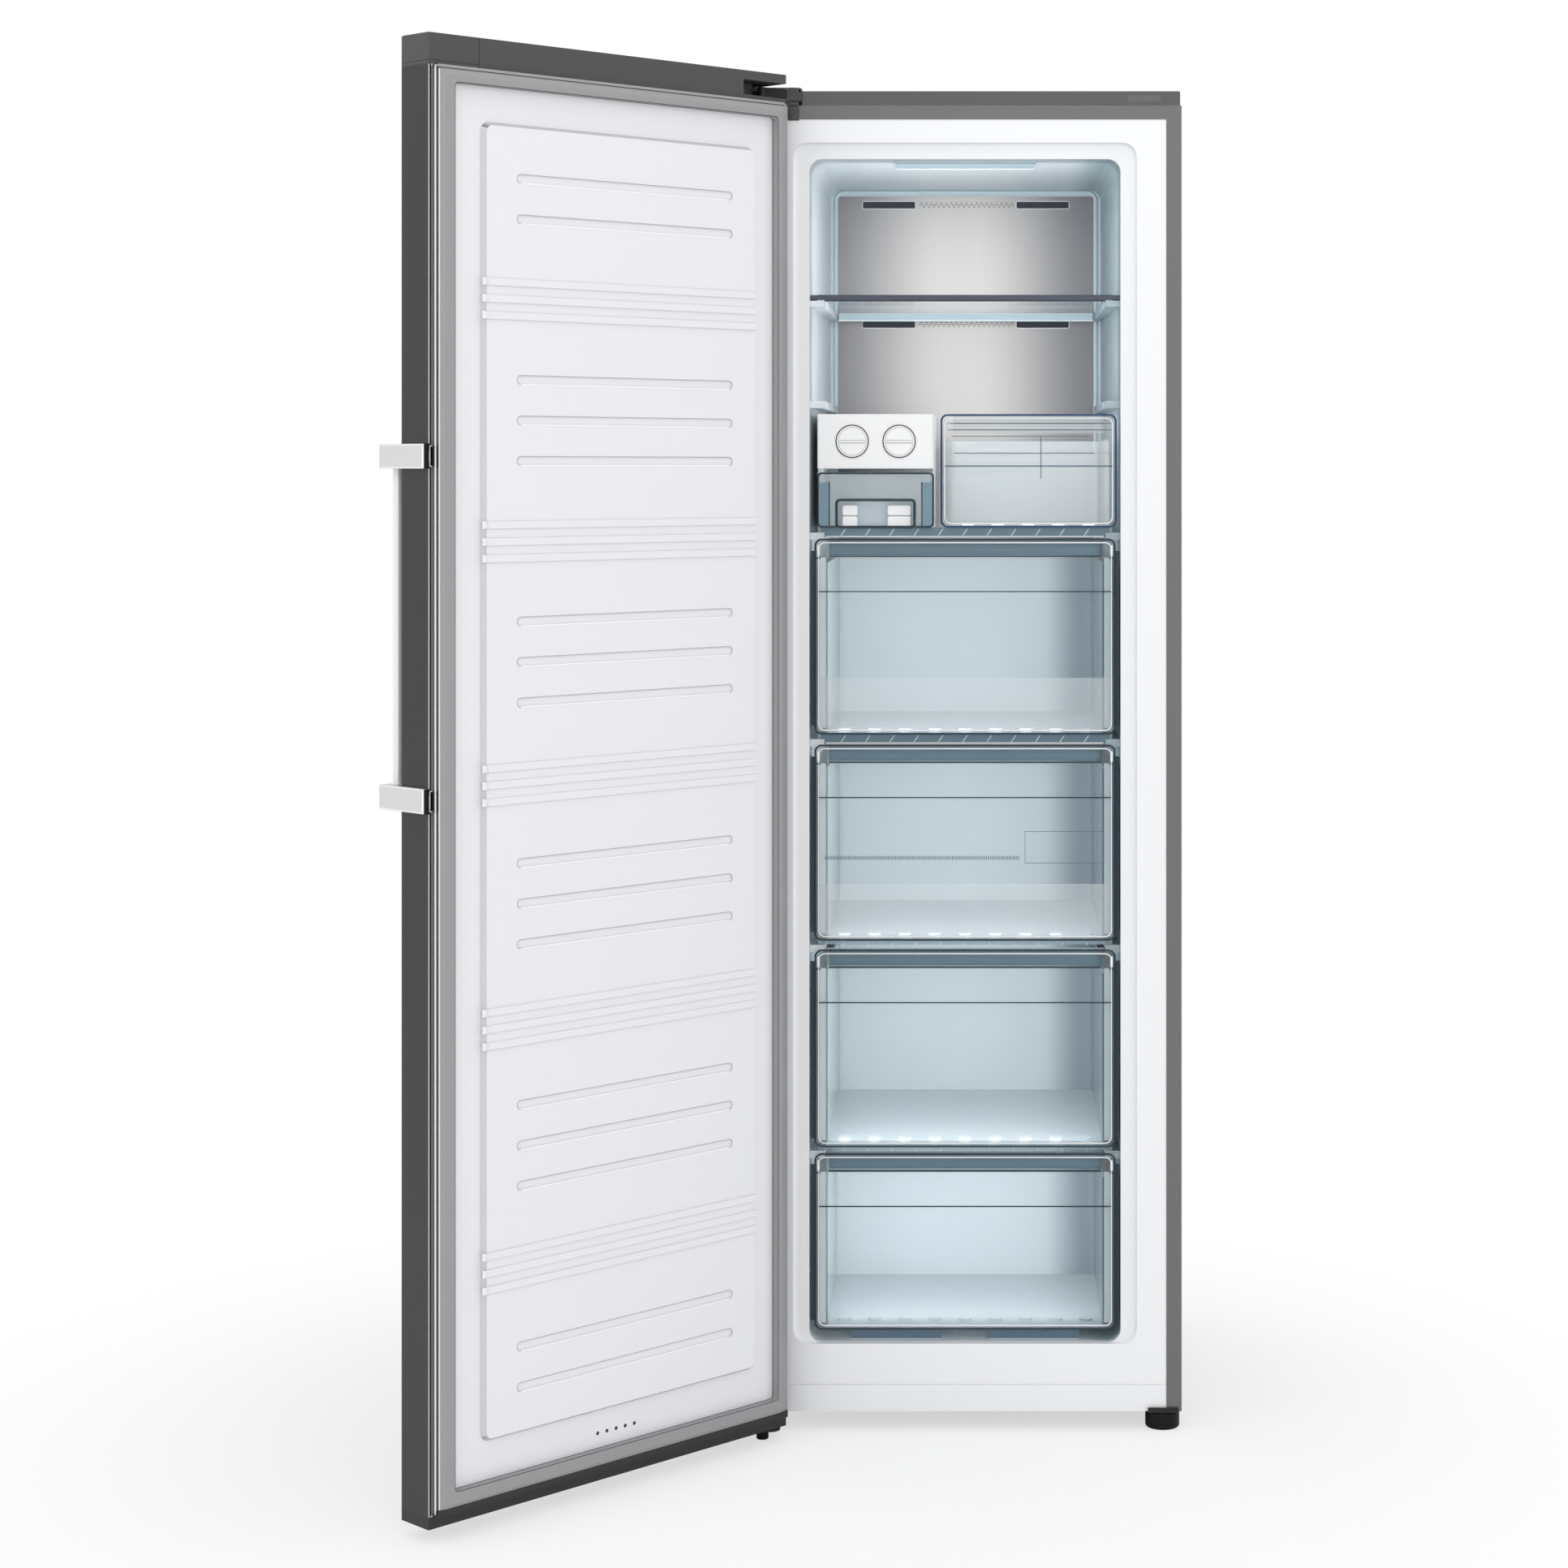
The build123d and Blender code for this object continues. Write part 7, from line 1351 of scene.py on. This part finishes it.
class FREEZER_OT_stage(bpy.types.Operator):
    """Set the pale floor, the soft lights and the camera"""

    bl_idname = "freezer.stage"
    bl_label = "Set Stage"

    def execute(self, context):
        self.floor()
        self.lights(context.scene)
        self.camera(context.scene)
        return {"FINISHED"}

    def floor(self):
        """A wide pale floor."""
        work = bmesh.new()
        bmesh.ops.create_grid(work, x_segments=FLOOR_SQUARES,
                              y_segments=FLOOR_SQUARES, size=FLOOR_HALF)
        mesh = bpy.data.meshes.new("studio_floor")
        work.to_mesh(mesh)
        work.free()
        floor = bpy.data.objects.new("studio_floor", mesh)
        bpy.context.scene.collection.objects.link(floor)
        mesh.materials.append(self.paint())

    def paint(self):
        """Painted studio floor: pale and dull, running out into the white surround."""
        material, tree, output = blank_material("painted_studio_floor")
        place = add(tree, "ShaderNodeTexCoord").outputs["Object"]
        noise = add(tree, "ShaderNodeTexNoise", {"Scale": 1.5}, {"Vector": place})
        pale = colours().floor
        tone = add(tree, "ShaderNodeMix", {"data_type": "RGBA", 6: shade(pale, 0.99),
                                           7: shade(pale)}, {0: noise.outputs["Fac"]})
        dull = add(tree, "ShaderNodeBsdfPrincipled", {"Roughness": 0.9},
                   {"Base Color": tone.outputs[2]})
        white = add(tree, "ShaderNodeEmission", {"Strength": 1.0})
        far = add(tree, "ShaderNodeVectorMath", {"operation": "LENGTH"}, {0: place})
        seen = add(tree, "ShaderNodeLightPath").outputs["Is Camera Ray"]
        near = add(tree, "ShaderNodeMath", {"operation": "MULTIPLY", 1: NEAR_SHARE}, {0: seen})
        share = add(tree, "ShaderNodeMapRange", {"From Min": FLOOR_FADE[0], "From Max": FLOOR_FADE[1],
                                                 "interpolation_type": "SMOOTHSTEP"},
                    {"Value": far.outputs["Value"], "To Min": near.outputs["Value"],
                     "To Max": seen})
        mixed = add(tree, "ShaderNodeMixShader", None,
                    {0: share.outputs["Result"], 1: dull.outputs["BSDF"],
                     2: white.outputs["Emission"]})
        tree.links.new(mixed.outputs["Shader"], output.inputs["Surface"])
        return material

    def lights(self, scene):
        """A white surround, broad lights from three sides and two soft ones in the cavity."""
        world = bpy.data.worlds.new("studio_world")
        scene.world = world
        world.use_nodes = True
        tree = world.node_tree
        tree.nodes["Background"].inputs["Color"].default_value = (1, 1, 1, 1)
        seen = add(tree, "ShaderNodeLightPath").outputs["Is Camera Ray"]
        strength = add(tree, "ShaderNodeMapRange", {"To Min": 0.8, "To Max": 1.0},
                       {"Value": seen})
        tree.links.new(strength.outputs["Result"],
                       tree.nodes["Background"].inputs["Strength"])
        scene.view_settings.view_transform = "Standard"
        for name, place, size, power, aim, glossy in LIGHTS:
            data = bpy.data.lights.new(name, "AREA")
            data.shape = "RECTANGLE"
            data.size, data.size_y = size
            data.energy = power
            light = bpy.data.objects.new(name, data)
            light.location = place
            sight = Vector(aim) - Vector(place)
            light.rotation_euler = sight.to_track_quat("-Z", "Y").to_euler()
            light.visible_camera = False
            light.visible_glossy = glossy
            scene.collection.objects.link(light)

    def camera(self, scene):
        """The photo's camera: it looks level, and its frame is shifted."""
        data = bpy.data.cameras.new("photo_camera")
        data.sensor_width = SENSOR
        data.lens = FOCAL_PIXELS / PHOTO * data.sensor_width
        data.shift_x = (PHOTO / 2 - SIGHT[0]) / PHOTO
        data.shift_y = (SIGHT[1] - PHOTO / 2) / PHOTO
        data.dof.use_dof = False
        data.clip_end = SIGHT_END
        camera = bpy.data.objects.new("photo_camera", data)
        camera.location = EYE
        camera.rotation_euler = UPRIGHT
        scene.collection.objects.link(camera)
        scene.camera = camera


STEPS = (FREEZER_OT_stage, FREEZER_OT_cabinet, FREEZER_OT_liner, FREEZER_OT_door,
         FREEZER_OT_back_panel, FREEZER_OT_drawers, FREEZER_OT_label, FREEZER_OT_shelves,
         FREEZER_OT_ice_maker, FREEZER_OT_machine)


class FREEZER_PT_panel(bpy.types.Panel):
    """Lists the freezer's steps, colours and sizes."""

    bl_idname = "FREEZER_PT_panel"
    bl_label = "Freezer"
    bl_space_type = "VIEW_3D"
    bl_region_type = "UI"
    bl_category = "Freezer"

    def draw(self, context):
        for step in STEPS:
            self.layout.operator(step.bl_idname)
        for group in (context.scene.freezer_colours, context.scene.freezer_sizes):
            box = self.layout.box()
            for name in group.__annotations__:
                box.prop(group, name)


CLASSES = (FreezerColours, FreezerSizes) + STEPS + (FREEZER_PT_panel,)


def register():
    """Registers the classes and hangs the properties on the scene."""
    for item in CLASSES:
        bpy.utils.register_class(item)
    bpy.types.Scene.freezer_colours = bpy.props.PointerProperty(type=FreezerColours)
    bpy.types.Scene.freezer_sizes = bpy.props.PointerProperty(type=FreezerSizes)


def unregister():
    """Removes the properties and the classes."""
    del bpy.types.Scene.freezer_sizes
    del bpy.types.Scene.freezer_colours
    for item in reversed(CLASSES):
        bpy.utils.unregister_class(item)


def main():
    """Registers the add-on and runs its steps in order."""
    register()
    for step in STEPS:
        group, name = step.bl_idname.split(".")
        getattr(getattr(bpy.ops, group), name)()


if __name__ == "__main__":
    main()
